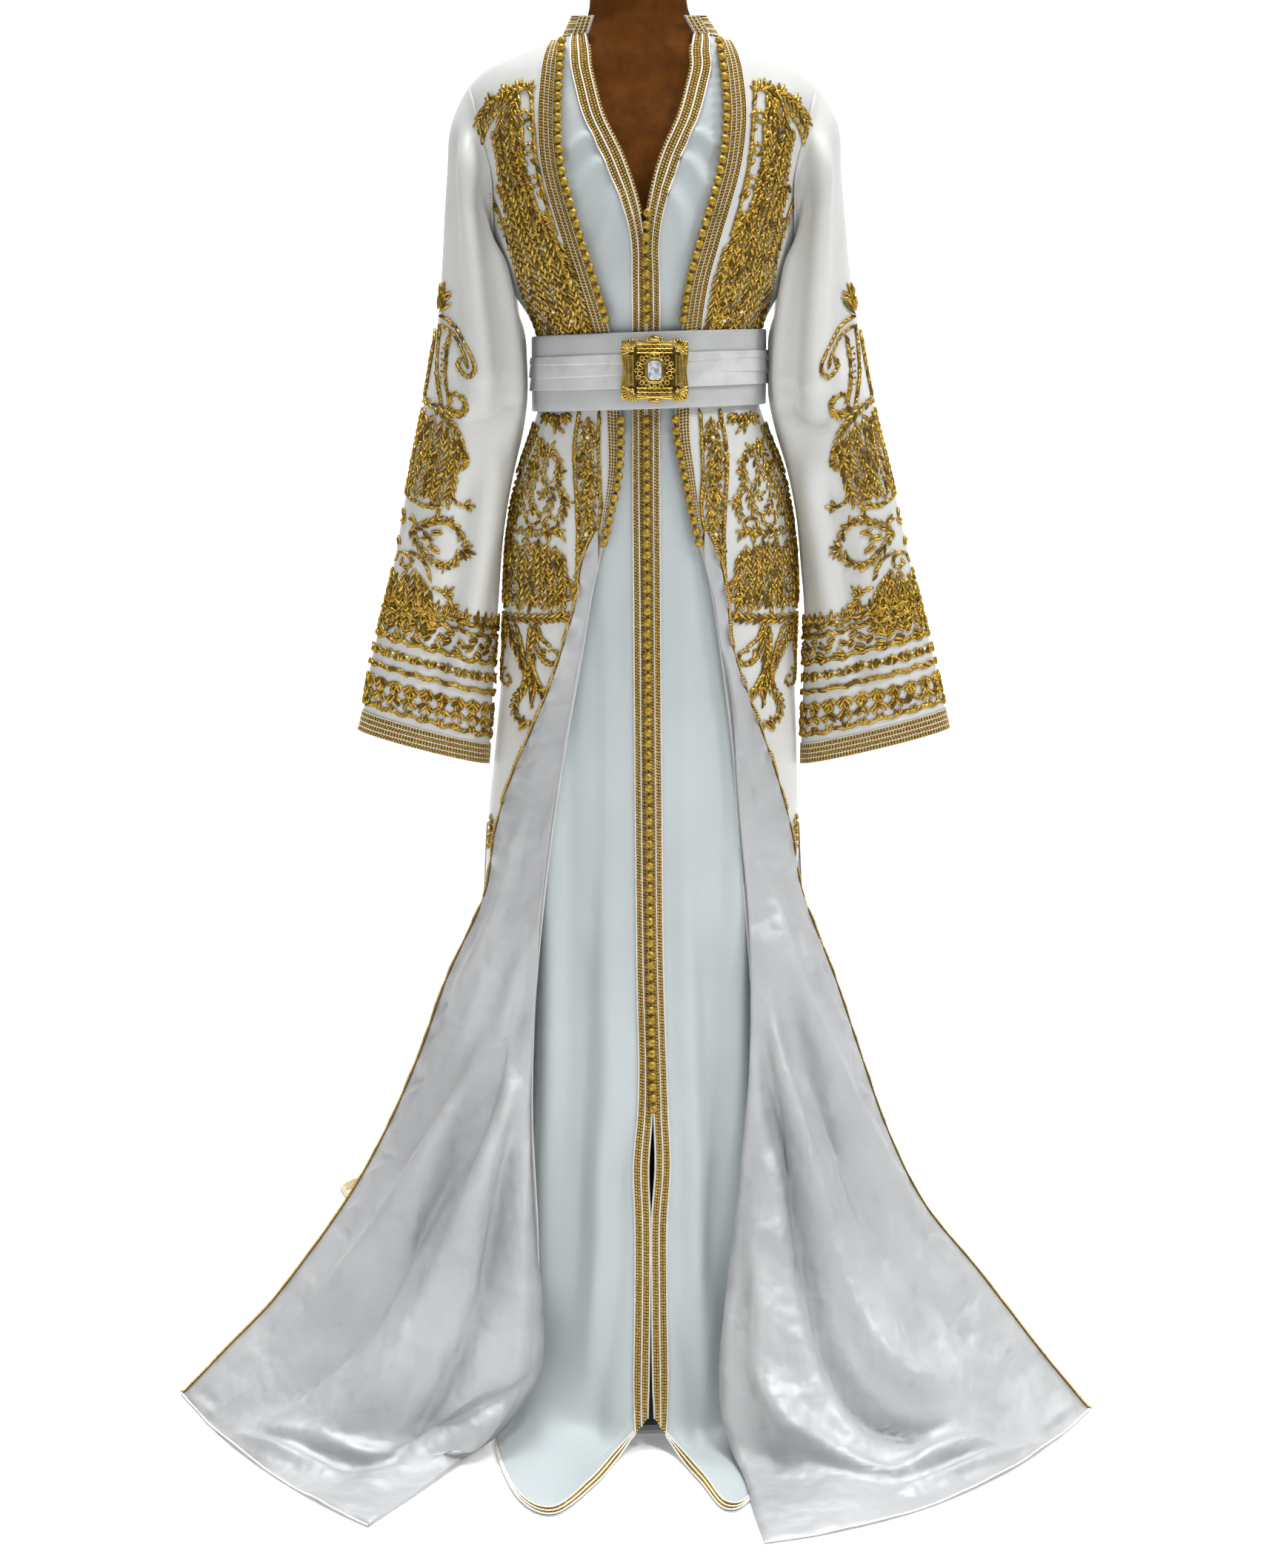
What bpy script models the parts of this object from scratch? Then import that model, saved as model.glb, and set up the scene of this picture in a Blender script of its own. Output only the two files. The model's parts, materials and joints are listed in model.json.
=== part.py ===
"""A takchita on a dress form: an inner dress, an open outer dress and their belt.

Metres, +Z up, the front faces -Y, and the floor is at z = 0 under the form's base.
Each cut and sewn piece is its own closed solid.  The cloth pieces are walls on grids
of points: a row of the grid is a section at one height, and a column runs downwards.
What is sewn on a piece is made from that piece's own points, moved out.
"""

import math
from collections import namedtuple

import bmesh
import bpy
from mathutils import Vector

WALL = 0.0015
SEAM = 0.0003

# How far each face of a dress lies outside the form's skin.
INNER_DRESS = 0.0030
OUTER_DRESS = 0.0070
TURNED_BACK = 0.0124

# Half the seam at each side, and the outer face of cloth that lies on the floor.
SIDE_GAP = 0.0005
LYING = 0.0020

PATCH_GAP = 0.0003
PATCH_WALL = 0.0016
BRAID_WALL = 0.0012
CORD_RADIUS = 0.0015
CORD_GAP = 0.0006
CORD_LIFT = 0.0005

SIDE_ANGLE = math.pi / 2

Colour = namedtuple("Colour", "red green blue roughness metallic")
VELVET = Colour(0.090, 0.038, 0.014, 0.90, 0.0)
ICE_SATIN = Colour(0.640, 0.720, 0.760, 0.45, 0.0)
IVORY_SATIN = Colour(0.740, 0.730, 0.690, 0.50, 0.0)
SILVER_SATIN = Colour(0.600, 0.640, 0.700, 0.40, 0.0)
GOLD_THREAD = Colour(0.480, 0.310, 0.070, 0.45, 0.6)
BELT_LEATHER = Colour(0.520, 0.540, 0.550, 0.50, 0.0)
SASH_SATIN = Colour(0.600, 0.620, 0.620, 0.40, 0.0)
GOLD_METAL = Colour(0.760, 0.560, 0.160, 0.25, 1.0)
CLEAR_STONE = Colour(0.850, 0.880, 0.900, 0.05, 0.0)
DARK_METAL = Colour(0.060, 0.055, 0.050, 0.40, 0.8)
WHITE_ENAMEL = Colour(0.700, 0.710, 0.720, 0.45, 0.0)

# The form from the top of its neck to below the hips.
Level = namedtuple("Level", "height centre half front back")
FORM = (
    Level(1.500, -0.005, 0.0470, 0.036, 0.054),
    Level(1.462, -0.005, 0.0480, 0.037, 0.056),
    Level(1.440, -0.004, 0.0520, 0.039, 0.059),
    Level(1.426, -0.003, 0.0620, 0.043, 0.062),
    Level(1.414, -0.001, 0.0820, 0.047, 0.066),
    Level(1.400, 0.000, 0.1170, 0.053, 0.072),
    Level(1.384, 0.000, 0.1500, 0.060, 0.078),
    Level(1.366, 0.000, 0.1700, 0.068, 0.084),
    Level(1.335, 0.000, 0.1740, 0.081, 0.092),
    Level(1.295, 0.000, 0.1640, 0.094, 0.096),
    Level(1.215, 0.001, 0.1460, 0.106, 0.089),
    Level(1.175, 0.003, 0.1320, 0.100, 0.082),
    Level(1.135, 0.005, 0.1105, 0.085, 0.074),
    Level(1.100, 0.006, 0.1025, 0.079, 0.069),
    Level(1.065, 0.006, 0.1030, 0.079, 0.071),
    Level(1.030, 0.007, 0.1130, 0.083, 0.079),
    Level(0.985, 0.008, 0.1290, 0.089, 0.093),
    Level(0.940, 0.008, 0.1380, 0.092, 0.103),
    Level(0.870, 0.008, 0.1440, 0.093, 0.109),
    Level(0.800, 0.006, 0.1440, 0.090, 0.105),
)
FORM_BOTTOM = FORM[-1].height
FORM_SIDES = 20
FORM_FOOT_DROP = 0.030
FORM_FOOT_SHARE = 0.75
PANEL_HEIGHTS = tuple(row.height for row in FORM[4:])

# Where the cloth hangs past the form, at the shoulders and under the armholes.
Ease = namedtuple("Ease", "height ease")
FORM_EASE = (
    Ease(1.426, 0.0),
    Ease(1.412, 0.0015),
    Ease(1.395, 0.0020),
    Ease(1.370, 0.0070),
    Ease(1.215, 0.0070),
    Ease(1.175, 0.0010),
)

# Below the form each dress hangs by itself: the outer face of its cloth.
INNER_SKIRT = (
    Level(0.700, 0.004, 0.1480, 0.101, 0.116),
    Level(0.560, 0.001, 0.1490, 0.116, 0.126),
    Level(0.400, 0.000, 0.1510, 0.134, 0.140),
    Level(0.240, 0.000, 0.1540, 0.150, 0.152),
    Level(0.120, 0.000, 0.1570, 0.158, 0.160),
    Level(0.000, 0.000, 0.1600, 0.162, 0.166),
)
OUTER_SKIRT = (
    Level(0.700, 0.003, 0.1570, 0.108, 0.124),
    Level(0.620, 0.000, 0.1620, 0.117, 0.132),
    Level(0.500, -0.002, 0.1650, 0.138, 0.145),
    Level(0.400, 0.000, 0.1680, 0.158, 0.158),
    Level(0.300, 0.000, 0.1710, 0.172, 0.175),
    Level(0.200, 0.000, 0.1730, 0.182, 0.195),
    Level(0.100, 0.000, 0.1750, 0.188, 0.210),
    Level(0.000, 0.000, 0.1760, 0.190, 0.220),
)
SLIT_TOP = 0.620

BASE_RADIUS = 0.120
BASE_HEIGHT = 0.008
BASE_SIDES = 32
POLE_RADIUS = 0.014
POLE_SIDES = 16

# The inner dress: its panels, its neckline and the line down its front.
INNER_TOP = 1.419
INNER_HEIGHTS = (INNER_TOP,) + PANEL_HEIGHTS + (0.660, 0.500, 0.345, 0.290, 0.240, 0.160, 0.062)
INNER_COLUMNS = 7
INNER_BACK_HEIGHTS = (INNER_TOP,) + PANEL_HEIGHTS + (0.620, 0.400, 0.180, LYING)
INNER_BACK_COLUMNS = 12
Neck = namedtuple("Neck", "height centre half")
NECKLINE = (
    Neck(1.420, -0.003, 0.0530),
    Neck(1.400, -0.003, 0.0500),
    Neck(1.384, -0.002, 0.0495),
    Neck(1.355, -0.002, 0.0420),
    Neck(1.326, -0.002, 0.0337),
    Neck(1.292, -0.001, 0.0170),
    Neck(1.258, 0.001, 0.0008),
    Neck(1.130, 0.003, SEAM / 2),
    Neck(1.016, 0.003, SEAM / 2),
    Neck(0.871, 0.004, SEAM / 2),
    Neck(0.724, 0.005, SEAM / 2),
    Neck(0.500, 0.007, SEAM / 2),
    Neck(0.345, 0.010, SEAM / 2),
    Neck(0.290, 0.009, 0.0025),
    Neck(0.240, 0.008, SEAM / 2),
    Neck(0.100, 0.008, SEAM / 2),
    Neck(0.060, 0.008, 0.0014),
)

# The braid beside the neckline, the buttons and the slit, and round the hem.
Strip = namedtuple("Strip", "height width")
INNER_BRAID = (
    Strip(1.400, 0.0210),
    Strip(1.290, 0.0210),
    Strip(1.240, 0.0140),
    Strip(0.500, 0.0140),
    Strip(0.300, 0.0170),
)
HEM_BRAID = 0.0170

COLLAR_COLUMNS = 16
COLLAR_TOP = 1.441
COLLAR_DIP = 0.006
COLLAR_STAND_OFF = 0.0150
COLLAR_HALF_OPEN = 0.051
COLLAR_SEAM = 0.0005

# The ball buttons, sewn side by side on a cord.
BUTTON_TOP = 1.243
BUTTON_BOTTOM = 0.345
OUTER_BUTTON_TOP = 1.408
OUTER_BUTTON_BOTTOM = 0.912
INNER_PITCH = 0.0110
OUTER_PITCH = 0.0104
BUTTON_WIDTH = 0.0090
BUTTON_RISE = 0.0062
BUTTON_PAST_EDGE = 0.001
BUTTON_NECK = 0.45
BUTTON_CROWN = 0.56

# The hem of the inner dress on the floor, from the front line out to the side.
FIRST_FOOT = 0.14
FLOOR_STEPS = (0.40, 0.74)
CORNER_REACH = 0.30
Foot = namedtuple("Foot", "share across deep height")
HEM_LEFT = (
    Foot(0.00, 0.0052, -0.1620, 0.0340),
    Foot(0.14, -0.0085, -0.1700, 0.0180),
    Foot(0.30, -0.0283, -0.2030, 0.0018),
    Foot(0.46, -0.0570, -0.2870, 0.0018),
    Foot(0.60, -0.0930, -0.341, 0.0018),
    Foot(0.74, -0.1240, -0.290, 0.0018),
    Foot(0.87, -0.1480, -0.170, 0.0018),
    Foot(1.00, -0.1590, -0.002, 0.0018),
)
HEM_RIGHT = (
    Foot(0.00, 0.0114, -0.1620, 0.0340),
    Foot(0.14, 0.0240, -0.1700, 0.0160),
    Foot(0.30, 0.0430, -0.2130, 0.0018),
    Foot(0.46, 0.0620, -0.2720, 0.0018),
    Foot(0.60, 0.0830, -0.328, 0.0018),
    Foot(0.74, 0.1050, -0.300, 0.0018),
    Foot(0.87, 0.1330, -0.180, 0.0018),
    Foot(1.00, 0.1590, -0.002, 0.0018),
)

# The outer dress: its panels, and how far its hidden front reaches round the side.
OUTER_HEIGHTS = PANEL_HEIGHTS + (0.710, 0.620, 0.540, 0.440, 0.340, 0.230, 0.110)
OUTER_COLUMNS = 11
BAND_COLUMNS = 3
BACK_COLUMNS = 12
Hidden = namedtuple("Hidden", "height turn")
HIDDEN_SIDE = (
    Hidden(0.620, 90.0),
    Hidden(0.500, 85.0),
    Hidden(0.400, 78.0),
    Hidden(0.300, 70.0),
    Hidden(0.200, 61.0),
    Hidden(0.110, 50.0),
)
BAND = (
    Strip(1.414, 0.0240),
    Strip(1.330, 0.0280),
    Strip(1.045, 0.0260),
    Strip(0.988, 0.0230),
    Strip(0.890, 0.0120),
)
BAND_END = 0.890
BAND_SHARE = 0.60

# The front edge of the outer dress, then the line on which it is turned back.
Edge = namedtuple("Edge", "height left right")
FRONT_EDGE = (
    Edge(1.414, -0.0790, 0.0740),
    Edge(1.373, -0.0826, 0.0804),
    Edge(1.330, -0.0835, 0.0820),
    Edge(1.290, -0.0808, 0.0772),
    Edge(1.255, -0.0730, 0.0665),
    Edge(1.215, -0.0600, 0.0560),
    Edge(1.175, -0.0472, 0.0450),
    Edge(1.135, -0.0350, 0.0390),
    Edge(1.100, -0.0270, 0.0360),
    Edge(1.045, -0.0218, 0.0319),
    Edge(0.988, -0.0240, 0.0405),
    Edge(0.951, -0.0313, 0.0480),
    Edge(0.915, -0.0400, 0.0560),
    Edge(0.870, -0.0500, 0.0680),
    Edge(0.810, -0.0600, 0.0770),
    Edge(0.750, -0.0710, 0.0870),
    Edge(0.670, -0.0850, 0.0930),
    Edge(0.600, -0.0945, 0.0984),
    Edge(0.510, -0.1047, 0.1067),
    Edge(0.420, -0.1111, 0.1110),
    Edge(0.340, -0.1126, 0.1060),
    Edge(0.260, -0.1090, 0.0970),
    Edge(0.160, -0.1040, 0.0830),
    Edge(0.090, -0.1060, 0.0800),
)
# The gold edge of the turned back part while it still lies on the dress.
GOLD_EDGE = (
    Edge(0.900, -0.0580, 0.0740),
    Edge(0.870, -0.0620, 0.0800),
    Edge(0.810, -0.0784, 0.0872),
    Edge(0.750, -0.0985, 0.1078),
    Edge(0.686, -0.1267, 0.1297),
    Edge(0.623, -0.1459, 0.1468),
    Edge(0.560, -0.1560, 0.1580),
)
TURN_HEIGHTS = (0.900, 0.865, 0.820, 0.770, 0.720, 0.670, 0.620, 0.560)
TURN_COLUMNS = 10

# The trains: the fold (or slit edge), the belly between, and the gold edge.
# Their ripples stand out from the cloth that hangs and up from the cloth that lies.
TRAIN_RIPPLES = 2.5
TRAIN_RIPPLE_DEPTH = 0.012
TRAIN_RISES_FROM = 0.120
TRAIN_LEAN = 0.60
TRAIN_FADE_IN = 4
TRAIN_FADE_OUT = 5
Train = namedtuple("Train", "fold belly gold")
TRAIN_LEFT = (
    Train((-0.1075, -0.121, 0.475), (-0.160, -0.112, 0.470), (-0.2028, -0.046, 0.465)),
    Train((-0.1130, -0.132, 0.385), (-0.180, -0.120, 0.385), (-0.2318, -0.040, 0.385)),
    Train((-0.1140, -0.142, 0.300), (-0.203, -0.134, 0.300), (-0.2669, -0.034, 0.304)),
    Train((-0.1085, -0.149, 0.215), (-0.228, -0.150, 0.205), (-0.3100, -0.026, 0.225)),
    Train((-0.1010, -0.155, 0.145), (-0.252, -0.172, 0.120), (-0.3600, -0.018, 0.152)),
    Train((-0.1030, -0.160, 0.085), (-0.276, -0.192, 0.055), (-0.4036, -0.014, 0.096)),
    Train((-0.1215, -0.165, 0.048), (-0.300, -0.204, 0.022), (-0.4420, -0.011, 0.056)),
    Train((-0.1500, -0.172, 0.016), (-0.322, -0.212, 0.006), (-0.4680, -0.009, 0.028)),
    Train((-0.1850, -0.215, 0.006), (-0.343, -0.218, 0.002), (-0.4850, -0.007, 0.010)),
    Train((-0.2230, -0.288, 0.003), (-0.365, -0.222, 0.002), (-0.4920, -0.006, 0.003)),
    Train((-0.2610, -0.363, 0.002), (-0.388, -0.206, 0.002), (-0.4960, -0.005, 0.002)),
)
TRAIN_RIGHT = (
    Train((0.1085, -0.121, 0.475), (0.160, -0.112, 0.470), (0.1988, -0.046, 0.465)),
    Train((0.1070, -0.132, 0.385), (0.178, -0.122, 0.385), (0.2259, -0.040, 0.385)),
    Train((0.0990, -0.146, 0.300), (0.198, -0.138, 0.300), (0.2560, -0.034, 0.300)),
    Train((0.0895, -0.160, 0.215), (0.220, -0.158, 0.205), (0.2980, -0.030, 0.216)),
    Train((0.0810, -0.172, 0.142), (0.244, -0.184, 0.120), (0.3560, -0.026, 0.143)),
    Train((0.0765, -0.184, 0.090), (0.262, -0.208, 0.055), (0.3950, -0.028, 0.092)),
    Train((0.0790, -0.194, 0.048), (0.276, -0.228, 0.022), (0.4260, -0.031, 0.052)),
    Train((0.0890, -0.214, 0.018), (0.288, -0.246, 0.006), (0.4480, -0.036, 0.026)),
    Train((0.1000, -0.258, 0.008), (0.298, -0.262, 0.002), (0.4620, -0.042, 0.010)),
    Train((0.1060, -0.330, 0.003), (0.306, -0.276, 0.002), (0.4690, -0.048, 0.003)),
    Train((0.1140, -0.402, 0.002), (0.312, -0.284, 0.002), (0.4720, -0.054, 0.002)),
)

# The back of the outer dress below the slits, out to the hem of its train.
Trail = namedtuple("Trail", "height left right edge_deep deep")
BACK_TRAIL = (
    Trail(0.5400, 0.1670, 0.1670, 0.026, 0.141),
    Trail(0.4300, 0.1755, 0.1755, 0.051, 0.160),
    Trail(0.3200, 0.1865, 0.1860, 0.076, 0.185),
    Trail(0.2200, 0.1995, 0.1980, 0.103, 0.218),
    Trail(0.1300, 0.2180, 0.2130, 0.137, 0.268),
    Trail(0.0600, 0.2420, 0.2320, 0.185, 0.340),
    Trail(0.0180, 0.2720, 0.2560, 0.255, 0.432),
    Trail(0.0045, 0.3080, 0.2820, 0.360, 0.550),
    Trail(0.0020, 0.3440, 0.3070, 0.500, 0.690),
    Trail(0.0020, 0.3990, 0.3400, 0.745, 0.905),
    Trail(0.0020, 0.4060, 0.3450, 0.768, 0.928),
)
BACK_FOLDS = 4
BACK_FOLD_DEPTH = 0.012
BACK_RISES_FROM = 0.080
BACK_FADE = 4
NARROW_END = 0.35

# The armhole, seen from the side, and the sleeves.
ARMHOLE_TOP = 1.366
ARMHOLE_BOTTOM = 1.215
ARMHOLE_DEEP = 0.042
ARMHOLE_SHY = 0.030
SLEEVE_SIDES = 12
SLEEVE_ROWS = 13
SLEEVE_START = 0.0020
SLEEVE_CLEAR = 0.0125
Ring = namedtuple("Ring", "outer_x outer_z inner_x inner_z deep centre")
SLEEVE_LEFT = (
    Ring(-0.1930, 1.336, -0.1620, 1.192, 0.046, -0.004),
    Ring(-0.1990, 1.270, -0.1480, 1.160, 0.048, -0.008),
    Ring(-0.2030, 1.205, -0.1360, 1.120, 0.048, -0.012),
    Ring(-0.2090, 1.135, -0.1260, 1.070, 0.047, -0.014),
    Ring(-0.2210, 1.066, -0.1240, 1.015, 0.045, -0.016),
    Ring(-0.2350, 0.996, -0.1340, 0.955, 0.043, -0.018),
    Ring(-0.2490, 0.928, -0.1430, 0.893, 0.038, -0.018),
    Ring(-0.2620, 0.862, -0.1500, 0.830, 0.035, -0.018),
    Ring(-0.2780, 0.802, -0.1540, 0.770, 0.032, -0.018),
    Ring(-0.2885, 0.742, -0.1580, 0.707, 0.030, -0.018),
    Ring(-0.2940, 0.721, -0.1595, 0.686, 0.030, -0.018),
)
SLEEVE_RIGHT = (
    Ring(0.1960, 1.336, 0.1640, 1.192, 0.046, -0.004),
    Ring(0.2020, 1.270, 0.1520, 1.160, 0.048, -0.008),
    Ring(0.2080, 1.205, 0.1420, 1.120, 0.048, -0.012),
    Ring(0.2180, 1.135, 0.1360, 1.070, 0.047, -0.014),
    Ring(0.2320, 1.066, 0.1380, 1.015, 0.045, -0.016),
    Ring(0.2490, 0.996, 0.1500, 0.955, 0.043, -0.018),
    Ring(0.2660, 0.928, 0.1610, 0.893, 0.038, -0.018),
    Ring(0.2810, 0.862, 0.1660, 0.830, 0.035, -0.018),
    Ring(0.2980, 0.802, 0.1650, 0.770, 0.032, -0.018),
    Ring(0.3120, 0.744, 0.1640, 0.707, 0.030, -0.018),
    Ring(0.3170, 0.723, 0.1640, 0.686, 0.030, -0.018),
)

# The belt: a leather band, a pleated sash round its middle, and the buckle.
BELT_HEIGHT = 0.076
BELT_MIDDLE = 1.0885
BELT_TILT = 0.032
BELT_CENTRE = 0.006
BELT_HALF = 0.1174
BELT_FRONT = 0.0936
BELT_BACK = 0.0848
BELT_WALL = 0.0025
BELT_SIDES = 24
BELT_CLEAR = 0.0465
SASH_HEIGHT = 0.034
SASH_WALL = 0.0012
SASH_PLEATS = 3
PLEAT_RISE = 0.0009
PLEAT_STEP = 0.0012
BUCKLE_PLACE = (0.0115, 1.0885)
BUCKLE_SIZE = (0.068, 0.062)
BUCKLE_STEPS = 24
BUCKLE_BODY = 0.975
BUCKLE_LOBE = 0.10
BUCKLE_SQUARE = 0.80
Press = namedtuple("Press", "scale depth")
BUCKLE_FACE = (
    Press(1.00, 0.0),
    Press(1.00, 0.0025),
    Press(0.90, 0.0035),
    Press(0.56, 0.0035),
    Press(0.50, 0.0063),
    Press(0.36, 0.0070),
)
STONE_SIZE = (0.0150, 0.0210)
STONE_CUT = 0.0030
STONE_FACE = (
    Press(0.95, 0.0),
    Press(1.00, 0.0014),
    Press(0.62, 0.0040),
)

# The raised gold embroidery on the left, from its outer to its inner side; the
# right has the same shapes, mirrored.
Motif = namedtuple("Motif", "height outer inner")
CHEST = (
    Motif(1.392, -0.128, -0.114),
    Motif(1.352, -0.176, -0.116),
    Motif(1.290, -0.170, -0.109),
    Motif(1.238, -0.155, -0.097),
    Motif(1.190, -0.142, -0.081),
    Motif(1.138, -0.128, -0.062),
)
COLUMN = (
    Motif(1.040, -0.084, -0.046),
    Motif(0.985, -0.084, -0.046),
    Motif(0.920, -0.080, -0.046),
    Motif(0.885, -0.076, -0.060),
)
HIP = (
    Motif(1.040, -0.118, -0.090),
    Motif(0.985, -0.136, -0.090),
    Motif(0.900, -0.152, -0.090),
    Motif(0.870, -0.151, -0.100),
    Motif(0.840, -0.150, -0.084),
    Motif(0.790, -0.148, -0.090),
    Motif(0.740, -0.144, -0.118),
    Motif(0.660, -0.136, -0.126),
)
SLEEVE = (
    Motif(1.190, -0.205, -0.198),
    Motif(1.133, -0.213, -0.174),
    Motif(1.070, -0.220, -0.172),
    Motif(1.043, -0.224, -0.160),
    Motif(0.952, -0.226, -0.155),
    Motif(0.930, -0.240, -0.150),
    Motif(0.904, -0.262, -0.172),
    Motif(0.822, -0.263, -0.203),
)
RIGHT_SLEEVE_WIDER = 1.06
CUFF_BAND_ROWS = 3
FACES_FRONT = -0.15


def clear_scene():
    """Removes every object that the opened file already has."""
    for item in list(bpy.data.objects):
        bpy.data.objects.remove(item, do_unlink=True)


def material_for(name, colour):
    """Makes the plain material of one piece."""
    material = bpy.data.materials.new(name)
    material.use_nodes = True
    shader = material.node_tree.nodes["Principled BSDF"]
    shader.inputs["Base Color"].default_value = (colour.red, colour.green, colour.blue, 1.0)
    shader.inputs["Roughness"].default_value = colour.roughness
    shader.inputs["Metallic"].default_value = colour.metallic
    material.diffuse_color = (colour.red, colour.green, colour.blue, 1.0)
    return material


def place_mesh(name, work, colour):
    """Turns a finished bmesh into a named object with its own material."""
    bmesh.ops.recalc_face_normals(work, faces=work.faces)
    mesh = bpy.data.meshes.new(name)
    work.to_mesh(mesh)
    work.free()
    mesh.materials.append(material_for(name, colour))
    mesh.shade_smooth()
    mesh.set_sharp_from_angle(angle=math.radians(40))
    item = bpy.data.objects.new(name, mesh)
    bpy.context.scene.collection.objects.link(item)
    return item


def harmonic(before, after):
    """The slope at a row that keeps a curve between its rows."""
    if before * after <= 0:
        return 0.0
    return 2 * before * after / (before + after)


def curve_through(keys, values, at):
    """Reads a smooth curve through keys and values, with no overshoot."""
    last = len(keys) - 1
    rising = keys[last] > keys[0]
    if (at <= keys[0]) == rising:
        return values[0]
    if (at >= keys[last]) == rising:
        return values[last]
    step = 0
    while (keys[step + 1] < at) == rising and keys[step + 1] != at:
        step += 1
    widths = [keys[i + 1] - keys[i] for i in range(last)]
    rates = [(values[i + 1] - values[i]) / widths[i] for i in range(last)]

    def tangent(row):
        if row == 0:
            return rates[0]
        if row == last:
            return rates[-1]
        return harmonic(rates[row - 1], rates[row])

    share = (at - keys[step]) / widths[step]
    start, end = values[step], values[step + 1]
    pull_start = tangent(step) * widths[step]
    pull_end = tangent(step + 1) * widths[step]
    return (
        start * (2 * share**3 - 3 * share**2 + 1)
        + pull_start * (share**3 - 2 * share**2 + share)
        + end * (3 * share**2 - 2 * share**3)
        + pull_end * (share**3 - share**2)
    )


def read(table, column, key, at):
    """Reads one named column of a table at a value of its key column."""
    keys = [getattr(row, key) for row in table]
    values = [getattr(row, column) for row in table]
    return curve_through(keys, values, at)


def lean(column, row):
    """How much wider than its thickness a sloping layer is, measured level."""
    above, below = FORM[max(row - 1, 0)], FORM[min(row + 1, len(FORM) - 1)]
    run = getattr(below, column) - getattr(above, column)
    return math.hypot(1.0, run / (above.height - below.height))


def dress_levels(out, skirt):
    """The outer face of a dress: the form moved out, then its own skirt."""
    worn = []
    for index, row in enumerate(FORM):
        half = row.half + out * lean("half", index)
        front = row.front + out * lean("front", index)
        back = row.back + out * lean("back", index)
        worn.append(Level(row.height, row.centre, half, front, back))
    return tuple(worn) + skirt


INNER_LEVELS = dress_levels(INNER_DRESS, INNER_SKIRT)
OUTER_LEVELS = dress_levels(OUTER_DRESS, OUTER_SKIRT)


def on_body(levels, height, angle, out=0.0):
    """A point of a dress: angle 0 is the front, plus 90 degrees the side at +X."""
    half = read(levels, "half", "height", height) + out
    facing = "front" if math.cos(angle) > 0 else "back"
    deep = read(levels, facing, "height", height) + out
    centre = read(levels, "centre", "height", height)
    return Vector((centre + half * math.sin(angle), -deep * math.cos(angle), height))


def angle_at(levels, height, across):
    """The angle at which a front section passes a given x."""
    half = read(levels, "half", "height", height)
    centre = read(levels, "centre", "height", height)
    return math.asin(max(-1.0, min(1.0, (across - centre) / half)))


def turn_for(levels, height, angle, distance):
    """The angle that a distance along the section takes."""
    half = read(levels, "half", "height", height)
    front = read(levels, "front", "height", height)
    return distance / math.hypot(half * math.cos(angle), front * math.sin(angle))


def side_turn(levels, height):
    """How far a panel ends before the side line: a seam's gap, or the armhole."""
    gap = turn_for(levels, height, SIDE_ANGLE, SIDE_GAP)
    return max(gap, armhole_turn(levels, height))


def armhole_turn(levels, height):
    """How far the armhole cuts into a panel at this height, as an angle."""
    middle = (ARMHOLE_TOP + ARMHOLE_BOTTOM) / 2
    reach = (height - middle) / (ARMHOLE_TOP - ARMHOLE_BOTTOM) * 2
    if abs(reach) >= 1:
        return 0.0
    front = read(levels, "front", "height", height)
    return math.asin(ARMHOLE_DEEP * math.sqrt(1 - reach * reach) / front)


def normals_of(points, closed=False):
    """The direction across the cloth at each point of a grid."""
    rows, columns = len(points), len(points[0])
    result = []
    for r in range(rows):
        line = []
        for c in range(columns):
            up, down = points[max(r - 1, 0)][c], points[min(r + 1, rows - 1)][c]
            if closed:
                left = points[r][(c - 1) % (columns - 1)]
                right = points[r][(c + 1) % (columns - 1)]
            else:
                left, right = points[r][max(c - 1, 0)], points[r][min(c + 1, columns - 1)]
            line.append((right - left).cross(up - down).normalized())
        result.append(line)
    return result


def moved(points, normals, distance):
    """A grid moved along its normals."""
    return [
        [p + n * distance for p, n in zip(line, across)]
        for line, across in zip(points, normals)
    ]


def solid_from_grid(name, near, far, colour, cells=None, closed=False):
    """Makes the closed body between two grids, on all cells or on chosen ones."""
    rows, columns = len(near), len(near[0])
    work = bmesh.new()
    place = work.verts.layers.int.new("place")
    bmesh.ops.create_grid(work, x_segments=columns - 1, y_segments=rows - 1, size=1.0)
    work.verts.ensure_lookup_table()
    for index, vert in enumerate(work.verts):
        vert[place] = index
    work.faces.ensure_lookup_table()
    if cells is not None:
        spare = []
        for index, face in enumerate(work.faces):
            if divmod(index, columns - 1) not in cells:
                spare.append(face)
        bmesh.ops.delete(work, geom=spare, context="FACES")
        loose = [vert for vert in work.verts if not vert.link_faces]
        bmesh.ops.delete(work, geom=loose, context="VERTS")
    for vert in work.verts:
        r, c = divmod(vert[place], columns)
        vert.co = near[r][c]
    if closed:
        bmesh.ops.remove_doubles(work, verts=work.verts, dist=1e-6)
    shifts = {} if cells is None else rim_shifts(work, place)
    bmesh.ops.triangulate(work, faces=work.faces, quad_method="FIXED")
    made = bmesh.ops.extrude_face_region(work, geom=list(work.faces))
    for item in made["geom"]:
        if isinstance(item, bmesh.types.BMVert):
            r, c = divmod(item[place], columns)
            item.co = far[r][c]
    for vert in work.verts:
        vert.co += shifts.get(vert[place], Vector())
    return place_mesh(name, work, colour)


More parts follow.
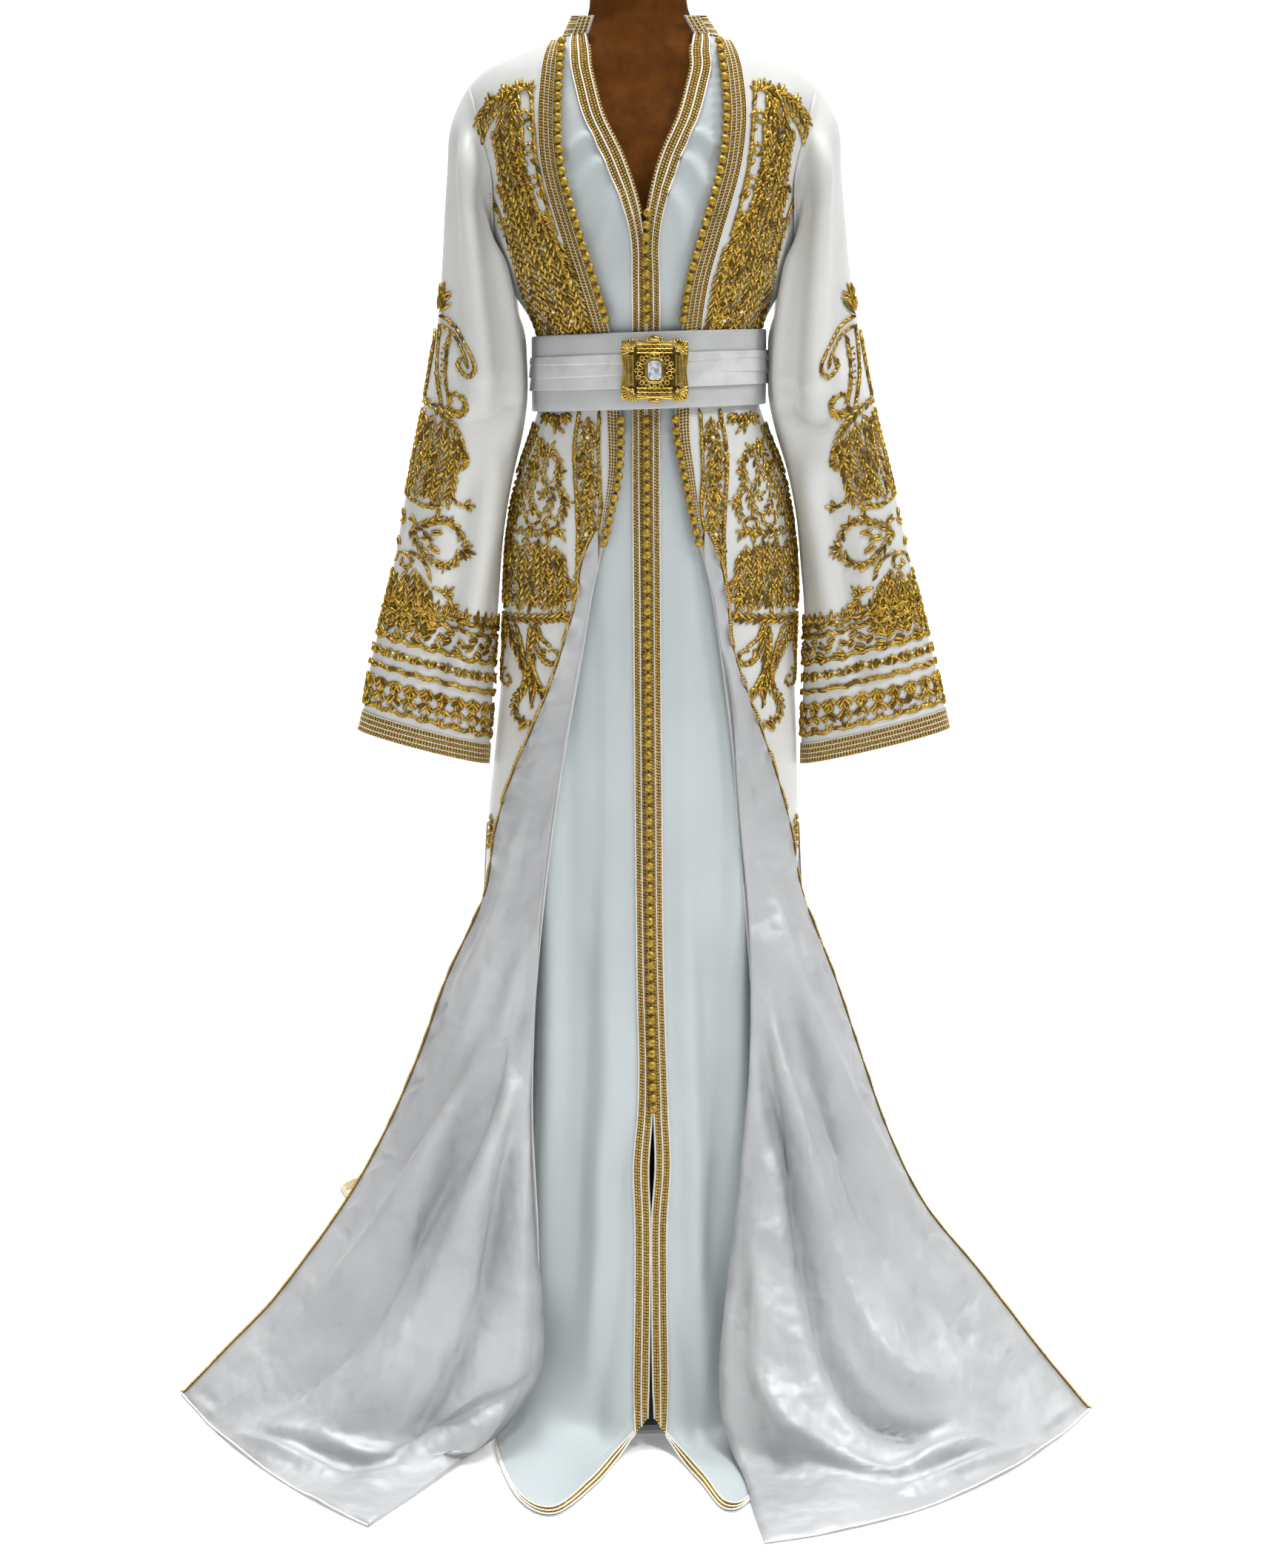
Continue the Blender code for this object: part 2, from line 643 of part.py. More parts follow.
def rim_shifts(work, place):
    """How far each point on the rim of a sewn piece moves in, to clear its neighbours."""
    shifts = {}
    for vert in work.verts:
        if not any(edge.is_boundary for edge in vert.link_edges):
            continue
        inwards = Vector()
        for face in vert.link_faces:
            inwards += face.calc_center_median() - vert.co
        shifts[vert[place]] = inwards.normalized() * SEAM
    return shifts


def cloth(name, points, colour, closed=False):
    """A wall of cloth whose outer face has the given points."""
    normals = normals_of(points, closed)
    return solid_from_grid(name, points, moved(points, normals, -WALL), colour, closed=closed)


def sewn_on(name, points, cells, thick, colour, closed=False, gap=PATCH_GAP):
    """A piece sewn on some cells of a panel, made from the panel's points."""
    normals = normals_of(points, closed)
    near = moved(points, normals, gap)
    far = moved(points, normals, gap + thick)
    return solid_from_grid(name, near, far, colour, cells=cells, closed=closed)


def tube_from_rings(name, rings, colour):
    """A closed body through rings that all have the same number of points."""
    sides = len(rings[0])
    work = bmesh.new()
    bmesh.ops.create_grid(work, x_segments=sides, y_segments=len(rings) - 1, size=1.0)
    work.verts.ensure_lookup_table()
    for index, vert in enumerate(work.verts):
        r, c = divmod(index, sides + 1)
        vert.co = rings[r][c % sides]
    bmesh.ops.remove_doubles(work, verts=work.verts, dist=1e-6)
    bmesh.ops.holes_fill(work, edges=work.edges, sides=sides)
    bmesh.ops.triangulate(work, faces=work.faces)
    return place_mesh(name, work, colour)


def slices(path, pitch):
    """Points at even distances along a line of (point, facing) pairs."""
    result = []
    left_over = 0.0
    for (start, start_out), (end, end_out) in zip(path, path[1:]):
        length = (end - start).length
        distance = left_over
        while distance <= length:
            share = distance / length
            along = (end - start).normalized()
            out = start_out.lerp(end_out, share).normalized()
            result.append((start.lerp(end, share), out, along))
            distance += pitch
        left_over = distance - length
    return result


def bead_row(name, path, pitch, colour):
    """A row of ball buttons along a line, joined by the cord they are sewn on."""
    places = slices(path, pitch / 2)
    if len(places) % 2 == 0:
        places.pop()
    rings = []
    for index, (at, out, along) in enumerate(places):
        across = along.cross(out).normalized()
        size = 1.0 if index % 2 else BUTTON_NECK
        half = across * BUTTON_WIDTH / 2 * size
        rise = out * BUTTON_RISE * size
        rings.append((
            at - half,
            at + half,
            at + half * BUTTON_CROWN + rise,
            at - half * BUTTON_CROWN + rise,
        ))
    return tube_from_rings(name, rings, colour)


def edge_path(points, normals, column, top, bottom, lift, past=0.0):
    """The line along one column of a panel between two heights, as points and facings."""
    beside = column - 1 if column else 1
    path = []
    for line, across in zip(points, normals):
        away = (line[column] - line[beside]).normalized()
        path.append((line[column] + away * past + across[column] * lift, across[column]))
    result = []
    for (start, start_out), (end, end_out) in zip(path, path[1:]):
        drop = start.z - end.z
        for height in (top, bottom):
            if end.z < height < start.z:
                share = (start.z - height) / drop
                result.append((start.lerp(end, share), start_out.lerp(end_out, share)))
        if bottom < end.z < top:
            result.append((end, end_out))
    return result


def across_on_left(point, side, widen):
    """The x at which a point would lie on the left, where the motifs' tables are."""
    if side == "left":
        return point.x
    return (2 * read(OUTER_LEVELS, "centre", "height", point.z) - point.x) / widen


def motif_cells(points, motif, side, closed=False, widen=1.0):
    """The cells that a motif covers on the front of a panel, or round the outside of a sleeve."""
    normals = normals_of(points, closed)
    chosen = set()
    for r in range(len(points) - 1):
        for c in range(len(points[0]) - 1):
            corners = (points[r][c], points[r][c + 1], points[r + 1][c], points[r + 1][c + 1])
            middle = sum(corners, Vector()) / 4
            seen = closed or normals[r][c].y <= FACES_FRONT
            if not seen or not motif[-1].height < middle.z < motif[0].height:
                continue
            across = across_on_left(middle, side, widen)
            inner = read(motif, "inner", "height", middle.z)
            if across < inner and (closed or across > read(motif, "outer", "height", middle.z)):
                chosen.add((r, c))
    return chosen


def outer_front(side):
    """The outer front from the shoulder to behind the turned back part."""
    sign = -1 if side == "left" else 1
    grid = []
    for height in OUTER_HEIGHTS:
        start = sign * angle_at(OUTER_LEVELS, height, read(FRONT_EDGE, side, "height", height))
        side_angle = math.radians(read(HIDDEN_SIDE, "turn", "height", height))
        end = side_angle - side_turn(OUTER_LEVELS, height)
        band = turn_for(OUTER_LEVELS, height, start, read(BAND, "width", "height", height))
        band = min(band, (end - start) * BAND_SHARE)
        line = []
        for column in range(OUTER_COLUMNS + 1):
            if column <= BAND_COLUMNS:
                angle = start + band * column / BAND_COLUMNS
            else:
                share = (column - BAND_COLUMNS) / (OUTER_COLUMNS - BAND_COLUMNS)
                angle = start + band + (end - start - band) * share
            line.append(on_body(OUTER_LEVELS, height, sign * angle))
        grid.append(line if side == "right" else line[::-1])
    return grid


def turned_back(side):
    """The front's free part, turned back with its lining out, down to the train's hem."""
    out = TURNED_BACK - OUTER_DRESS
    grid = []
    for height in TURN_HEIGHTS:
        start = angle_at(OUTER_LEVELS, height, read(FRONT_EDGE, side, "height", height))
        end = angle_at(OUTER_LEVELS, height, read(GOLD_EDGE, side, "height", height))
        line = []
        for column in range(TURN_COLUMNS + 1):
            angle = start + (end - start) * column / TURN_COLUMNS
            line.append(on_body(OUTER_LEVELS, height, angle, out))
        grid.append(line)
    train = TRAIN_LEFT if side == "left" else TRAIN_RIGHT
    for row, rail in enumerate(train):
        fade = min(1.0, (row + 1) / TRAIN_FADE_IN, (len(train) - row) / TRAIN_FADE_OUT)
        grid.append(train_line(rail, fade))
    return grid if side == "right" else [line[::-1] for line in grid]


def train_line(rail, fade):
    """One section of a train: an arc from the fold over the belly to the gold edge."""
    fold, belly, gold = Vector(rail.fold), Vector(rail.belly), Vector(rail.gold)
    line = []
    for column in range(TURN_COLUMNS + 1):
        t = column / TURN_COLUMNS
        point = fold * (1 - t) * (1 - 2 * t) + belly * 4 * t * (1 - t) + gold * t * (2 * t - 1)
        wave = 0.5 - 0.5 * math.cos(2 * math.pi * TRAIN_RIPPLES * t)
        swell = TRAIN_RIPPLE_DEPTH * fade * wave * math.sqrt(math.sin(math.pi * t))
        hangs = max(0.0, min(1.0, point.z / TRAIN_RISES_FROM))
        point += Vector((0.0, -hangs, 1.0 - hangs * TRAIN_LEAN)) * swell
        point.z = max(point.z, LYING)
        line.append(point)
    return line


def outer_back():
    """The outer back from the shoulders to the hem of its train."""
    grid = []
    for height in OUTER_HEIGHTS:
        if height < SLIT_TOP:
            break
        start = SIDE_ANGLE + side_turn(OUTER_LEVELS, height)
        line = []
        for column in range(BACK_COLUMNS + 1):
            share = even_with_narrow_ends(column, BACK_COLUMNS)
            angle = start + (2 * math.pi - 2 * start) * share
            line.append(on_body(OUTER_LEVELS, height, angle))
        grid.append(line)
    for row, trail in enumerate(BACK_TRAIL):
        fade = min(1.0, (row + 1) / BACK_FADE, (len(BACK_TRAIL) - 1 - row) / BACK_FADE)
        grid.append(trail_line(trail, fade))
    return grid


def trail_line(trail, fade):
    """One section of the back below the slits, with its folds."""
    line = []
    for column in range(BACK_COLUMNS + 1):
        angle = SIDE_ANGLE + math.pi * even_with_narrow_ends(column, BACK_COLUMNS)
        width = trail.right if math.sin(angle) > 0 else trail.left
        point = Vector((width * math.sin(angle), trail.edge_deep, trail.height))
        point.y -= (trail.deep - trail.edge_deep) * math.cos(angle)
        wave = 0.5 + 0.5 * math.cos(2 * BACK_FOLDS * (angle - math.pi))
        swell = BACK_FOLD_DEPTH * fade * wave * math.cos(angle) ** 2
        hangs = max(0.0, min(1.0, point.z / BACK_RISES_FROM))
        point += Vector((math.sin(angle) * hangs, -math.cos(angle) * hangs, 1 - hangs)) * swell
        line.append(point)
    return line


def even_with_narrow_ends(column, columns):
    """Even shares with a narrow first and last cell for the edge braid."""
    narrow = NARROW_END / columns
    if column == 0:
        return 0.0
    if column == columns:
        return 1.0
    return narrow + (1 - 2 * narrow) * (column - 1) / (columns - 2)


def inner_front(side):
    """The inner front from the shoulder to its rounded hem on the floor."""
    sign = -1 if side == "left" else 1
    hem = HEM_LEFT if side == "left" else HEM_RIGHT
    grid = []
    for height in INNER_HEIGHTS:
        centre = read(NECKLINE, "centre", "height", height)
        edge = centre + sign * read(NECKLINE, "half", "height", height)
        start = sign * angle_at(INNER_LEVELS, height, edge)
        end = SIDE_ANGLE - side_turn(INNER_LEVELS, height)
        strip = read(INNER_BRAID, "width", "height", height)
        strip = turn_for(INNER_LEVELS, height, start, strip)
        line = [on_body(INNER_LEVELS, height, sign * start)]
        for column in range(INNER_COLUMNS):
            angle = start + strip + (end - start - strip) * column / (INNER_COLUMNS - 1)
            line.append(on_body(INNER_LEVELS, height, sign * angle))
        grid.append(line)
    above = grid[-1]
    feet = []
    for column in range(INNER_COLUMNS + 1):
        share = 0.0
        if column:
            share = FIRST_FOOT + (1 - FIRST_FOOT) * (column - 1) / (INNER_COLUMNS - 1)
        place = [read(hem, axis, "share", share) for axis in ("across", "deep", "height")]
        feet.append(Vector(place))
    for step in FLOOR_STEPS:
        line = []
        for column, (point, foot) in enumerate(zip(above, feet)):
            corner = Vector((point.x, point.y, foot.z))
            firm = min(1.0, column / INNER_COLUMNS / CORNER_REACH)
            corner = point.lerp(foot, 0.5).lerp(corner, firm)
            stay, turn, go = (1 - step) ** 2, 2 * step * (1 - step), step**2
            line.append(point * stay + corner * turn + foot * go)
        grid.append(line)
    strip_line = []
    for point, foot in zip(grid[-1], feet):
        back = point - foot
        strip_line.append(foot + back.normalized() * min(HEM_BRAID, back.length * 0.5))
    grid.append(strip_line)
    grid.append(feet)
    return grid if sign > 0 else [line[::-1] for line in grid]


def inner_back():
    """The inner back from the shoulders to the floor."""
    grid = []
    for height in INNER_BACK_HEIGHTS:
        start = SIDE_ANGLE + side_turn(INNER_LEVELS, height)
        line = []
        for column in range(INNER_BACK_COLUMNS + 1):
            share = even_with_narrow_ends(column, INNER_BACK_COLUMNS)
            angle = start + (2 * math.pi - 2 * start) * share
            line.append(on_body(INNER_LEVELS, height, angle))
        grid.append(line)
    return grid


def inner_collar():
    """The stand collar, open at the front over the neckline."""
    front = angle_at(INNER_LEVELS, INNER_TOP, COLLAR_HALF_OPEN)
    grid = []
    for is_top in (True, False):
        line = []
        for column in range(COLLAR_COLUMNS + 1):
            angle = front + (2 * math.pi - 2 * front) * column / COLLAR_COLUMNS
            if is_top:
                point = on_body(FORM, COLLAR_TOP, angle, COLLAR_STAND_OFF)
                point.z -= COLLAR_DIP * max(0.0, math.cos(angle))
            else:
                point = on_body(INNER_LEVELS, INNER_TOP, angle)
                point.z = INNER_TOP + COLLAR_SEAM
            line.append(point)
        grid.append(line)
    return grid


def sleeve(side):
    """The sleeve from the armhole to the cuff, leaning clear of the body."""
    sign = -1 if side == "left" else 1
    table = SLEEVE_LEFT if side == "left" else SLEEVE_RIGHT
    grid = [armhole_ring(sign)]
    for row in range(SLEEVE_ROWS):
        at = (len(table) - 2) * row / (SLEEVE_ROWS - 1)
        grid.append(sleeve_ring(table, at, sign))
    grid.append(sleeve_ring(table, len(table) - 1, sign))
    return grid


def sleeve_ring(table, at, sign):
    """One ring of a sleeve, pushed out where it would meet the body."""
    marks = range(len(table))
    value = {
        name: curve_through(marks, [getattr(row, name) for row in table], at)
        for name in Ring._fields
    }
    outer = Vector((value["outer_x"], value["centre"], value["outer_z"]))
    inner = Vector((value["inner_x"], value["centre"], value["inner_z"]))
    middle, reach = (outer + inner) / 2, (outer - inner) / 2 * sign
    line = []
    for column in range(SLEEVE_SIDES):
        angle = 2 * math.pi * column / SLEEVE_SIDES - math.pi
        point = middle + reach * math.sin(angle)
        point.y -= value["deep"] * math.cos(angle)
        line.append(clear_of_body(point))
    return line + [line[0].copy()]


def clear_of_body(point):
    """A point moved sideways until it is clear of the dressed body."""
    centre = read(OUTER_LEVELS, "centre", "height", point.z)
    side = on_body(OUTER_LEVELS, point.z, SIDE_ANGLE, SLEEVE_CLEAR - OUTER_DRESS)
    facing = 0.0 if point.y < 0 else math.pi
    deep = abs(on_body(OUTER_LEVELS, point.z, facing, SLEEVE_CLEAR - OUTER_DRESS).y)
    reach = math.hypot((point.x - centre) / (side.x - centre), point.y / deep)
    if reach >= 1:
        return point
    return Vector((centre + (point.x - centre) / reach, point.y / reach, point.z))


def armhole_ring(sign):
    """The sleeve's first ring, just outside the edge of the armhole."""
    middle = (ARMHOLE_TOP + ARMHOLE_BOTTOM) / 2
    tall = (ARMHOLE_TOP - ARMHOLE_BOTTOM) / 2
    line = []
    for column in range(SLEEVE_SIDES):
        angle = 2 * math.pi * column / SLEEVE_SIDES - math.pi
        height = middle + tall * math.sin(angle) * sign
        deep = -ARMHOLE_DEEP * math.cos(angle)
        facing = 0.0 if deep < 0 else math.pi
        wall = abs(on_body(OUTER_LEVELS, height, facing, SLEEVE_START).y)
        half = on_body(OUTER_LEVELS, height, SIDE_ANGLE, SLEEVE_START).x
        centre = read(OUTER_LEVELS, "centre", "height", height)
        across = (half - centre) * math.sqrt(1 - (deep / wall) ** 2)
        line.append(Vector((centre + sign * across, deep, height)))
    return line + [line[0].copy()]


def build_form():
    """The limbless form, its pole and its round base."""
    rings = []
    for row in FORM:
        ease = read(FORM_EASE, "ease", "height", row.height)
        rings.append([
            on_body(FORM, row.height, 2 * math.pi * side / FORM_SIDES, -ease)
            for side in range(FORM_SIDES)
        ])
    foot = FORM_BOTTOM - FORM_FOOT_DROP
    rings.append([
        Vector((point.x * FORM_FOOT_SHARE, point.y * FORM_FOOT_SHARE, foot)) for point in rings[-1]
    ])
    tube_from_rings("form_torso", rings, VELVET)
    pole = ((POLE_RADIUS, BASE_HEIGHT + SEAM), (POLE_RADIUS, foot - SEAM))
    turned("form_pole", pole, POLE_SIDES, DARK_METAL)
    base = ((BASE_RADIUS, 0.0), (BASE_RADIUS, BASE_HEIGHT / 2), (BASE_RADIUS * 0.97, BASE_HEIGHT))
    turned("form_base", base, BASE_SIDES, WHITE_ENAMEL)


def turned(name, profile, sides, colour):
    """A solid turned about the upright axis, from its foot to its top."""
    rings = []
    for radius, height in profile:
        rings.append([
            Vector((
                radius * math.cos(2 * math.pi * side / sides),
                radius * math.sin(2 * math.pi * side / sides),
                height,
            ))
            for side in range(sides)
        ])
    return tube_from_rings(name, rings, colour)


def build_inner_dress():
    """The inner dress with its collar, braids, hem trims and buttons."""
    for side in ("left", "right"):
        points = inner_front(side)
        cloth(f"inner_front_{side}", points, ICE_SATIN)
        column = 0 if side == "right" else INNER_COLUMNS - 1
        last = len(points) - 2
        strip = {(r, column) for r in range(1, last + 1)}
        sewn_on(f"inner_braid_{side}", points, strip, BRAID_WALL, GOLD_THREAD)
        hem = {(last, c) for c in range(INNER_COLUMNS) if c != column}
        sewn_on(f"inner_hem_{side}", points, hem, BRAID_WALL, GOLD_THREAD)
    cloth("inner_back", inner_back(), ICE_SATIN)
    collar = inner_collar()
    cloth("inner_collar", collar, ICE_SATIN)
    sewn_on("inner_collar_braid", collar, None, BRAID_WALL, GOLD_THREAD)
    build_inner_buttons()


def build_inner_buttons():
    """The closed row of buttons down the front, hidden under the belt."""
    points = inner_front("right")
    normals = normals_of(points)
    lift = PATCH_GAP + BRAID_WALL + SEAM
    spans = (
        ("inner_buttons_upper", BUTTON_TOP, BELT_MIDDLE + BELT_CLEAR),
        ("inner_buttons_lower", BELT_MIDDLE - BELT_CLEAR, BUTTON_BOTTOM),
    )
    for name, top, bottom in spans:
        path = edge_path(points, normals, 0, top, bottom, lift)
        bead_row(name, path, INNER_PITCH, GOLD_THREAD)


def build_outer_dress():
    """The outer dress with its bands, buttons, turned back fronts and trains."""
    spans = (
        ("upper", OUTER_BUTTON_TOP, BELT_MIDDLE + BELT_CLEAR),
        ("lower", BELT_MIDDLE - BELT_CLEAR, OUTER_BUTTON_BOTTOM),
    )
    lift = PATCH_GAP + BRAID_WALL + SEAM
    for side in ("left", "right"):
        points = outer_front(side)
        normals = normals_of(points)
        cloth(f"outer_front_{side}", points, IVORY_SATIN)
        edge = 0 if side == "right" else OUTER_COLUMNS
        first = 0 if side == "right" else OUTER_COLUMNS - BAND_COLUMNS
        rows = [r for r, h in enumerate(OUTER_HEIGHTS[1:]) if h >= BAND_END]
        band = {(r, first + c) for r in rows for c in range(BAND_COLUMNS)}
        sewn_on(f"outer_braid_{side}", points, band, BRAID_WALL, GOLD_THREAD)
        for label, top, bottom in spans:
            path = edge_path(points, normals, edge, top, bottom, lift, BUTTON_PAST_EDGE)
            bead_row(f"outer_buttons_{side}_{label}", path, OUTER_PITCH, GOLD_THREAD)
        build_turned_back(side)
    back = outer_back()
    cloth("outer_back", back, IVORY_SATIN)
    first = sum(1 for h in OUTER_HEIGHTS if h >= SLIT_TOP) - 1
    last = len(back) - 2
    trim = {(r, c) for r in range(first, last + 1) for c in (0, BACK_COLUMNS - 1)}
    trim |= {(last, c) for c in range(BACK_COLUMNS)}
    sewn_on("outer_back_braid", back, trim, BRAID_WALL, GOLD_THREAD)


def build_turned_back(side):
    """One turned back front with the gold cord along its edge."""
    points = turned_back(side)
    cloth(f"outer_turn_{side}", points, SILVER_SATIN)
    normals = normals_of(points)
    column = TURN_COLUMNS if side == "right" else 0
    beside = CORD_RADIUS + CORD_GAP
    path = edge_path(points, normals, column, math.inf, -math.inf, -WALL / 2, beside)
    curve = bpy.data.curves.new(f"outer_cord_{side}", "CURVE")
    curve.dimensions = "3D"
    curve.bevel_depth = CORD_RADIUS
    curve.bevel_resolution = 0
    curve.use_fill_caps = True
    spline = curve.splines.new("POLY")
    spline.points.add(len(path) - 1)
    for point, (at, _) in zip(spline.points, path):
        point.co = (at.x, at.y, max(at.z, CORD_RADIUS + CORD_LIFT), 1.0)
    curve.materials.append(material_for(f"outer_cord_{side}", GOLD_THREAD))
    item = bpy.data.objects.new(f"outer_cord_{side}", curve)
    bpy.context.scene.collection.objects.link(item)


def build_embroidery():
    """The raised gold embroidery on the chest, beside the bands and on the hips."""
    for side in ("left", "right"):
        points = outer_front(side)
        free = band_cells(side) | armhole_cells(side)
        for name, motif in (("chest", CHEST), ("column", COLUMN), ("hip", HIP)):
            cells = motif_cells(points, motif, side) - free
            sewn_on(f"embroidery_{name}_{side}", points, cells, PATCH_WALL, GOLD_THREAD)


def band_cells(side):
    """The cells of the front band, which the embroidery leaves free."""
    first = 0 if side == "right" else OUTER_COLUMNS - BAND_COLUMNS
    return {(r, first + c) for r in range(len(OUTER_HEIGHTS)) for c in range(BAND_COLUMNS)}


def armhole_cells(side):
    """The cells next to the armhole, where the sleeve starts."""
    columns = range(OUTER_COLUMNS - 2, OUTER_COLUMNS) if side == "right" else range(2)
    low, high = ARMHOLE_BOTTOM - ARMHOLE_SHY, ARMHOLE_TOP + ARMHOLE_SHY
    rows = [r for r, h in enumerate(OUTER_HEIGHTS) if low < h < high]
    return {(r, c) for r in rows for c in columns}


def build_sleeves():
    """The two sleeves with their motifs, cuff bands and cuff braids."""
    for side in ("left", "right"):
        points = sleeve(side)
        cloth(f"sleeve_{side}", points, IVORY_SATIN, closed=True)
        last = len(points) - 2
        braid = {(last, c) for c in range(SLEEVE_SIDES)}
        sewn_on(f"cuff_braid_{side}", points, braid, BRAID_WALL, GOLD_THREAD, closed=True)
        band = {(last - r, c) for r in range(1, CUFF_BAND_ROWS + 1) for c in range(SLEEVE_SIDES)}
        sewn_on(f"embroidery_cuff_{side}", points, band, PATCH_WALL, GOLD_THREAD, closed=True)
        cells = motif_cells(points, SLEEVE, side, closed=True, widen=RIGHT_SLEEVE_WIDER)
        cells -= band
        sewn_on(f"embroidery_sleeve_{side}", points, cells, PATCH_WALL, GOLD_THREAD, closed=True)


def belt_point(angle, height, out):
    """A point round the belt, which rises a little to the right."""
    across = (BELT_HALF + out) * math.sin(angle)
    deep = (BELT_FRONT if math.cos(angle) > 0 else BELT_BACK) + out
    lift = BELT_TILT * across
    return Vector((BELT_CENTRE + across, -deep * math.cos(angle), BELT_MIDDLE + height + lift))


def belt_loop(name, profile, colour):
    """A closed loop round the waist with one closed profile of (out, height)."""
    rows = len(profile)
    work = bmesh.new()
    bmesh.ops.create_grid(work, x_segments=rows, y_segments=BELT_SIDES, size=1.0)
    work.verts.ensure_lookup_table()
    for index, vert in enumerate(work.verts):
        r, c = divmod(index, rows + 1)
        out, height = profile[c % rows]
        vert.co = belt_point(2 * math.pi * (r % BELT_SIDES) / BELT_SIDES, height, out)
    bmesh.ops.remove_doubles(work, verts=work.verts, dist=1e-6)
    bmesh.ops.triangulate(work, faces=work.faces)
    return place_mesh(name, work, colour)


def build_belt():
    """The leather band, the pleated sash round it and the jewelled buckle."""
    half = BELT_HEIGHT / 2
    band = ((0.0, -half), (BELT_WALL, -half), (BELT_WALL, half), (0.0, half))
    belt_loop("belt_band", band, BELT_LEATHER)
    inner = BELT_WALL + SEAM
    outer = inner + SASH_WALL
    sash = [(inner, SASH_HEIGHT / 2), (inner, -SASH_HEIGHT / 2), (outer, -SASH_HEIGHT / 2)]
    for pleat in range(SASH_PLEATS):
        height = SASH_HEIGHT * ((pleat + 1) / (SASH_PLEATS + 1) - 0.5)
        sash += [(outer + PLEAT_RISE, height), (outer, height + PLEAT_STEP)]
    sash.append((outer, SASH_HEIGHT / 2))
    belt_loop("belt_sash", sash, SASH_SATIN)
    build_buckle(outer + PLEAT_RISE + SEAM)


def build_buckle(out):
    """The square buckle with lobed corners, its domed middle and the clear stone."""
    wide, tall = BUCKLE_SIZE[0] / 2 * BUCKLE_BODY, BUCKLE_SIZE[1] / 2 * BUCKLE_BODY
    outline = []
    for step in range(BUCKLE_STEPS):
        angle = 2 * math.pi * step / BUCKLE_STEPS
        reach = 1.0 - BUCKLE_LOBE * math.cos(4 * angle)
        reach /= max(abs(math.cos(angle)), abs(math.sin(angle))) ** BUCKLE_SQUARE
        outline.append((wide * reach * math.cos(angle), tall * reach * math.sin(angle)))
    back = BELT_FRONT + out
    pressed("buckle_plate", outline, back, BUCKLE_FACE, GOLD_METAL)
    seat = back + BUCKLE_FACE[-1].depth + SEAM
    corners = octagon(STONE_SIZE[0] / 2, STONE_SIZE[1] / 2, STONE_CUT)
    pressed("buckle_stone", corners, seat, STONE_FACE, CLEAR_STONE)


def pressed(name, outline, back, face, colour):
    """A body that stands out from the belt's front by the steps of a face."""
    across, height = BUCKLE_PLACE
    rings = [
        [Vector((across + x * step.scale, -back - step.depth, height + z * step.scale)) for x, z in outline]
        for step in face
    ]
    tube_from_rings(name, rings, colour)


def octagon(wide, tall, cut):
    """The eight corners of an emerald cut stone."""
    return (
        (wide, cut - tall), (wide, tall - cut), (wide - cut, tall), (cut - wide, tall),
        (-wide, tall - cut), (-wide, cut - tall), (cut - wide, -tall), (wide - cut, -tall),
    )


def main():
    """Builds the whole part."""
    clear_scene()
    build_form()
    build_inner_dress()
    build_outer_dress()
    build_sleeves()
    build_embroidery()
    build_belt()


main()
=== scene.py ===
"""Looks of a takchita on a dress form.

Two satin dresses, their gold braids, ball buttons and raised embroidery, a leather belt with
its sash and buckle, and the velvet form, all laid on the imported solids.  Metres, +Z up, the
front faces -Y.  Panels are grids: rows run down, columns from left to right seen from the front.
"""

from __future__ import annotations

import json
import logging
import math
from dataclasses import dataclass, field
from enum import Enum, IntEnum
from typing import ClassVar, NamedTuple, Sequence

import bmesh
import bpy
import numpy as np
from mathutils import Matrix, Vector, noise

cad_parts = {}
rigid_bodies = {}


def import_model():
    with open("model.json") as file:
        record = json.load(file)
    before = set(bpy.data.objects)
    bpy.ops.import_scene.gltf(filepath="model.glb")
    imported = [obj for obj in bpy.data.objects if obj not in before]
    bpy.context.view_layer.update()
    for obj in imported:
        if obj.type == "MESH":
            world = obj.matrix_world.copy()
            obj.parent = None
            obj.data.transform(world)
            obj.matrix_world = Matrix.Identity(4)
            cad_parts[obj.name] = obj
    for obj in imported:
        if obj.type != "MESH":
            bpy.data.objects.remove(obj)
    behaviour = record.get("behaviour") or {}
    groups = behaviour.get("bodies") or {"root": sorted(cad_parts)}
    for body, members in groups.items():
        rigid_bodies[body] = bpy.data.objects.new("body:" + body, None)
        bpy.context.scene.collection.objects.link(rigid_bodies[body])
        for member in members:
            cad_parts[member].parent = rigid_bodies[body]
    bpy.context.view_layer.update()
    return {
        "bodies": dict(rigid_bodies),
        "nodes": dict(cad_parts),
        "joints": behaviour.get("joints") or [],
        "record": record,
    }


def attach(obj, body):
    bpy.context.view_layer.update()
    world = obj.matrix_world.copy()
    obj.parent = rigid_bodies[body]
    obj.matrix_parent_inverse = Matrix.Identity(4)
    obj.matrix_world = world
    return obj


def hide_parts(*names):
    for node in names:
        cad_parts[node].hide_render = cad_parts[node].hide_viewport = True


LOG = logging.getLogger("takchita")

Grid = list[list[Vector]]
Path = Sequence[tuple[float, float]]


class Level(NamedTuple):
    """A level section: its centre, half width and depths."""

    height: float
    centre: float
    half: float
    front: float
    back: float


class Ease(NamedTuple):
    """How far the form is drawn in at a height."""

    height: float
    ease: float


class Neck(NamedTuple):
    """The middle and half width of the neckline."""

    height: float
    centre: float
    half: float


class Strip(NamedTuple):
    """The width of a braid at a height."""

    height: float
    width: float


class Foot(NamedTuple):
    """A point of the hem on the floor."""

    share: float
    across: float
    deep: float
    height: float


class Hidden(NamedTuple):
    """How far the hidden front reaches round."""

    height: float
    turn: float


class Edge(NamedTuple):
    """An edge of the open front on both sides."""

    height: float
    left: float
    right: float


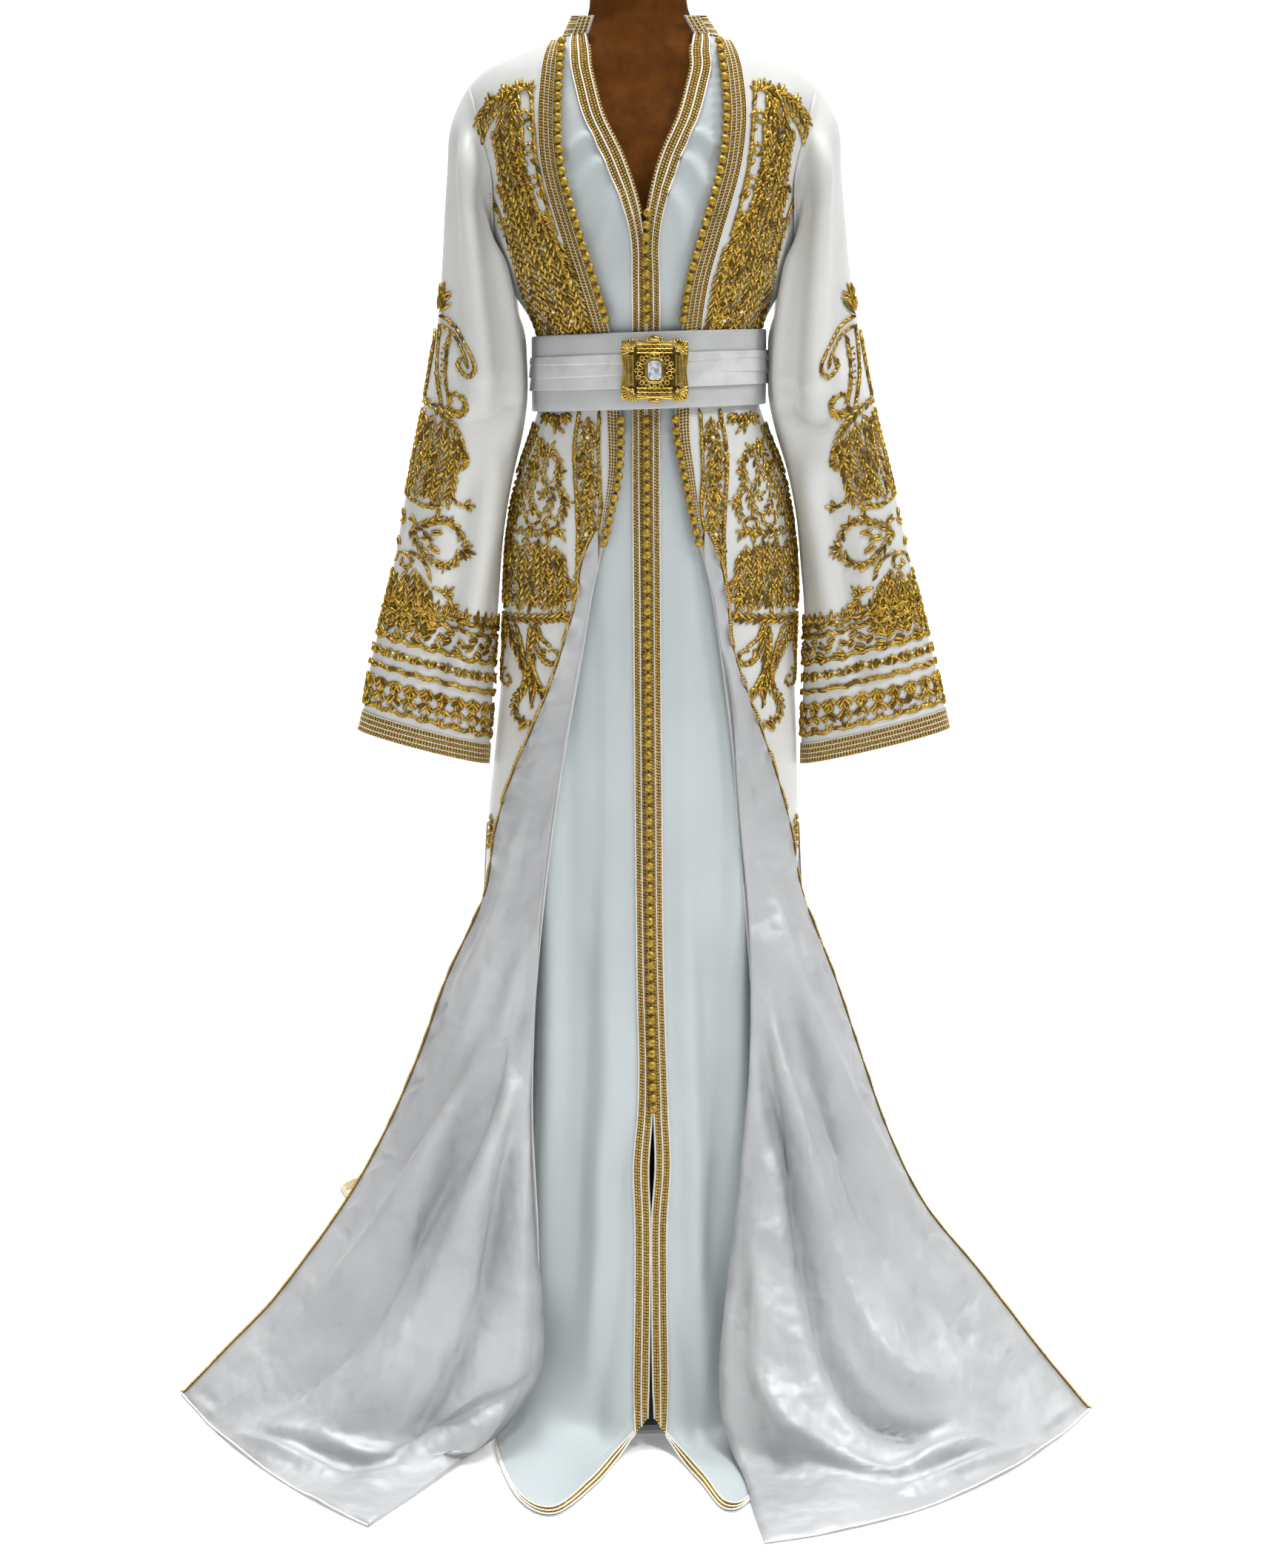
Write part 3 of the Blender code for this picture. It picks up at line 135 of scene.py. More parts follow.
class Train(NamedTuple):
    """The fold, belly and gold edge of a train."""

    fold: tuple[float, float, float]
    belly: tuple[float, float, float]
    gold: tuple[float, float, float]


class Trail(NamedTuple):
    """A section of the back train."""

    height: float
    left: float
    right: float
    edge_deep: float
    deep: float


class Ring(NamedTuple):
    """A ring of a sleeve."""

    outer_x: float
    outer_z: float
    inner_x: float
    inner_z: float
    deep: float
    centre: float


# The gap between two pieces that lie against each other.
SEAM = 0.0003

# How far each face of a dress lies outside the form's skin.
INNER_DRESS = 0.0030
OUTER_DRESS = 0.0070
TURNED_BACK = 0.0124

# Half the seam at each side, and the outer face of cloth that lies on the floor.
SIDE_GAP = 0.0005
LYING = 0.0020

# The gold cord on the edge of the lining: its radius, and how far it lies off the floor.
CORD_RADIUS = 0.0015
CORD_LIFT = 0.0005

# The angle of the side line, counted from the front.
SIDE_ANGLE = math.pi / 2

# The form from the top of its neck to below the hips.
FORM = (
    Level(1.500, -0.005, 0.0470, 0.036, 0.054),
    Level(1.462, -0.005, 0.0480, 0.037, 0.056),
    Level(1.440, -0.004, 0.0520, 0.039, 0.059),
    Level(1.426, -0.003, 0.0620, 0.043, 0.062),
    Level(1.414, -0.001, 0.0820, 0.047, 0.066),
    Level(1.400, 0.000, 0.1170, 0.053, 0.072),
    Level(1.384, 0.000, 0.1500, 0.060, 0.078),
    Level(1.366, 0.000, 0.1700, 0.068, 0.084),
    Level(1.335, 0.000, 0.1740, 0.081, 0.092),
    Level(1.295, 0.000, 0.1640, 0.094, 0.096),
    Level(1.215, 0.001, 0.1460, 0.106, 0.089),
    Level(1.175, 0.003, 0.1320, 0.100, 0.082),
    Level(1.135, 0.005, 0.1105, 0.085, 0.074),
    Level(1.100, 0.006, 0.1025, 0.079, 0.069),
    Level(1.065, 0.006, 0.1030, 0.079, 0.071),
    Level(1.030, 0.007, 0.1130, 0.083, 0.079),
    Level(0.985, 0.008, 0.1290, 0.089, 0.093),
    Level(0.940, 0.008, 0.1380, 0.092, 0.103),
    Level(0.870, 0.008, 0.1440, 0.093, 0.109),
    Level(0.800, 0.006, 0.1440, 0.090, 0.105),
)
FORM_SIDES = 20
PANEL_HEIGHTS = tuple(row.height for row in FORM[4:])

# How far the form's skin lies inside its line, at the shoulders and under the armholes.
FORM_EASE = (
    Ease(1.426, 0.0),
    Ease(1.412, 0.0015),
    Ease(1.395, 0.0020),
    Ease(1.370, 0.0070),
    Ease(1.215, 0.0070),
    Ease(1.175, 0.0010),
)

# Below the form each dress hangs by itself: the outer face of its cloth.
INNER_SKIRT = (
    Level(0.700, 0.004, 0.1480, 0.101, 0.116),
    Level(0.560, 0.001, 0.1490, 0.116, 0.126),
    Level(0.400, 0.000, 0.1510, 0.134, 0.140),
    Level(0.240, 0.000, 0.1540, 0.150, 0.152),
    Level(0.120, 0.000, 0.1570, 0.158, 0.160),
    Level(0.000, 0.000, 0.1600, 0.162, 0.166),
)
OUTER_SKIRT = (
    Level(0.700, 0.003, 0.1570, 0.108, 0.124),
    Level(0.620, 0.000, 0.1620, 0.117, 0.132),
    Level(0.500, -0.002, 0.1650, 0.138, 0.145),
    Level(0.400, 0.000, 0.1680, 0.158, 0.158),
    Level(0.300, 0.000, 0.1710, 0.172, 0.175),
    Level(0.200, 0.000, 0.1730, 0.182, 0.195),
    Level(0.100, 0.000, 0.1750, 0.188, 0.210),
    Level(0.000, 0.000, 0.1760, 0.190, 0.220),
)
# The height at which the slits at the sides start.
SLIT_TOP = 0.620

# The inner dress: its panels, its neckline and the line down its front.
INNER_TOP = 1.419
INNER_HEIGHTS = (INNER_TOP,) + PANEL_HEIGHTS + (0.660, 0.500, 0.345, 0.290, 0.240, 0.160, 0.062)
INNER_COLUMNS = 7
INNER_BACK_HEIGHTS = (INNER_TOP,) + PANEL_HEIGHTS + (0.620, 0.400, 0.180, LYING)
INNER_BACK_COLUMNS = 12
NECKLINE = (
    Neck(1.420, -0.003, 0.0530),
    Neck(1.400, -0.003, 0.0500),
    Neck(1.384, -0.002, 0.0495),
    Neck(1.355, -0.002, 0.0420),
    Neck(1.326, -0.002, 0.0337),
    Neck(1.292, -0.001, 0.0170),
    Neck(1.258, 0.001, 0.0008),
    Neck(1.130, 0.003, SEAM / 2),
    Neck(1.016, 0.003, SEAM / 2),
    Neck(0.871, 0.004, SEAM / 2),
    Neck(0.724, 0.005, SEAM / 2),
    Neck(0.500, 0.007, SEAM / 2),
    Neck(0.345, 0.010, SEAM / 2),
    Neck(0.290, 0.009, 0.0025),
    Neck(0.240, 0.008, SEAM / 2),
    Neck(0.100, 0.008, SEAM / 2),
    Neck(0.060, 0.008, 0.0014),
)

# The braid beside the neckline, the buttons and the slit, and round the hem.
INNER_BRAID = (
    Strip(1.400, 0.0210),
    Strip(1.290, 0.0210),
    Strip(1.240, 0.0140),
    Strip(0.500, 0.0140),
    Strip(0.300, 0.0170),
)
HEM_BRAID = 0.0170

# The stand collar: its cells, its upper edge and how far it stands off the neck.
COLLAR_COLUMNS = 16
COLLAR_TOP = 1.441
COLLAR_DIP = 0.006
COLLAR_STAND_OFF = 0.0150
COLLAR_HALF_OPEN = 0.051
COLLAR_SEAM = 0.0005

# The ball buttons, sewn side by side on a cord.
BUTTON_TOP = 1.243
BUTTON_BOTTOM = 0.345
OUTER_BUTTON_TOP = 1.408
OUTER_BUTTON_BOTTOM = 0.912
INNER_PITCH = 0.0110
OUTER_PITCH = 0.0104
BUTTON_WIDTH = 0.0090
BUTTON_PAST_EDGE = 0.001

# The hem of the inner dress on the floor, from the front line out to the side.
FIRST_FOOT = 0.14
FLOOR_STEPS = (0.40, 0.74)
CORNER_REACH = 0.30
HEM_LEFT = (
    Foot(0.00, 0.0052, -0.1620, 0.0340),
    Foot(0.14, -0.0085, -0.1700, 0.0180),
    Foot(0.30, -0.0283, -0.2030, 0.0018),
    Foot(0.46, -0.0570, -0.2870, 0.0018),
    Foot(0.60, -0.0930, -0.341, 0.0018),
    Foot(0.74, -0.1240, -0.290, 0.0018),
    Foot(0.87, -0.1480, -0.170, 0.0018),
    Foot(1.00, -0.1590, -0.002, 0.0018),
)
HEM_RIGHT = (
    Foot(0.00, 0.0114, -0.1620, 0.0340),
    Foot(0.14, 0.0240, -0.1700, 0.0160),
    Foot(0.30, 0.0430, -0.2130, 0.0018),
    Foot(0.46, 0.0620, -0.2720, 0.0018),
    Foot(0.60, 0.0830, -0.328, 0.0018),
    Foot(0.74, 0.1050, -0.300, 0.0018),
    Foot(0.87, 0.1330, -0.180, 0.0018),
    Foot(1.00, 0.1590, -0.002, 0.0018),
)

# The outer dress: its panels, and how far its hidden front reaches round the side.
OUTER_HEIGHTS = PANEL_HEIGHTS + (0.710, 0.620, 0.540, 0.440, 0.340, 0.230, 0.110)
OUTER_COLUMNS = 11
BAND_COLUMNS = 3
BACK_COLUMNS = 12
HIDDEN_SIDE = (
    Hidden(0.620, 90.0),
    Hidden(0.500, 85.0),
    Hidden(0.400, 78.0),
    Hidden(0.300, 70.0),
    Hidden(0.200, 61.0),
    Hidden(0.110, 50.0),
)
BAND = (
    Strip(1.414, 0.0240),
    Strip(1.330, 0.0280),
    Strip(1.045, 0.0260),
    Strip(0.988, 0.0230),
    Strip(0.890, 0.0120),
)
BAND_SHARE = 0.60

# The front edge of the outer dress, then the line on which it is turned back.
FRONT_EDGE = (
    Edge(1.414, -0.0790, 0.0740),
    Edge(1.373, -0.0826, 0.0804),
    Edge(1.330, -0.0835, 0.0820),
    Edge(1.290, -0.0808, 0.0772),
    Edge(1.255, -0.0730, 0.0665),
    Edge(1.215, -0.0600, 0.0560),
    Edge(1.175, -0.0472, 0.0450),
    Edge(1.135, -0.0350, 0.0390),
    Edge(1.100, -0.0270, 0.0360),
    Edge(1.045, -0.0218, 0.0319),
    Edge(0.988, -0.0240, 0.0405),
    Edge(0.951, -0.0313, 0.0480),
    Edge(0.915, -0.0400, 0.0560),
    Edge(0.870, -0.0500, 0.0680),
    Edge(0.810, -0.0600, 0.0770),
    Edge(0.750, -0.0710, 0.0870),
    Edge(0.670, -0.0850, 0.0930),
    Edge(0.600, -0.0945, 0.0984),
    Edge(0.510, -0.1047, 0.1067),
    Edge(0.420, -0.1111, 0.1110),
    Edge(0.340, -0.1126, 0.1060),
    Edge(0.260, -0.1090, 0.0970),
    Edge(0.160, -0.1040, 0.0830),
    Edge(0.090, -0.1060, 0.0800),
)
# The gold edge of the turned back part while it still lies on the dress.
GOLD_EDGE = (
    Edge(0.900, -0.0580, 0.0740),
    Edge(0.870, -0.0620, 0.0800),
    Edge(0.810, -0.0784, 0.0872),
    Edge(0.750, -0.0985, 0.1078),
    Edge(0.686, -0.1267, 0.1297),
    Edge(0.623, -0.1459, 0.1468),
    Edge(0.560, -0.1560, 0.1580),
)
TURN_HEIGHTS = (0.900, 0.865, 0.820, 0.770, 0.720, 0.670, 0.620, 0.560)
TURN_COLUMNS = 10

# The trains: the fold (or slit edge), the belly between, and the gold edge.
# Their ripples stand out from the cloth that hangs and up from the cloth that lies.
TRAIN_RIPPLES = 2.5
TRAIN_RIPPLE_DEPTH = 0.012
TRAIN_RISES_FROM = 0.120
TRAIN_LEAN = 0.60
TRAIN_FADE_IN = 4
TRAIN_FADE_OUT = 5
TRAIN_LEFT = (
    Train((-0.1075, -0.121, 0.475), (-0.160, -0.112, 0.470), (-0.2028, -0.046, 0.465)),
    Train((-0.1130, -0.132, 0.385), (-0.180, -0.120, 0.385), (-0.2318, -0.040, 0.385)),
    Train((-0.1140, -0.142, 0.300), (-0.203, -0.134, 0.300), (-0.2669, -0.034, 0.304)),
    Train((-0.1085, -0.149, 0.215), (-0.228, -0.150, 0.205), (-0.3100, -0.026, 0.225)),
    Train((-0.1010, -0.155, 0.145), (-0.252, -0.172, 0.120), (-0.3600, -0.018, 0.152)),
    Train((-0.1030, -0.160, 0.085), (-0.276, -0.192, 0.055), (-0.4036, -0.014, 0.096)),
    Train((-0.1215, -0.165, 0.048), (-0.300, -0.204, 0.022), (-0.4420, -0.011, 0.056)),
    Train((-0.1500, -0.172, 0.016), (-0.322, -0.212, 0.006), (-0.4680, -0.009, 0.028)),
    Train((-0.1850, -0.215, 0.006), (-0.343, -0.218, 0.002), (-0.4850, -0.007, 0.010)),
    Train((-0.2230, -0.288, 0.003), (-0.365, -0.222, 0.002), (-0.4920, -0.006, 0.003)),
    Train((-0.2610, -0.363, 0.002), (-0.388, -0.206, 0.002), (-0.4960, -0.005, 0.002)),
)
TRAIN_RIGHT = (
    Train((0.1085, -0.121, 0.475), (0.160, -0.112, 0.470), (0.1988, -0.046, 0.465)),
    Train((0.1070, -0.132, 0.385), (0.178, -0.122, 0.385), (0.2259, -0.040, 0.385)),
    Train((0.0990, -0.146, 0.300), (0.198, -0.138, 0.300), (0.2560, -0.034, 0.300)),
    Train((0.0895, -0.160, 0.215), (0.220, -0.158, 0.205), (0.2980, -0.030, 0.216)),
    Train((0.0810, -0.172, 0.142), (0.244, -0.184, 0.120), (0.3560, -0.026, 0.143)),
    Train((0.0765, -0.184, 0.090), (0.262, -0.208, 0.055), (0.3950, -0.028, 0.092)),
    Train((0.0790, -0.194, 0.048), (0.276, -0.228, 0.022), (0.4260, -0.031, 0.052)),
    Train((0.0890, -0.214, 0.018), (0.288, -0.246, 0.006), (0.4480, -0.036, 0.026)),
    Train((0.1000, -0.258, 0.008), (0.298, -0.262, 0.002), (0.4620, -0.042, 0.010)),
    Train((0.1060, -0.330, 0.003), (0.306, -0.276, 0.002), (0.4690, -0.048, 0.003)),
    Train((0.1140, -0.402, 0.002), (0.312, -0.284, 0.002), (0.4720, -0.054, 0.002)),
)

# The back of the outer dress below the slits, out to the hem of its train.
BACK_TRAIL = (
    Trail(0.5400, 0.1670, 0.1670, 0.026, 0.141),
    Trail(0.4300, 0.1755, 0.1755, 0.051, 0.160),
    Trail(0.3200, 0.1865, 0.1860, 0.076, 0.185),
    Trail(0.2200, 0.1995, 0.1980, 0.103, 0.218),
    Trail(0.1300, 0.2180, 0.2130, 0.137, 0.268),
    Trail(0.0600, 0.2420, 0.2320, 0.185, 0.340),
    Trail(0.0180, 0.2720, 0.2560, 0.255, 0.432),
    Trail(0.0045, 0.3080, 0.2820, 0.360, 0.550),
    Trail(0.0020, 0.3440, 0.3070, 0.500, 0.690),
    Trail(0.0020, 0.3990, 0.3400, 0.745, 0.905),
    Trail(0.0020, 0.4060, 0.3450, 0.768, 0.928),
)
BACK_FOLDS = 4
BACK_FOLD_DEPTH = 0.012
BACK_RISES_FROM = 0.080
BACK_FADE = 4
NARROW_END = 0.35

# The armhole, seen from the side, and the sleeves.
ARMHOLE_TOP = 1.366
ARMHOLE_BOTTOM = 1.215
ARMHOLE_DEEP = 0.042
SLEEVE_SIDES = 12
SLEEVE_ROWS = 13
SLEEVE_START = 0.0020
SLEEVE_CLEAR = 0.0125
SLEEVE_LEFT = (
    Ring(-0.1930, 1.336, -0.1340, 1.192, 0.046, -0.004),
    Ring(-0.1990, 1.270, -0.1240, 1.150, 0.048, -0.008),
    Ring(-0.2030, 1.205, -0.1180, 1.105, 0.048, -0.012),
    Ring(-0.2090, 1.135, -0.1180, 1.060, 0.047, -0.014),
    Ring(-0.2210, 1.066, -0.1240, 1.015, 0.045, -0.016),
    Ring(-0.2350, 0.996, -0.1340, 0.955, 0.043, -0.018),
    Ring(-0.2490, 0.928, -0.1430, 0.893, 0.038, -0.018),
    Ring(-0.2620, 0.862, -0.1500, 0.830, 0.035, -0.018),
    Ring(-0.2780, 0.802, -0.1540, 0.770, 0.032, -0.018),
    Ring(-0.2885, 0.742, -0.1580, 0.707, 0.030, -0.018),
    Ring(-0.2940, 0.721, -0.1595, 0.686, 0.030, -0.018),
)
SLEEVE_RIGHT = (
    Ring(0.1960, 1.336, 0.1400, 1.192, 0.046, -0.004),
    Ring(0.2020, 1.270, 0.1310, 1.150, 0.048, -0.008),
    Ring(0.2080, 1.205, 0.1270, 1.105, 0.048, -0.012),
    Ring(0.2180, 1.135, 0.1280, 1.060, 0.047, -0.014),
    Ring(0.2320, 1.066, 0.1380, 1.015, 0.045, -0.016),
    Ring(0.2490, 0.996, 0.1500, 0.955, 0.043, -0.018),
    Ring(0.2660, 0.928, 0.1610, 0.893, 0.038, -0.018),
    Ring(0.2810, 0.862, 0.1660, 0.830, 0.035, -0.018),
    Ring(0.2980, 0.802, 0.1650, 0.770, 0.032, -0.018),
    Ring(0.3120, 0.744, 0.1640, 0.707, 0.030, -0.018),
    Ring(0.3170, 0.723, 0.1640, 0.686, 0.030, -0.018),
)

# The belt: a leather band, a pleated sash round its middle, and the buckle.
BELT_HEIGHT = 0.076
BELT_MIDDLE = 1.0885
BELT_TILT = 0.032
BELT_CENTRE = 0.006
BELT_HALF = 0.1174
BELT_FRONT = 0.0936
BELT_BACK = 0.0848
BELT_WALL = 0.0025
BELT_CLEAR = 0.0465
SASH_HEIGHT = 0.034
SASH_WALL = 0.0012
PLEAT_RISE = 0.0009
BUCKLE_PLACE = (0.0115, 1.0885)
STONE_SIZE = (0.0150, 0.0210)
STONE_CUT = 0.0030


def harmonic(before: float, after: float) -> float:
    """The slope at a row that keeps a curve between its rows.

    Args:
        before: The slope before the row.
        after: The slope after it.

    Returns:
        The slope at the row.
    """
    if before * after <= 0:
        return 0.0
    return 2 * before * after / (before + after)


def curve_through(keys: Sequence[float], values: Sequence[float], at: float) -> float:
    """Reads a smooth curve through keys and values, with no overshoot.

    Args:
        keys: The places of the rows, rising or falling.
        values: The value at each row.
        at: The place that is read.

    Returns:
        The value there.
    """
    last = len(keys) - 1
    rising = keys[last] > keys[0]
    if (at <= keys[0]) == rising:
        return values[0]
    if (at >= keys[last]) == rising:
        return values[last]
    step = 0
    while (keys[step + 1] < at) == rising and keys[step + 1] != at:
        step += 1
    widths = [keys[i + 1] - keys[i] for i in range(last)]
    rates = [(values[i + 1] - values[i]) / widths[i] for i in range(last)]

    def tangent(row: int) -> float:
        """The slope at a row."""
        if row == 0:
            return rates[0]
        if row == last:
            return rates[-1]
        return harmonic(rates[row - 1], rates[row])

    share = (at - keys[step]) / widths[step]
    start, end = values[step], values[step + 1]
    pull_start = tangent(step) * widths[step]
    pull_end = tangent(step + 1) * widths[step]
    return (
        start * (2 * share**3 - 3 * share**2 + 1)
        + pull_start * (share**3 - 2 * share**2 + share)
        + end * (3 * share**2 - 2 * share**3)
        + pull_end * (share**3 - share**2)
    )


def read(table: Sequence[NamedTuple], column: str, key: str, at: float) -> float:
    """Reads one named column of a table at a value of its key column.

    Args:
        table: The rows.
        column: The name of the column that is read.
        key: The name of the column that places the rows.
        at: The place that is read.

    Returns:
        The value there.
    """
    keys = [getattr(row, key) for row in table]
    values = [getattr(row, column) for row in table]
    return curve_through(keys, values, at)


def lean(column: str, row: int) -> float:
    """How much wider than its thickness a sloping layer is, measured level.

    Args:
        column: The depth or width of the form that slopes.
        row: The row of the form.

    Returns:
        The factor.
    """
    above, below = FORM[max(row - 1, 0)], FORM[min(row + 1, len(FORM) - 1)]
    run = getattr(below, column) - getattr(above, column)
    return math.hypot(1.0, run / (above.height - below.height))


def dress_levels(out: float, skirt: tuple[Level, ...]) -> tuple[Level, ...]:
    """The outer face of a dress: the form moved out, then its own skirt.

    Args:
        out: How far the outer face lies off the form.
        skirt: The levels below the form.

    Returns:
        All levels of the dress.
    """
    worn = []
    for index, row in enumerate(FORM):
        half = row.half + out * lean("half", index)
        front = row.front + out * lean("front", index)
        back = row.back + out * lean("back", index)
        worn.append(Level(row.height, row.centre, half, front, back))
    return tuple(worn) + skirt


INNER_LEVELS = dress_levels(INNER_DRESS, INNER_SKIRT)
OUTER_LEVELS = dress_levels(OUTER_DRESS, OUTER_SKIRT)


def on_body(levels: Sequence[Level], height: float, angle: float, out: float = 0.0) -> Vector:
    """A point of a dress: angle 0 is the front, plus 90 degrees the side at +X.

    Args:
        levels: The levels of the dress or the form.
        height: The height of the point.
        angle: The angle round the body.
        out: How much further out it lies.

    Returns:
        The point.
    """
    half = read(levels, "half", "height", height) + out
    facing = "front" if math.cos(angle) > 0 else "back"
    deep = read(levels, facing, "height", height) + out
    centre = read(levels, "centre", "height", height)
    return Vector((centre + half * math.sin(angle), -deep * math.cos(angle), height))


def angle_at(levels: Sequence[Level], height: float, across: float) -> float:
    """The angle at which a front section passes a given x.

    Args:
        levels: The levels of the dress.
        height: The height of the section.
        across: The x.

    Returns:
        The angle.
    """
    half = read(levels, "half", "height", height)
    centre = read(levels, "centre", "height", height)
    return math.asin(max(-1.0, min(1.0, (across - centre) / half)))


def turn_for(levels: Sequence[Level], height: float, angle: float, distance: float) -> float:
    """The angle that a distance along the section takes.

    Args:
        levels: The levels of the dress.
        height: The height of the section.
        angle: The angle where the distance starts.
        distance: The distance along the cloth.

    Returns:
        The angle.
    """
    half = read(levels, "half", "height", height)
    front = read(levels, "front", "height", height)
    return distance / math.hypot(half * math.cos(angle), front * math.sin(angle))


def side_turn(levels: Sequence[Level], height: float) -> float:
    """How far a panel ends before the side line: a seam's gap, or the armhole."""
    gap = turn_for(levels, height, SIDE_ANGLE, SIDE_GAP)
    return max(gap, armhole_turn(levels, height))


def armhole_turn(levels: Sequence[Level], height: float) -> float:
    """How far the armhole cuts into a panel at this height, as an angle.

    Args:
        levels: The levels of the dress.
        height: The height of the section.

    Returns:
        The angle, or none above and below the armhole.
    """
    middle = (ARMHOLE_TOP + ARMHOLE_BOTTOM) / 2
    reach = (height - middle) / (ARMHOLE_TOP - ARMHOLE_BOTTOM) * 2
    if abs(reach) >= 1:
        return 0.0
    front = read(levels, "front", "height", height)
    return math.asin(ARMHOLE_DEEP * math.sqrt(1 - reach * reach) / front)


def outer_front(side: str) -> Grid:
    """The outer front from the shoulder to behind the turned back part.

    Args:
        side: Left or right, seen from the front.

    Returns:
        The panel's points.
    """
    sign = -1 if side == "left" else 1
    grid = []
    for height in OUTER_HEIGHTS:
        start = sign * angle_at(OUTER_LEVELS, height, read(FRONT_EDGE, side, "height", height))
        side_angle = math.radians(read(HIDDEN_SIDE, "turn", "height", height))
        end = side_angle - side_turn(OUTER_LEVELS, height)
        band = turn_for(OUTER_LEVELS, height, start, read(BAND, "width", "height", height))
        band = min(band, (end - start) * BAND_SHARE)
        line = []
        for column in range(OUTER_COLUMNS + 1):
            if column <= BAND_COLUMNS:
                angle = start + band * column / BAND_COLUMNS
            else:
                share = (column - BAND_COLUMNS) / (OUTER_COLUMNS - BAND_COLUMNS)
                angle = start + band + (end - start - band) * share
            line.append(on_body(OUTER_LEVELS, height, sign * angle))
        grid.append(line if side == "right" else line[::-1])
    return grid


def turned_back(side: str) -> Grid:
    """The front's free part, turned back with its lining out, down to the train's hem.

    Args:
        side: Left or right, seen from the front.

    Returns:
        The panel's points.
    """
    out = TURNED_BACK - OUTER_DRESS
    grid = []
    for height in TURN_HEIGHTS:
        start = angle_at(OUTER_LEVELS, height, read(FRONT_EDGE, side, "height", height))
        end = angle_at(OUTER_LEVELS, height, read(GOLD_EDGE, side, "height", height))
        line = []
        for column in range(TURN_COLUMNS + 1):
            angle = start + (end - start) * column / TURN_COLUMNS
            line.append(on_body(OUTER_LEVELS, height, angle, out))
        grid.append(line)
    train = TRAIN_LEFT if side == "left" else TRAIN_RIGHT
    for row, rail in enumerate(train):
        fade = min(1.0, (row + 1) / TRAIN_FADE_IN, (len(train) - row) / TRAIN_FADE_OUT)
        grid.append(train_line(rail, fade))
    return grid if side == "right" else [line[::-1] for line in grid]


def train_line(rail: Train, fade: float) -> list[Vector]:
    """One section of a train: an arc from the fold over the belly to the gold edge.

    Args:
        rail: The three points that the section passes.
        fade: How much of the ripples it shows.

    Returns:
        The points of the section.
    """
    fold, belly, gold = Vector(rail.fold), Vector(rail.belly), Vector(rail.gold)
    line = []
    for column in range(TURN_COLUMNS + 1):
        t = column / TURN_COLUMNS
        point = fold * (1 - t) * (1 - 2 * t) + belly * 4 * t * (1 - t) + gold * t * (2 * t - 1)
        wave = 0.5 - 0.5 * math.cos(2 * math.pi * TRAIN_RIPPLES * t)
        swell = TRAIN_RIPPLE_DEPTH * fade * wave * math.sqrt(math.sin(math.pi * t))
        hangs = max(0.0, min(1.0, point.z / TRAIN_RISES_FROM))
        point += Vector((0.0, -hangs, 1.0 - hangs * TRAIN_LEAN)) * swell
        point.z = max(point.z, LYING)
        line.append(point)
    return line


def outer_back() -> Grid:
    """The outer back from the shoulders to the hem of its train.

    Returns:
        The panel's points.
    """
    grid = []
    for height in OUTER_HEIGHTS:
        if height < SLIT_TOP:
            break
        start = SIDE_ANGLE + side_turn(OUTER_LEVELS, height)
        line = []
        for column in range(BACK_COLUMNS + 1):
            share = even_with_narrow_ends(column, BACK_COLUMNS)
            angle = start + (2 * math.pi - 2 * start) * share
            line.append(on_body(OUTER_LEVELS, height, angle))
        grid.append(line)
    for row, trail in enumerate(BACK_TRAIL):
        fade = min(1.0, (row + 1) / BACK_FADE, (len(BACK_TRAIL) - 1 - row) / BACK_FADE)
        grid.append(trail_line(trail, fade))
    return grid


def trail_line(trail: Trail, fade: float) -> list[Vector]:
    """One section of the back below the slits, with its folds.

    Args:
        trail: The size of the section.
        fade: How much of the folds it shows.

    Returns:
        The points of the section.
    """
    line = []
    for column in range(BACK_COLUMNS + 1):
        angle = SIDE_ANGLE + math.pi * even_with_narrow_ends(column, BACK_COLUMNS)
        width = trail.right if math.sin(angle) > 0 else trail.left
        point = Vector((width * math.sin(angle), trail.edge_deep, trail.height))
        point.y -= (trail.deep - trail.edge_deep) * math.cos(angle)
        wave = 0.5 + 0.5 * math.cos(2 * BACK_FOLDS * (angle - math.pi))
        swell = BACK_FOLD_DEPTH * fade * wave * math.cos(angle) ** 2
        hangs = max(0.0, min(1.0, point.z / BACK_RISES_FROM))
        point += Vector((math.sin(angle) * hangs, -math.cos(angle) * hangs, 1 - hangs)) * swell
        line.append(point)
    return line


def even_with_narrow_ends(column: int, columns: int) -> float:
    """Even shares with a narrow first and last cell for the edge braid.

    Args:
        column: The column that is placed.
        columns: The number of cells.

    Returns:
        The share of the way across.
    """
    narrow = NARROW_END / columns
    if column == 0:
        return 0.0
    if column == columns:
        return 1.0
    return narrow + (1 - 2 * narrow) * (column - 1) / (columns - 2)


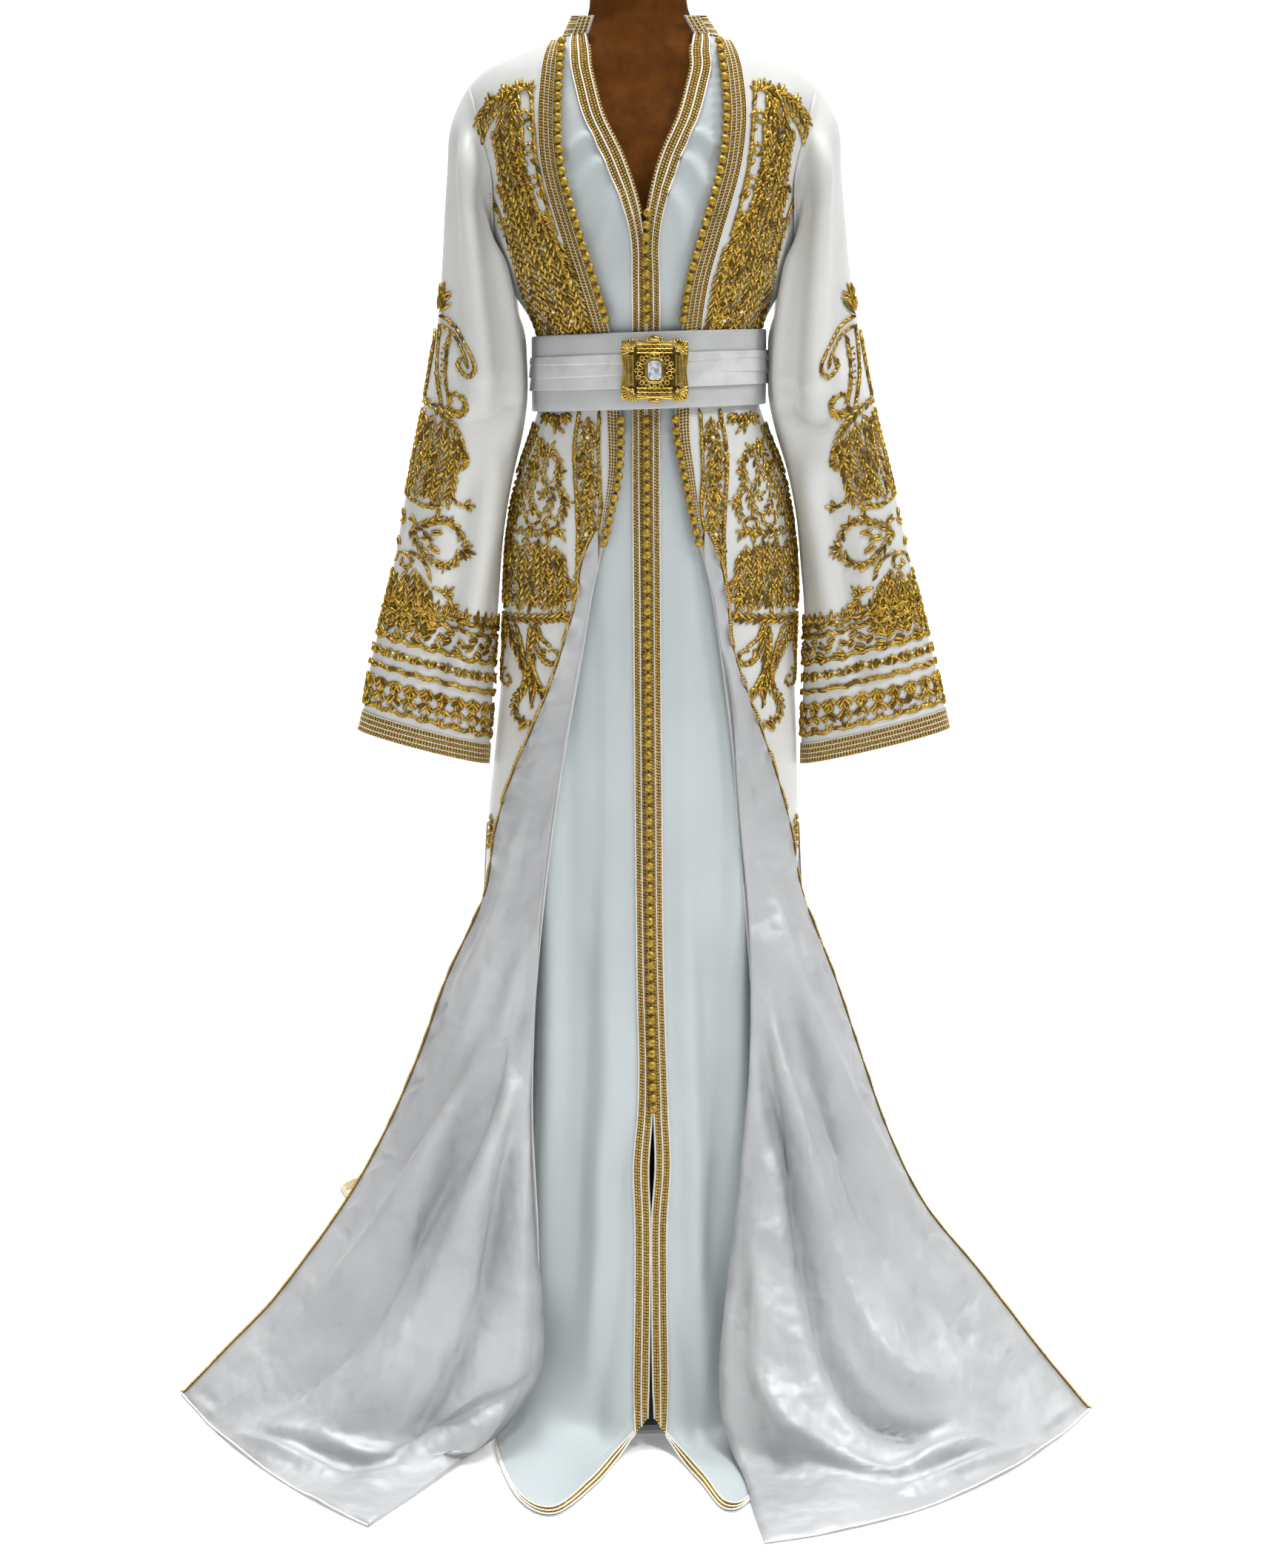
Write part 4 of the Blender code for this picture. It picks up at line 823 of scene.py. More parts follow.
def inner_front(side: str) -> Grid:
    """The inner front from the shoulder to its rounded hem on the floor.

    Args:
        side: Left or right, seen from the front.

    Returns:
        The panel's points.
    """
    sign = -1 if side == "left" else 1
    hem = HEM_LEFT if side == "left" else HEM_RIGHT
    grid = []
    for height in INNER_HEIGHTS:
        centre = read(NECKLINE, "centre", "height", height)
        edge = centre + sign * read(NECKLINE, "half", "height", height)
        start = sign * angle_at(INNER_LEVELS, height, edge)
        end = SIDE_ANGLE - side_turn(INNER_LEVELS, height)
        strip = read(INNER_BRAID, "width", "height", height)
        strip = turn_for(INNER_LEVELS, height, start, strip)
        line = [on_body(INNER_LEVELS, height, sign * start)]
        for column in range(INNER_COLUMNS):
            angle = start + strip + (end - start - strip) * column / (INNER_COLUMNS - 1)
            line.append(on_body(INNER_LEVELS, height, sign * angle))
        grid.append(line)
    above = grid[-1]
    feet = []
    for column in range(INNER_COLUMNS + 1):
        share = 0.0
        if column:
            share = FIRST_FOOT + (1 - FIRST_FOOT) * (column - 1) / (INNER_COLUMNS - 1)
        place = [read(hem, axis, "share", share) for axis in ("across", "deep", "height")]
        feet.append(Vector(place))
    for step in FLOOR_STEPS:
        line = []
        for column, (point, foot) in enumerate(zip(above, feet)):
            corner = Vector((point.x, point.y, foot.z))
            firm = min(1.0, column / INNER_COLUMNS / CORNER_REACH)
            corner = point.lerp(foot, 0.5).lerp(corner, firm)
            stay, turn, go = (1 - step) ** 2, 2 * step * (1 - step), step**2
            line.append(point * stay + corner * turn + foot * go)
        grid.append(line)
    strip_line = []
    for point, foot in zip(grid[-1], feet):
        back = point - foot
        strip_line.append(foot + back.normalized() * min(HEM_BRAID, back.length * 0.5))
    grid.append(strip_line)
    grid.append(feet)
    return grid if sign > 0 else [line[::-1] for line in grid]


def inner_back() -> Grid:
    """The inner back from the shoulders to the floor.

    Returns:
        The panel's points.
    """
    grid = []
    for height in INNER_BACK_HEIGHTS:
        start = SIDE_ANGLE + side_turn(INNER_LEVELS, height)
        line = []
        for column in range(INNER_BACK_COLUMNS + 1):
            share = even_with_narrow_ends(column, INNER_BACK_COLUMNS)
            angle = start + (2 * math.pi - 2 * start) * share
            line.append(on_body(INNER_LEVELS, height, angle))
        grid.append(line)
    return grid


def inner_collar() -> Grid:
    """The stand collar, open at the front over the neckline.

    Returns:
        The collar's points.
    """
    front = angle_at(INNER_LEVELS, INNER_TOP, COLLAR_HALF_OPEN)
    grid = []
    for is_top in (True, False):
        line = []
        for column in range(COLLAR_COLUMNS + 1):
            angle = front + (2 * math.pi - 2 * front) * column / COLLAR_COLUMNS
            if is_top:
                point = on_body(FORM, COLLAR_TOP, angle, COLLAR_STAND_OFF)
                point.z -= COLLAR_DIP * max(0.0, math.cos(angle))
            else:
                point = on_body(INNER_LEVELS, INNER_TOP, angle)
                point.z = INNER_TOP + COLLAR_SEAM
            line.append(point)
        grid.append(line)
    return grid


def sleeve(side: str) -> Grid:
    """The sleeve from the armhole to the cuff, leaning clear of the body.

    Args:
        side: Left or right, seen from the front.

    Returns:
        The sleeve's points.
    """
    sign = -1 if side == "left" else 1
    table = SLEEVE_LEFT if side == "left" else SLEEVE_RIGHT
    grid = [armhole_ring(sign)]
    for row in range(SLEEVE_ROWS):
        at = (len(table) - 2) * row / (SLEEVE_ROWS - 1)
        grid.append(sleeve_ring(table, at, sign))
    grid.append(sleeve_ring(table, len(table) - 1, sign))
    return grid


def sleeve_ring(table: Sequence[Ring], at: float, sign: int) -> list[Vector]:
    """One ring of a sleeve, pushed out where it would meet the body.

    Args:
        table: The rings of that side.
        at: The row between the rings.
        sign: Minus one on the left.

    Returns:
        The points of the ring.
    """
    marks = range(len(table))
    value = {
        name: curve_through(marks, [getattr(row, name) for row in table], at)
        for name in Ring._fields
    }
    outer = Vector((value["outer_x"], value["centre"], value["outer_z"]))
    inner = Vector((value["inner_x"], value["centre"], value["inner_z"]))
    middle, reach = (outer + inner) / 2, (outer - inner) / 2 * sign
    line = []
    for column in range(SLEEVE_SIDES):
        angle = 2 * math.pi * column / SLEEVE_SIDES - math.pi
        point = middle + reach * math.sin(angle)
        point.y -= value["deep"] * math.cos(angle)
        line.append(clear_of_body(point))
    return line + [line[0].copy()]


def clear_of_body(point: Vector) -> Vector:
    """A point moved sideways until it is clear of the dressed body.

    Args:
        point: A point of the sleeve.

    Returns:
        The point, moved where the body is in its way.
    """
    centre = read(OUTER_LEVELS, "centre", "height", point.z)
    side = on_body(OUTER_LEVELS, point.z, SIDE_ANGLE, SLEEVE_CLEAR - OUTER_DRESS)
    facing = 0.0 if point.y < 0 else math.pi
    deep = abs(on_body(OUTER_LEVELS, point.z, facing, SLEEVE_CLEAR - OUTER_DRESS).y)
    reach = math.hypot((point.x - centre) / (side.x - centre), point.y / deep)
    if reach >= 1:
        return point
    return Vector((centre + (point.x - centre) / reach, point.y / reach, point.z))


def armhole_ring(sign: int, wider: float = 1.0, out: float = SLEEVE_START) -> list[Vector]:
    """The sleeve's first ring, just outside the edge of the armhole.

    Args:
        sign: Minus one on the left.
        wider: How much wider than the armhole it is.
        out: How far out of the dress it lies.

    Returns:
        The points of the ring.
    """
    middle = (ARMHOLE_TOP + ARMHOLE_BOTTOM) / 2
    tall = (ARMHOLE_TOP - ARMHOLE_BOTTOM) / 2 * wider
    line = []
    for column in range(SLEEVE_SIDES):
        angle = 2 * math.pi * column / SLEEVE_SIDES - math.pi
        height = middle + tall * math.sin(angle) * sign
        deep = -ARMHOLE_DEEP * wider * math.cos(angle)
        facing = 0.0 if deep < 0 else math.pi
        wall = abs(on_body(OUTER_LEVELS, height, facing, out).y)
        half = on_body(OUTER_LEVELS, height, SIDE_ANGLE, out).x
        centre = read(OUTER_LEVELS, "centre", "height", height)
        across = (half - centre) * math.sqrt(1 - (deep / wall) ** 2)
        line.append(Vector((centre + sign * across, deep, height)))
    return line + [line[0].copy()]


def belt_point(angle: float, height: float, out: float) -> Vector:
    """A point round the belt, which rises a little to the right.

    Args:
        angle: The angle round the waist.
        height: The height above the belt's middle.
        out: How far out of the band's inner face.

    Returns:
        The point.
    """
    across = (BELT_HALF + out) * math.sin(angle)
    deep = (BELT_FRONT if math.cos(angle) > 0 else BELT_BACK) + out
    lift = BELT_TILT * across
    return Vector((BELT_CENTRE + across, -deep * math.cos(angle), BELT_MIDDLE + height + lift))


class Way(Enum):
    """The direction in which a braid runs on its panel."""

    DOWN = "down"
    ACROSS = "across"


class Node(NamedTuple):
    """Where a value of a node tree comes from: a shader node and its output."""

    node: bpy.types.Node
    output: str


# From which share of metal on the mirror takes the metal's own colour.
GILT_FROM = 0.5

# What all finishes share: how rough sheen and coat are, how fine each noise gets, and how far
# the threads of the weave wander and stand out.
SHEEN_ROUGHNESS = 0.4
COAT_ROUGHNESS = 0.12
PATCH_DETAIL = 3.0
GRAIN_DETAIL = 2.0
CRUMPLE_DETAIL = 2.5
WEAVE_WANDER = 0.4
WEAVE_DEPTH = 0.00004

# Where on the noise the dark and the light colour stand, and how the roughness follows it.
COLOUR_ENDS = (0.32, 0.68)
GLOSS_ENDS = (0.85, 1.15)


def soft_noise(tree: bpy.types.NodeTree, place: bpy.types.Node, scale: float,
               detail: float) -> Node:
    """Adds a soft noise on the object's own coordinates.

    Args:
        tree: The material's nodes.
        place: The texture coordinates.
        scale: How many changes there are in a metre.
        detail: How fine it gets.

    Returns:
        The noise.
    """
    texture = tree.nodes.new("ShaderNodeTexNoise")
    texture.inputs["Scale"].default_value = scale
    texture.inputs["Detail"].default_value = detail
    tree.links.new(place.outputs["Object"], texture.inputs["Vector"])
    return Node(texture, "Fac")


def link_colour(tree: bpy.types.NodeTree, source: Node, ends: tuple[float, float],
                colours: Sequence[tuple[float, float, float]]) -> None:
    """Links a change from a dark to a light colour to the material's shader.

    Args:
        tree: The material's nodes.
        source: What places the two colours.
        ends: Where on it the dark and the light colour stand.
        colours: The dark and the light colour.
    """
    ramp = tree.nodes.new("ShaderNodeValToRGB")
    for element, end, colour in zip(ramp.color_ramp.elements, ends, colours):
        element.position = end
        element.color = (*colour, 1.0)
    shader = tree.nodes["Principled BSDF"]
    tree.links.new(source.node.outputs[source.output], ramp.inputs["Fac"])
    tree.links.new(ramp.outputs["Color"], shader.inputs["Base Color"])


def link_gloss(tree: bpy.types.NodeTree, source: Node, least: float, most: float) -> None:
    """Links a roughness that changes a little over the piece to the material's shader.

    Args:
        tree: The material's nodes.
        source: What places the change.
        least: The least roughness.
        most: The most.
    """
    spread = tree.nodes.new("ShaderNodeMapRange")
    spread.inputs["To Min"].default_value = least
    spread.inputs["To Max"].default_value = most
    shader = tree.nodes["Principled BSDF"]
    tree.links.new(source.node.outputs[source.output], spread.inputs["Value"])
    tree.links.new(spread.outputs["Result"], shader.inputs["Roughness"])


@dataclass(frozen=True)
class Finish:
    """A surface finish: its colours, gloss and relief.

    Attributes:
        name: The name of the material.
        light: Its lighter colour.
        dark: Its darker colour, in the hollows of the pattern.
        roughness: How matt it is.
        metallic: How far it is metal.
        sheen: How much soft light its fibres catch.
        coat: How much of a clear gloss lies on it.
        patch: How many changes of colour there are in a metre.
        soft: The depth of its soft crumples, in metres.
        crumple: How many crumples there are in a metre.
        grain: The depth of its fine grain, in metres.
        fine: How many grains there are in a metre.
        weave: Threads in a metre where it is woven, or none.
        glow: How bright it is by itself, on paper that is lit from behind.
        shine: How much it mirrors where it is not metal.
    """

    name: str
    light: tuple[float, float, float]
    dark: tuple[float, float, float]
    roughness: float = 0.5
    metallic: float = 0.0
    sheen: float = 0.0
    coat: float = 0.0
    patch: float = 12.0
    soft: float = 0.0
    crumple: float = 14.0
    grain: float = 0.00012
    fine: float = 900.0
    weave: float = 0.0
    glow: float = 0.0
    shine: float = 0.5

    def make(self) -> bpy.types.Material:
        """Makes the material, or gives the one already made.

        Returns:
            The material.
        """
        name = f"{self.name}_look"
        if name in bpy.data.materials:
            return bpy.data.materials[name]
        material = bpy.data.materials.new(name)
        material.use_nodes = True
        tree = material.node_tree
        shader = tree.nodes["Principled BSDF"]
        shader.inputs["Metallic"].default_value = self.metallic
        shader.inputs["Specular IOR Level"].default_value = self.shine
        if self.metallic >= GILT_FROM:
            shader.inputs["Specular Tint"].default_value = (*self.light, 1.0)
        shader.inputs["Sheen Weight"].default_value = self.sheen
        shader.inputs["Sheen Roughness"].default_value = SHEEN_ROUGHNESS
        shader.inputs["Coat Weight"].default_value = self.coat
        shader.inputs["Coat Roughness"].default_value = COAT_ROUGHNESS
        shader.inputs["Emission Strength"].default_value = self.glow
        place = tree.nodes.new("ShaderNodeTexCoord")
        patches = soft_noise(tree, place, self.patch, PATCH_DETAIL)
        link_colour(tree, patches, COLOUR_ENDS, (self.dark, self.light))
        least, most = (self.roughness * share for share in GLOSS_ENDS)
        link_gloss(tree, patches, least, min(1.0, most))
        grains = soft_noise(tree, place, self.fine, GRAIN_DETAIL)
        relief = self.bump(tree, grains, self.grain, None)
        if self.soft:
            crumples = soft_noise(tree, place, self.crumple, CRUMPLE_DETAIL)
            relief = self.bump(tree, crumples, self.soft, relief)
        if self.weave:
            for bands in ("X", "Y"):
                threads = self.threads(tree, place, bands)
                relief = self.bump(tree, threads, WEAVE_DEPTH, relief)
        tree.links.new(relief.node.outputs[relief.output], shader.inputs["Normal"])
        material.diffuse_color = (*self.light, 1.0)
        return material

    def threads(self, tree: bpy.types.NodeTree, place: bpy.types.Node, bands: str) -> Node:
        """Adds the threads of the weave on the piece's own flat coordinates.

        Args:
            tree: The material's nodes.
            place: The texture coordinates.
            bands: The axis across the threads.

        Returns:
            The threads.
        """
        texture = tree.nodes.new("ShaderNodeTexWave")
        texture.bands_direction = bands
        texture.inputs["Scale"].default_value = self.weave / math.tau
        texture.inputs["Distortion"].default_value = WEAVE_WANDER
        tree.links.new(place.outputs["UV"], texture.inputs["Vector"])
        return Node(texture, "Fac")

    @staticmethod
    def bump(tree: bpy.types.NodeTree, height: Node, depth: float, under: Node | None) -> Node:
        """Adds a relief on top of another one.

        Args:
            tree: The material's nodes.
            height: The height of the relief.
            depth: Its depth in metres.
            under: The relief below it.

        Returns:
            The relief.
        """
        node = tree.nodes.new("ShaderNodeBump")
        node.inputs["Distance"].default_value = depth
        tree.links.new(height.node.outputs[height.output], node.inputs["Height"])
        if under:
            tree.links.new(under.node.outputs[under.output], node.inputs["Normal"])
        return Node(node, "Normal")


ICE_SATIN = Finish("ice_satin", (0.52, 0.570, 0.584), (0.46, 0.510, 0.522), roughness=0.38,
                   patch=5.0, soft=0.0022, crumple=9.0, grain=0.00002, fine=1400.0, weave=2600.0)
IVORY_SATIN = Finish("ivory_satin", (0.70, 0.705, 0.69), (0.63, 0.635, 0.61), roughness=0.34,
                     patch=5.0, soft=0.0024, crumple=11.0, grain=0.00002, fine=1400.0, weave=2600.0)
SILVER_SATIN = Finish("silver_satin", (0.515, 0.525, 0.535), (0.40, 0.41, 0.42), roughness=0.45,
                      metallic=0.20, shine=0.5, patch=6.0, soft=0.0120, crumple=20.0, grain=0.00002,
                      fine=1400.0, weave=2600.0)
BRAID_THREAD = Finish("gold_braid", (0.82, 0.61, 0.23), (0.48, 0.32, 0.075), roughness=0.34,
                      metallic=0.5, patch=420.0, grain=0.0002, fine=1500.0)
# A darker copy of the gold thread: painted shade on the braids' ground, the cords' core and the
# links between the buttons, and the darker gold that some stitches take at random.
DARK_GOLD_AND_SHADE = Finish("dark_gold_and_painted_shade", (0.24, 0.14, 0.022), (0.10, 0.052, 0.007), roughness=0.4,
                     metallic=0.6, patch=400.0, grain=0.0002, fine=1500.0)
BALL_THREAD = Finish("gold_buttons", (0.58, 0.40, 0.075), (0.22, 0.13, 0.016), roughness=0.34,
                     metallic=0.6, patch=420.0, grain=0.0004, fine=1300.0)
PURL_THREAD = Finish("gold_embroidery", (0.68, 0.46, 0.095), (0.24, 0.14, 0.018), roughness=0.26,
                     metallic=0.9, patch=210.0, grain=0.0004, fine=1000.0)
WHITE_PIPING = Finish("white_piping", (0.84, 0.82, 0.78), (0.74, 0.70, 0.62), roughness=0.55,
                      patch=300.0, grain=0.00015, fine=1600.0)
BELT_LEATHER = Finish("belt_leather", (0.52, 0.535, 0.53), (0.46, 0.475, 0.47), roughness=0.36,
                      patch=30.0, grain=0.00008, fine=1100.0)
SASH_SATIN = Finish("sash_satin", (0.66, 0.67, 0.665), (0.56, 0.57, 0.565), roughness=0.28,
                    patch=40.0, soft=0.0006, crumple=60.0, grain=0.00003, fine=1400.0)
GOLD_METAL = Finish("gold_metal", (0.72, 0.52, 0.135), (0.44, 0.28, 0.05), roughness=0.2,
                    metallic=1.0, patch=160.0, grain=0.00005, fine=700.0)
# The dark finish of the buckle's backing plates: painted shade in the hollow behind the openwork.
BACKING_SHADE = Finish("painted_shade_backing", (0.24, 0.15, 0.045), (0.09, 0.055, 0.014), roughness=0.35,
                     metallic=0.7, patch=200.0)
VELVET = Finish("form_velvet", (0.128, 0.042, 0.006), (0.080, 0.024, 0.003), roughness=0.9,
                patch=60.0, grain=0.00035, fine=700.0, shine=0.08)
PEARL = Finish("pearl", (0.86, 0.83, 0.76), (0.80, 0.76, 0.70), roughness=0.2, coat=0.5, patch=60.0)
SEQUIN = Finish("sequin", (0.80, 0.62, 0.28), (0.42, 0.30, 0.10), roughness=0.12, metallic=1.0,
                patch=120.0, grain=0.00002)
PAPER = Finish("white_paper", (0.84, 0.84, 0.84), (0.82, 0.82, 0.82), roughness=0.9, patch=2.0,
               glow=0.22)
WALL_PAPER = Finish("lit_wall", (0.84, 0.84, 0.84), (0.82, 0.82, 0.82), roughness=0.9, patch=2.0,
                    glow=0.75)
POLE_STEEL = Finish("pole_steel", (0.10, 0.095, 0.09), (0.05, 0.045, 0.04), roughness=0.38,
                    metallic=0.8, patch=30.0)
BASE_ENAMEL = Finish("base_enamel", (0.74, 0.75, 0.76), (0.70, 0.71, 0.72), roughness=0.45,
                     coat=0.2,
                     patch=8.0, grain=0.00006, fine=300.0)


@dataclass(frozen=True)
class CutGem:
    """The clear stone: a glassy body that lets the metal under it show.

    Attributes:
        name: The name of the material.
        clear: How much of the light passes it.
        metallic: How far it mirrors like metal.
        bends: How much it bends light.
        clouds: How many changes of colour there are in a metre.
        dark: Its darker colour.
        light: Its lighter colour.
        colour_ends: Where on the noise the two colours stand.
        roughness: How matt it is at the least and at the most.
    """

    name: str = "clear_stone"
    clear: float = 0.10
    metallic: float = 0.20
    bends: float = 1.9
    clouds: float = 330.0
    dark: tuple[float, float, float] = (0.36, 0.40, 0.44)
    light: tuple[float, float, float] = (0.97, 0.98, 1.00)
    colour_ends: tuple[float, float] = (0.38, 0.60)
    roughness: tuple[float, float] = (0.03, 0.08)

    def make(self) -> bpy.types.Material:
        """Makes the material.

        Returns:
            The material.
        """
        material = bpy.data.materials.new(f"{self.name}_look")
        material.use_nodes = True
        tree = material.node_tree
        shader = tree.nodes["Principled BSDF"]
        shader.inputs["Transmission Weight"].default_value = self.clear
        shader.inputs["Metallic"].default_value = self.metallic
        shader.inputs["IOR"].default_value = self.bends
        shader.inputs["Coat Weight"].default_value = 1.0
        place = tree.nodes.new("ShaderNodeTexCoord")
        clouds = soft_noise(tree, place, self.clouds, GRAIN_DETAIL)
        link_colour(tree, clouds, self.colour_ends, (self.dark, self.light))
        link_gloss(tree, clouds, *self.roughness)
        return material


# The shortest length that is divided by, and the nearest that two lines of a grid may lie.
TINY = 1e-12
NARROWEST = 1e-5

# Points nearer than this are one where a closed sheet meets itself.
WELD = 1e-6

# A fold's points for each of its marks, and in which part of its length it fades at each end.
CREASE_POINTS = 8
CREASE_FADE = 5

# The slight unevenness of cloth: how many bumps there are in a metre, the coarse and the fine
# ones, and how high the fine ones are beside the coarse ones.
COARSE_BUMPS = 9.0
FINE_BUMPS = 24.0
FINE_SHARE = 0.5

# How many cells at a side edge keep still.
STILL_CELLS = 4

# The heights below which folds may stand out and go in further, over which height that sets in,
# and how much further they may then reach.
HANGS_FROM = 0.70
SWINGS_FROM = 0.53
HANGS_OVER = 0.22
FREE_BELOW = 0.040

# How far past its end heights a line or a strip is still kept.
ROW_SLACK = 0.004

# The worked band of the outer dress beside its strip: its width at the tip of its point, at the
# point's top, under the belt and on the chest, and where these are.
BAND_SHARES = (0.16, 0.50, 0.66, 0.86)
BAND_POINT = 0.05
BAND_HEIGHTS = (1.046, 1.13)


def smooth_through(lines: np.ndarray, knots: np.ndarray, at: np.ndarray) -> np.ndarray:
    """Reads a smooth curve through whole lines of points.

    Args:
        lines: The lines, one for each knot.
        knots: Where the lines stand.
        at: Where the curve is read.

    Returns:
        One line for each place.
    """
    steps = np.diff(knots)
    rates = np.diff(lines, axis=0) / steps[:, None, None]
    slopes = np.empty_like(lines)
    share = (steps[:-1] / (steps[:-1] + steps[1:]))[:, None, None]
    slopes[1:-1] = rates[:-1] * (1 - share) + rates[1:] * share
    slopes[0] = 1.5 * rates[0] - 0.5 * slopes[1]
    slopes[-1] = 1.5 * rates[-1] - 0.5 * slopes[-2]
    cell = np.clip(np.searchsorted(knots, at, side="right") - 1, 0, len(steps) - 1)
    wide = steps[cell][:, None, None]
    t = ((at - knots[cell])[:, None, None]) / wide
    return (
        lines[cell] * (2 * t**3 - 3 * t**2 + 1)
        + slopes[cell] * wide * (t**3 - 2 * t**2 + t)
        + lines[cell + 1] * (3 * t**2 - 2 * t**3)
        + slopes[cell + 1] * wide * (t**3 - t**2)
    )


def refined(lines: np.ndarray, size: float, closed: bool = False) -> tuple[np.ndarray, list[int]]:
    """Puts more lines between the lines of a grid.

    Args:
        lines: The grid's lines.
        size: The widest gap between the new lines.
        closed: Whether the last line is the first one again.

    Returns:
        The new lines, and which of them each old line became.
    """
    gaps = np.linalg.norm(np.diff(lines, axis=0), axis=2).mean(axis=1)
    gaps = np.maximum(gaps, NARROWEST)
    parts = [max(1, math.ceil(gap / size)) for gap in gaps]
    ends = np.concatenate([[0.0], np.cumsum(gaps)])
    knots = ends
    if closed:
        lines = np.concatenate([lines[-2:-1], lines, lines[1:2]])
        knots = np.concatenate([[-gaps[-1]], ends, [ends[-1] + gaps[0]]])
    spans = zip(ends, ends[1:], parts)
    places = [np.linspace(a, b, count, endpoint=False) for a, b, count in spans]
    at = np.concatenate(places + [ends[-1:]])
    return smooth_through(lines, knots, at), [0] + list(np.cumsum(parts))


def unit(vectors: np.ndarray) -> np.ndarray:
    """Gives vectors the length one."""
    return vectors / np.maximum(np.linalg.norm(vectors, axis=-1, keepdims=True), TINY)


def along_of(line: np.ndarray) -> np.ndarray:
    """The direction of a line at each of its points."""
    return unit(np.gradient(line, axis=0))


@dataclass(frozen=True)
class Crease:
    """A soft fold: a ridge where its depth is positive, a trough where it is negative.

    Attributes:
        path: Points as shares, from the front edge outwards and from the top down.
        width: How wide it is.
        depth: How far it stands out.
    """

    path: tuple[tuple[float, float], ...]
    width: float
    depth: float

    def lift(self, sheet: "Sheet", mirrored: bool) -> np.ndarray:
        """How far the crease moves each point of a sheet.

        Args:
            sheet: The sheet.
            mirrored: Whether the front edge is the sheet's last column.

        Returns:
            The distance of each point.
        """
        shares = np.array(self.path)
        knots = np.arange(len(shares), dtype=float)
        at = np.linspace(0, len(shares) - 1, CREASE_POINTS * len(shares))
        if len(shares) > 2:
            shares = smooth_through(shares[:, None, :], knots, at)[:, 0]
        if mirrored:
            shares = shares * (-1, 1) + (1, 0)
        line = sheet.at(shares[:, 0], shares[:, 1])
        flat = sheet.points.reshape(-1, 3)
        near = np.full(len(flat), np.inf)
        taper = np.zeros(len(flat))
        pieces = len(line) - 1
        for step in range(pieces):
            run = line[step + 1] - line[step]
            t = np.clip((flat - line[step]) @ run / max(run @ run, TINY), 0, 1)
            gap = np.linalg.norm(flat - line[step] - t[:, None] * run, axis=1)
            closer = gap < near
            near = np.where(closer, gap, near)
            taper = np.where(closer, (step + t) / pieces, taper)
        fade = np.clip(np.minimum(taper, 1 - taper) * CREASE_FADE, 0, 1)
        fade = fade * fade * (3 - 2 * fade)
        return self.depth * np.exp(-((near / self.width) ** 2)) * fade


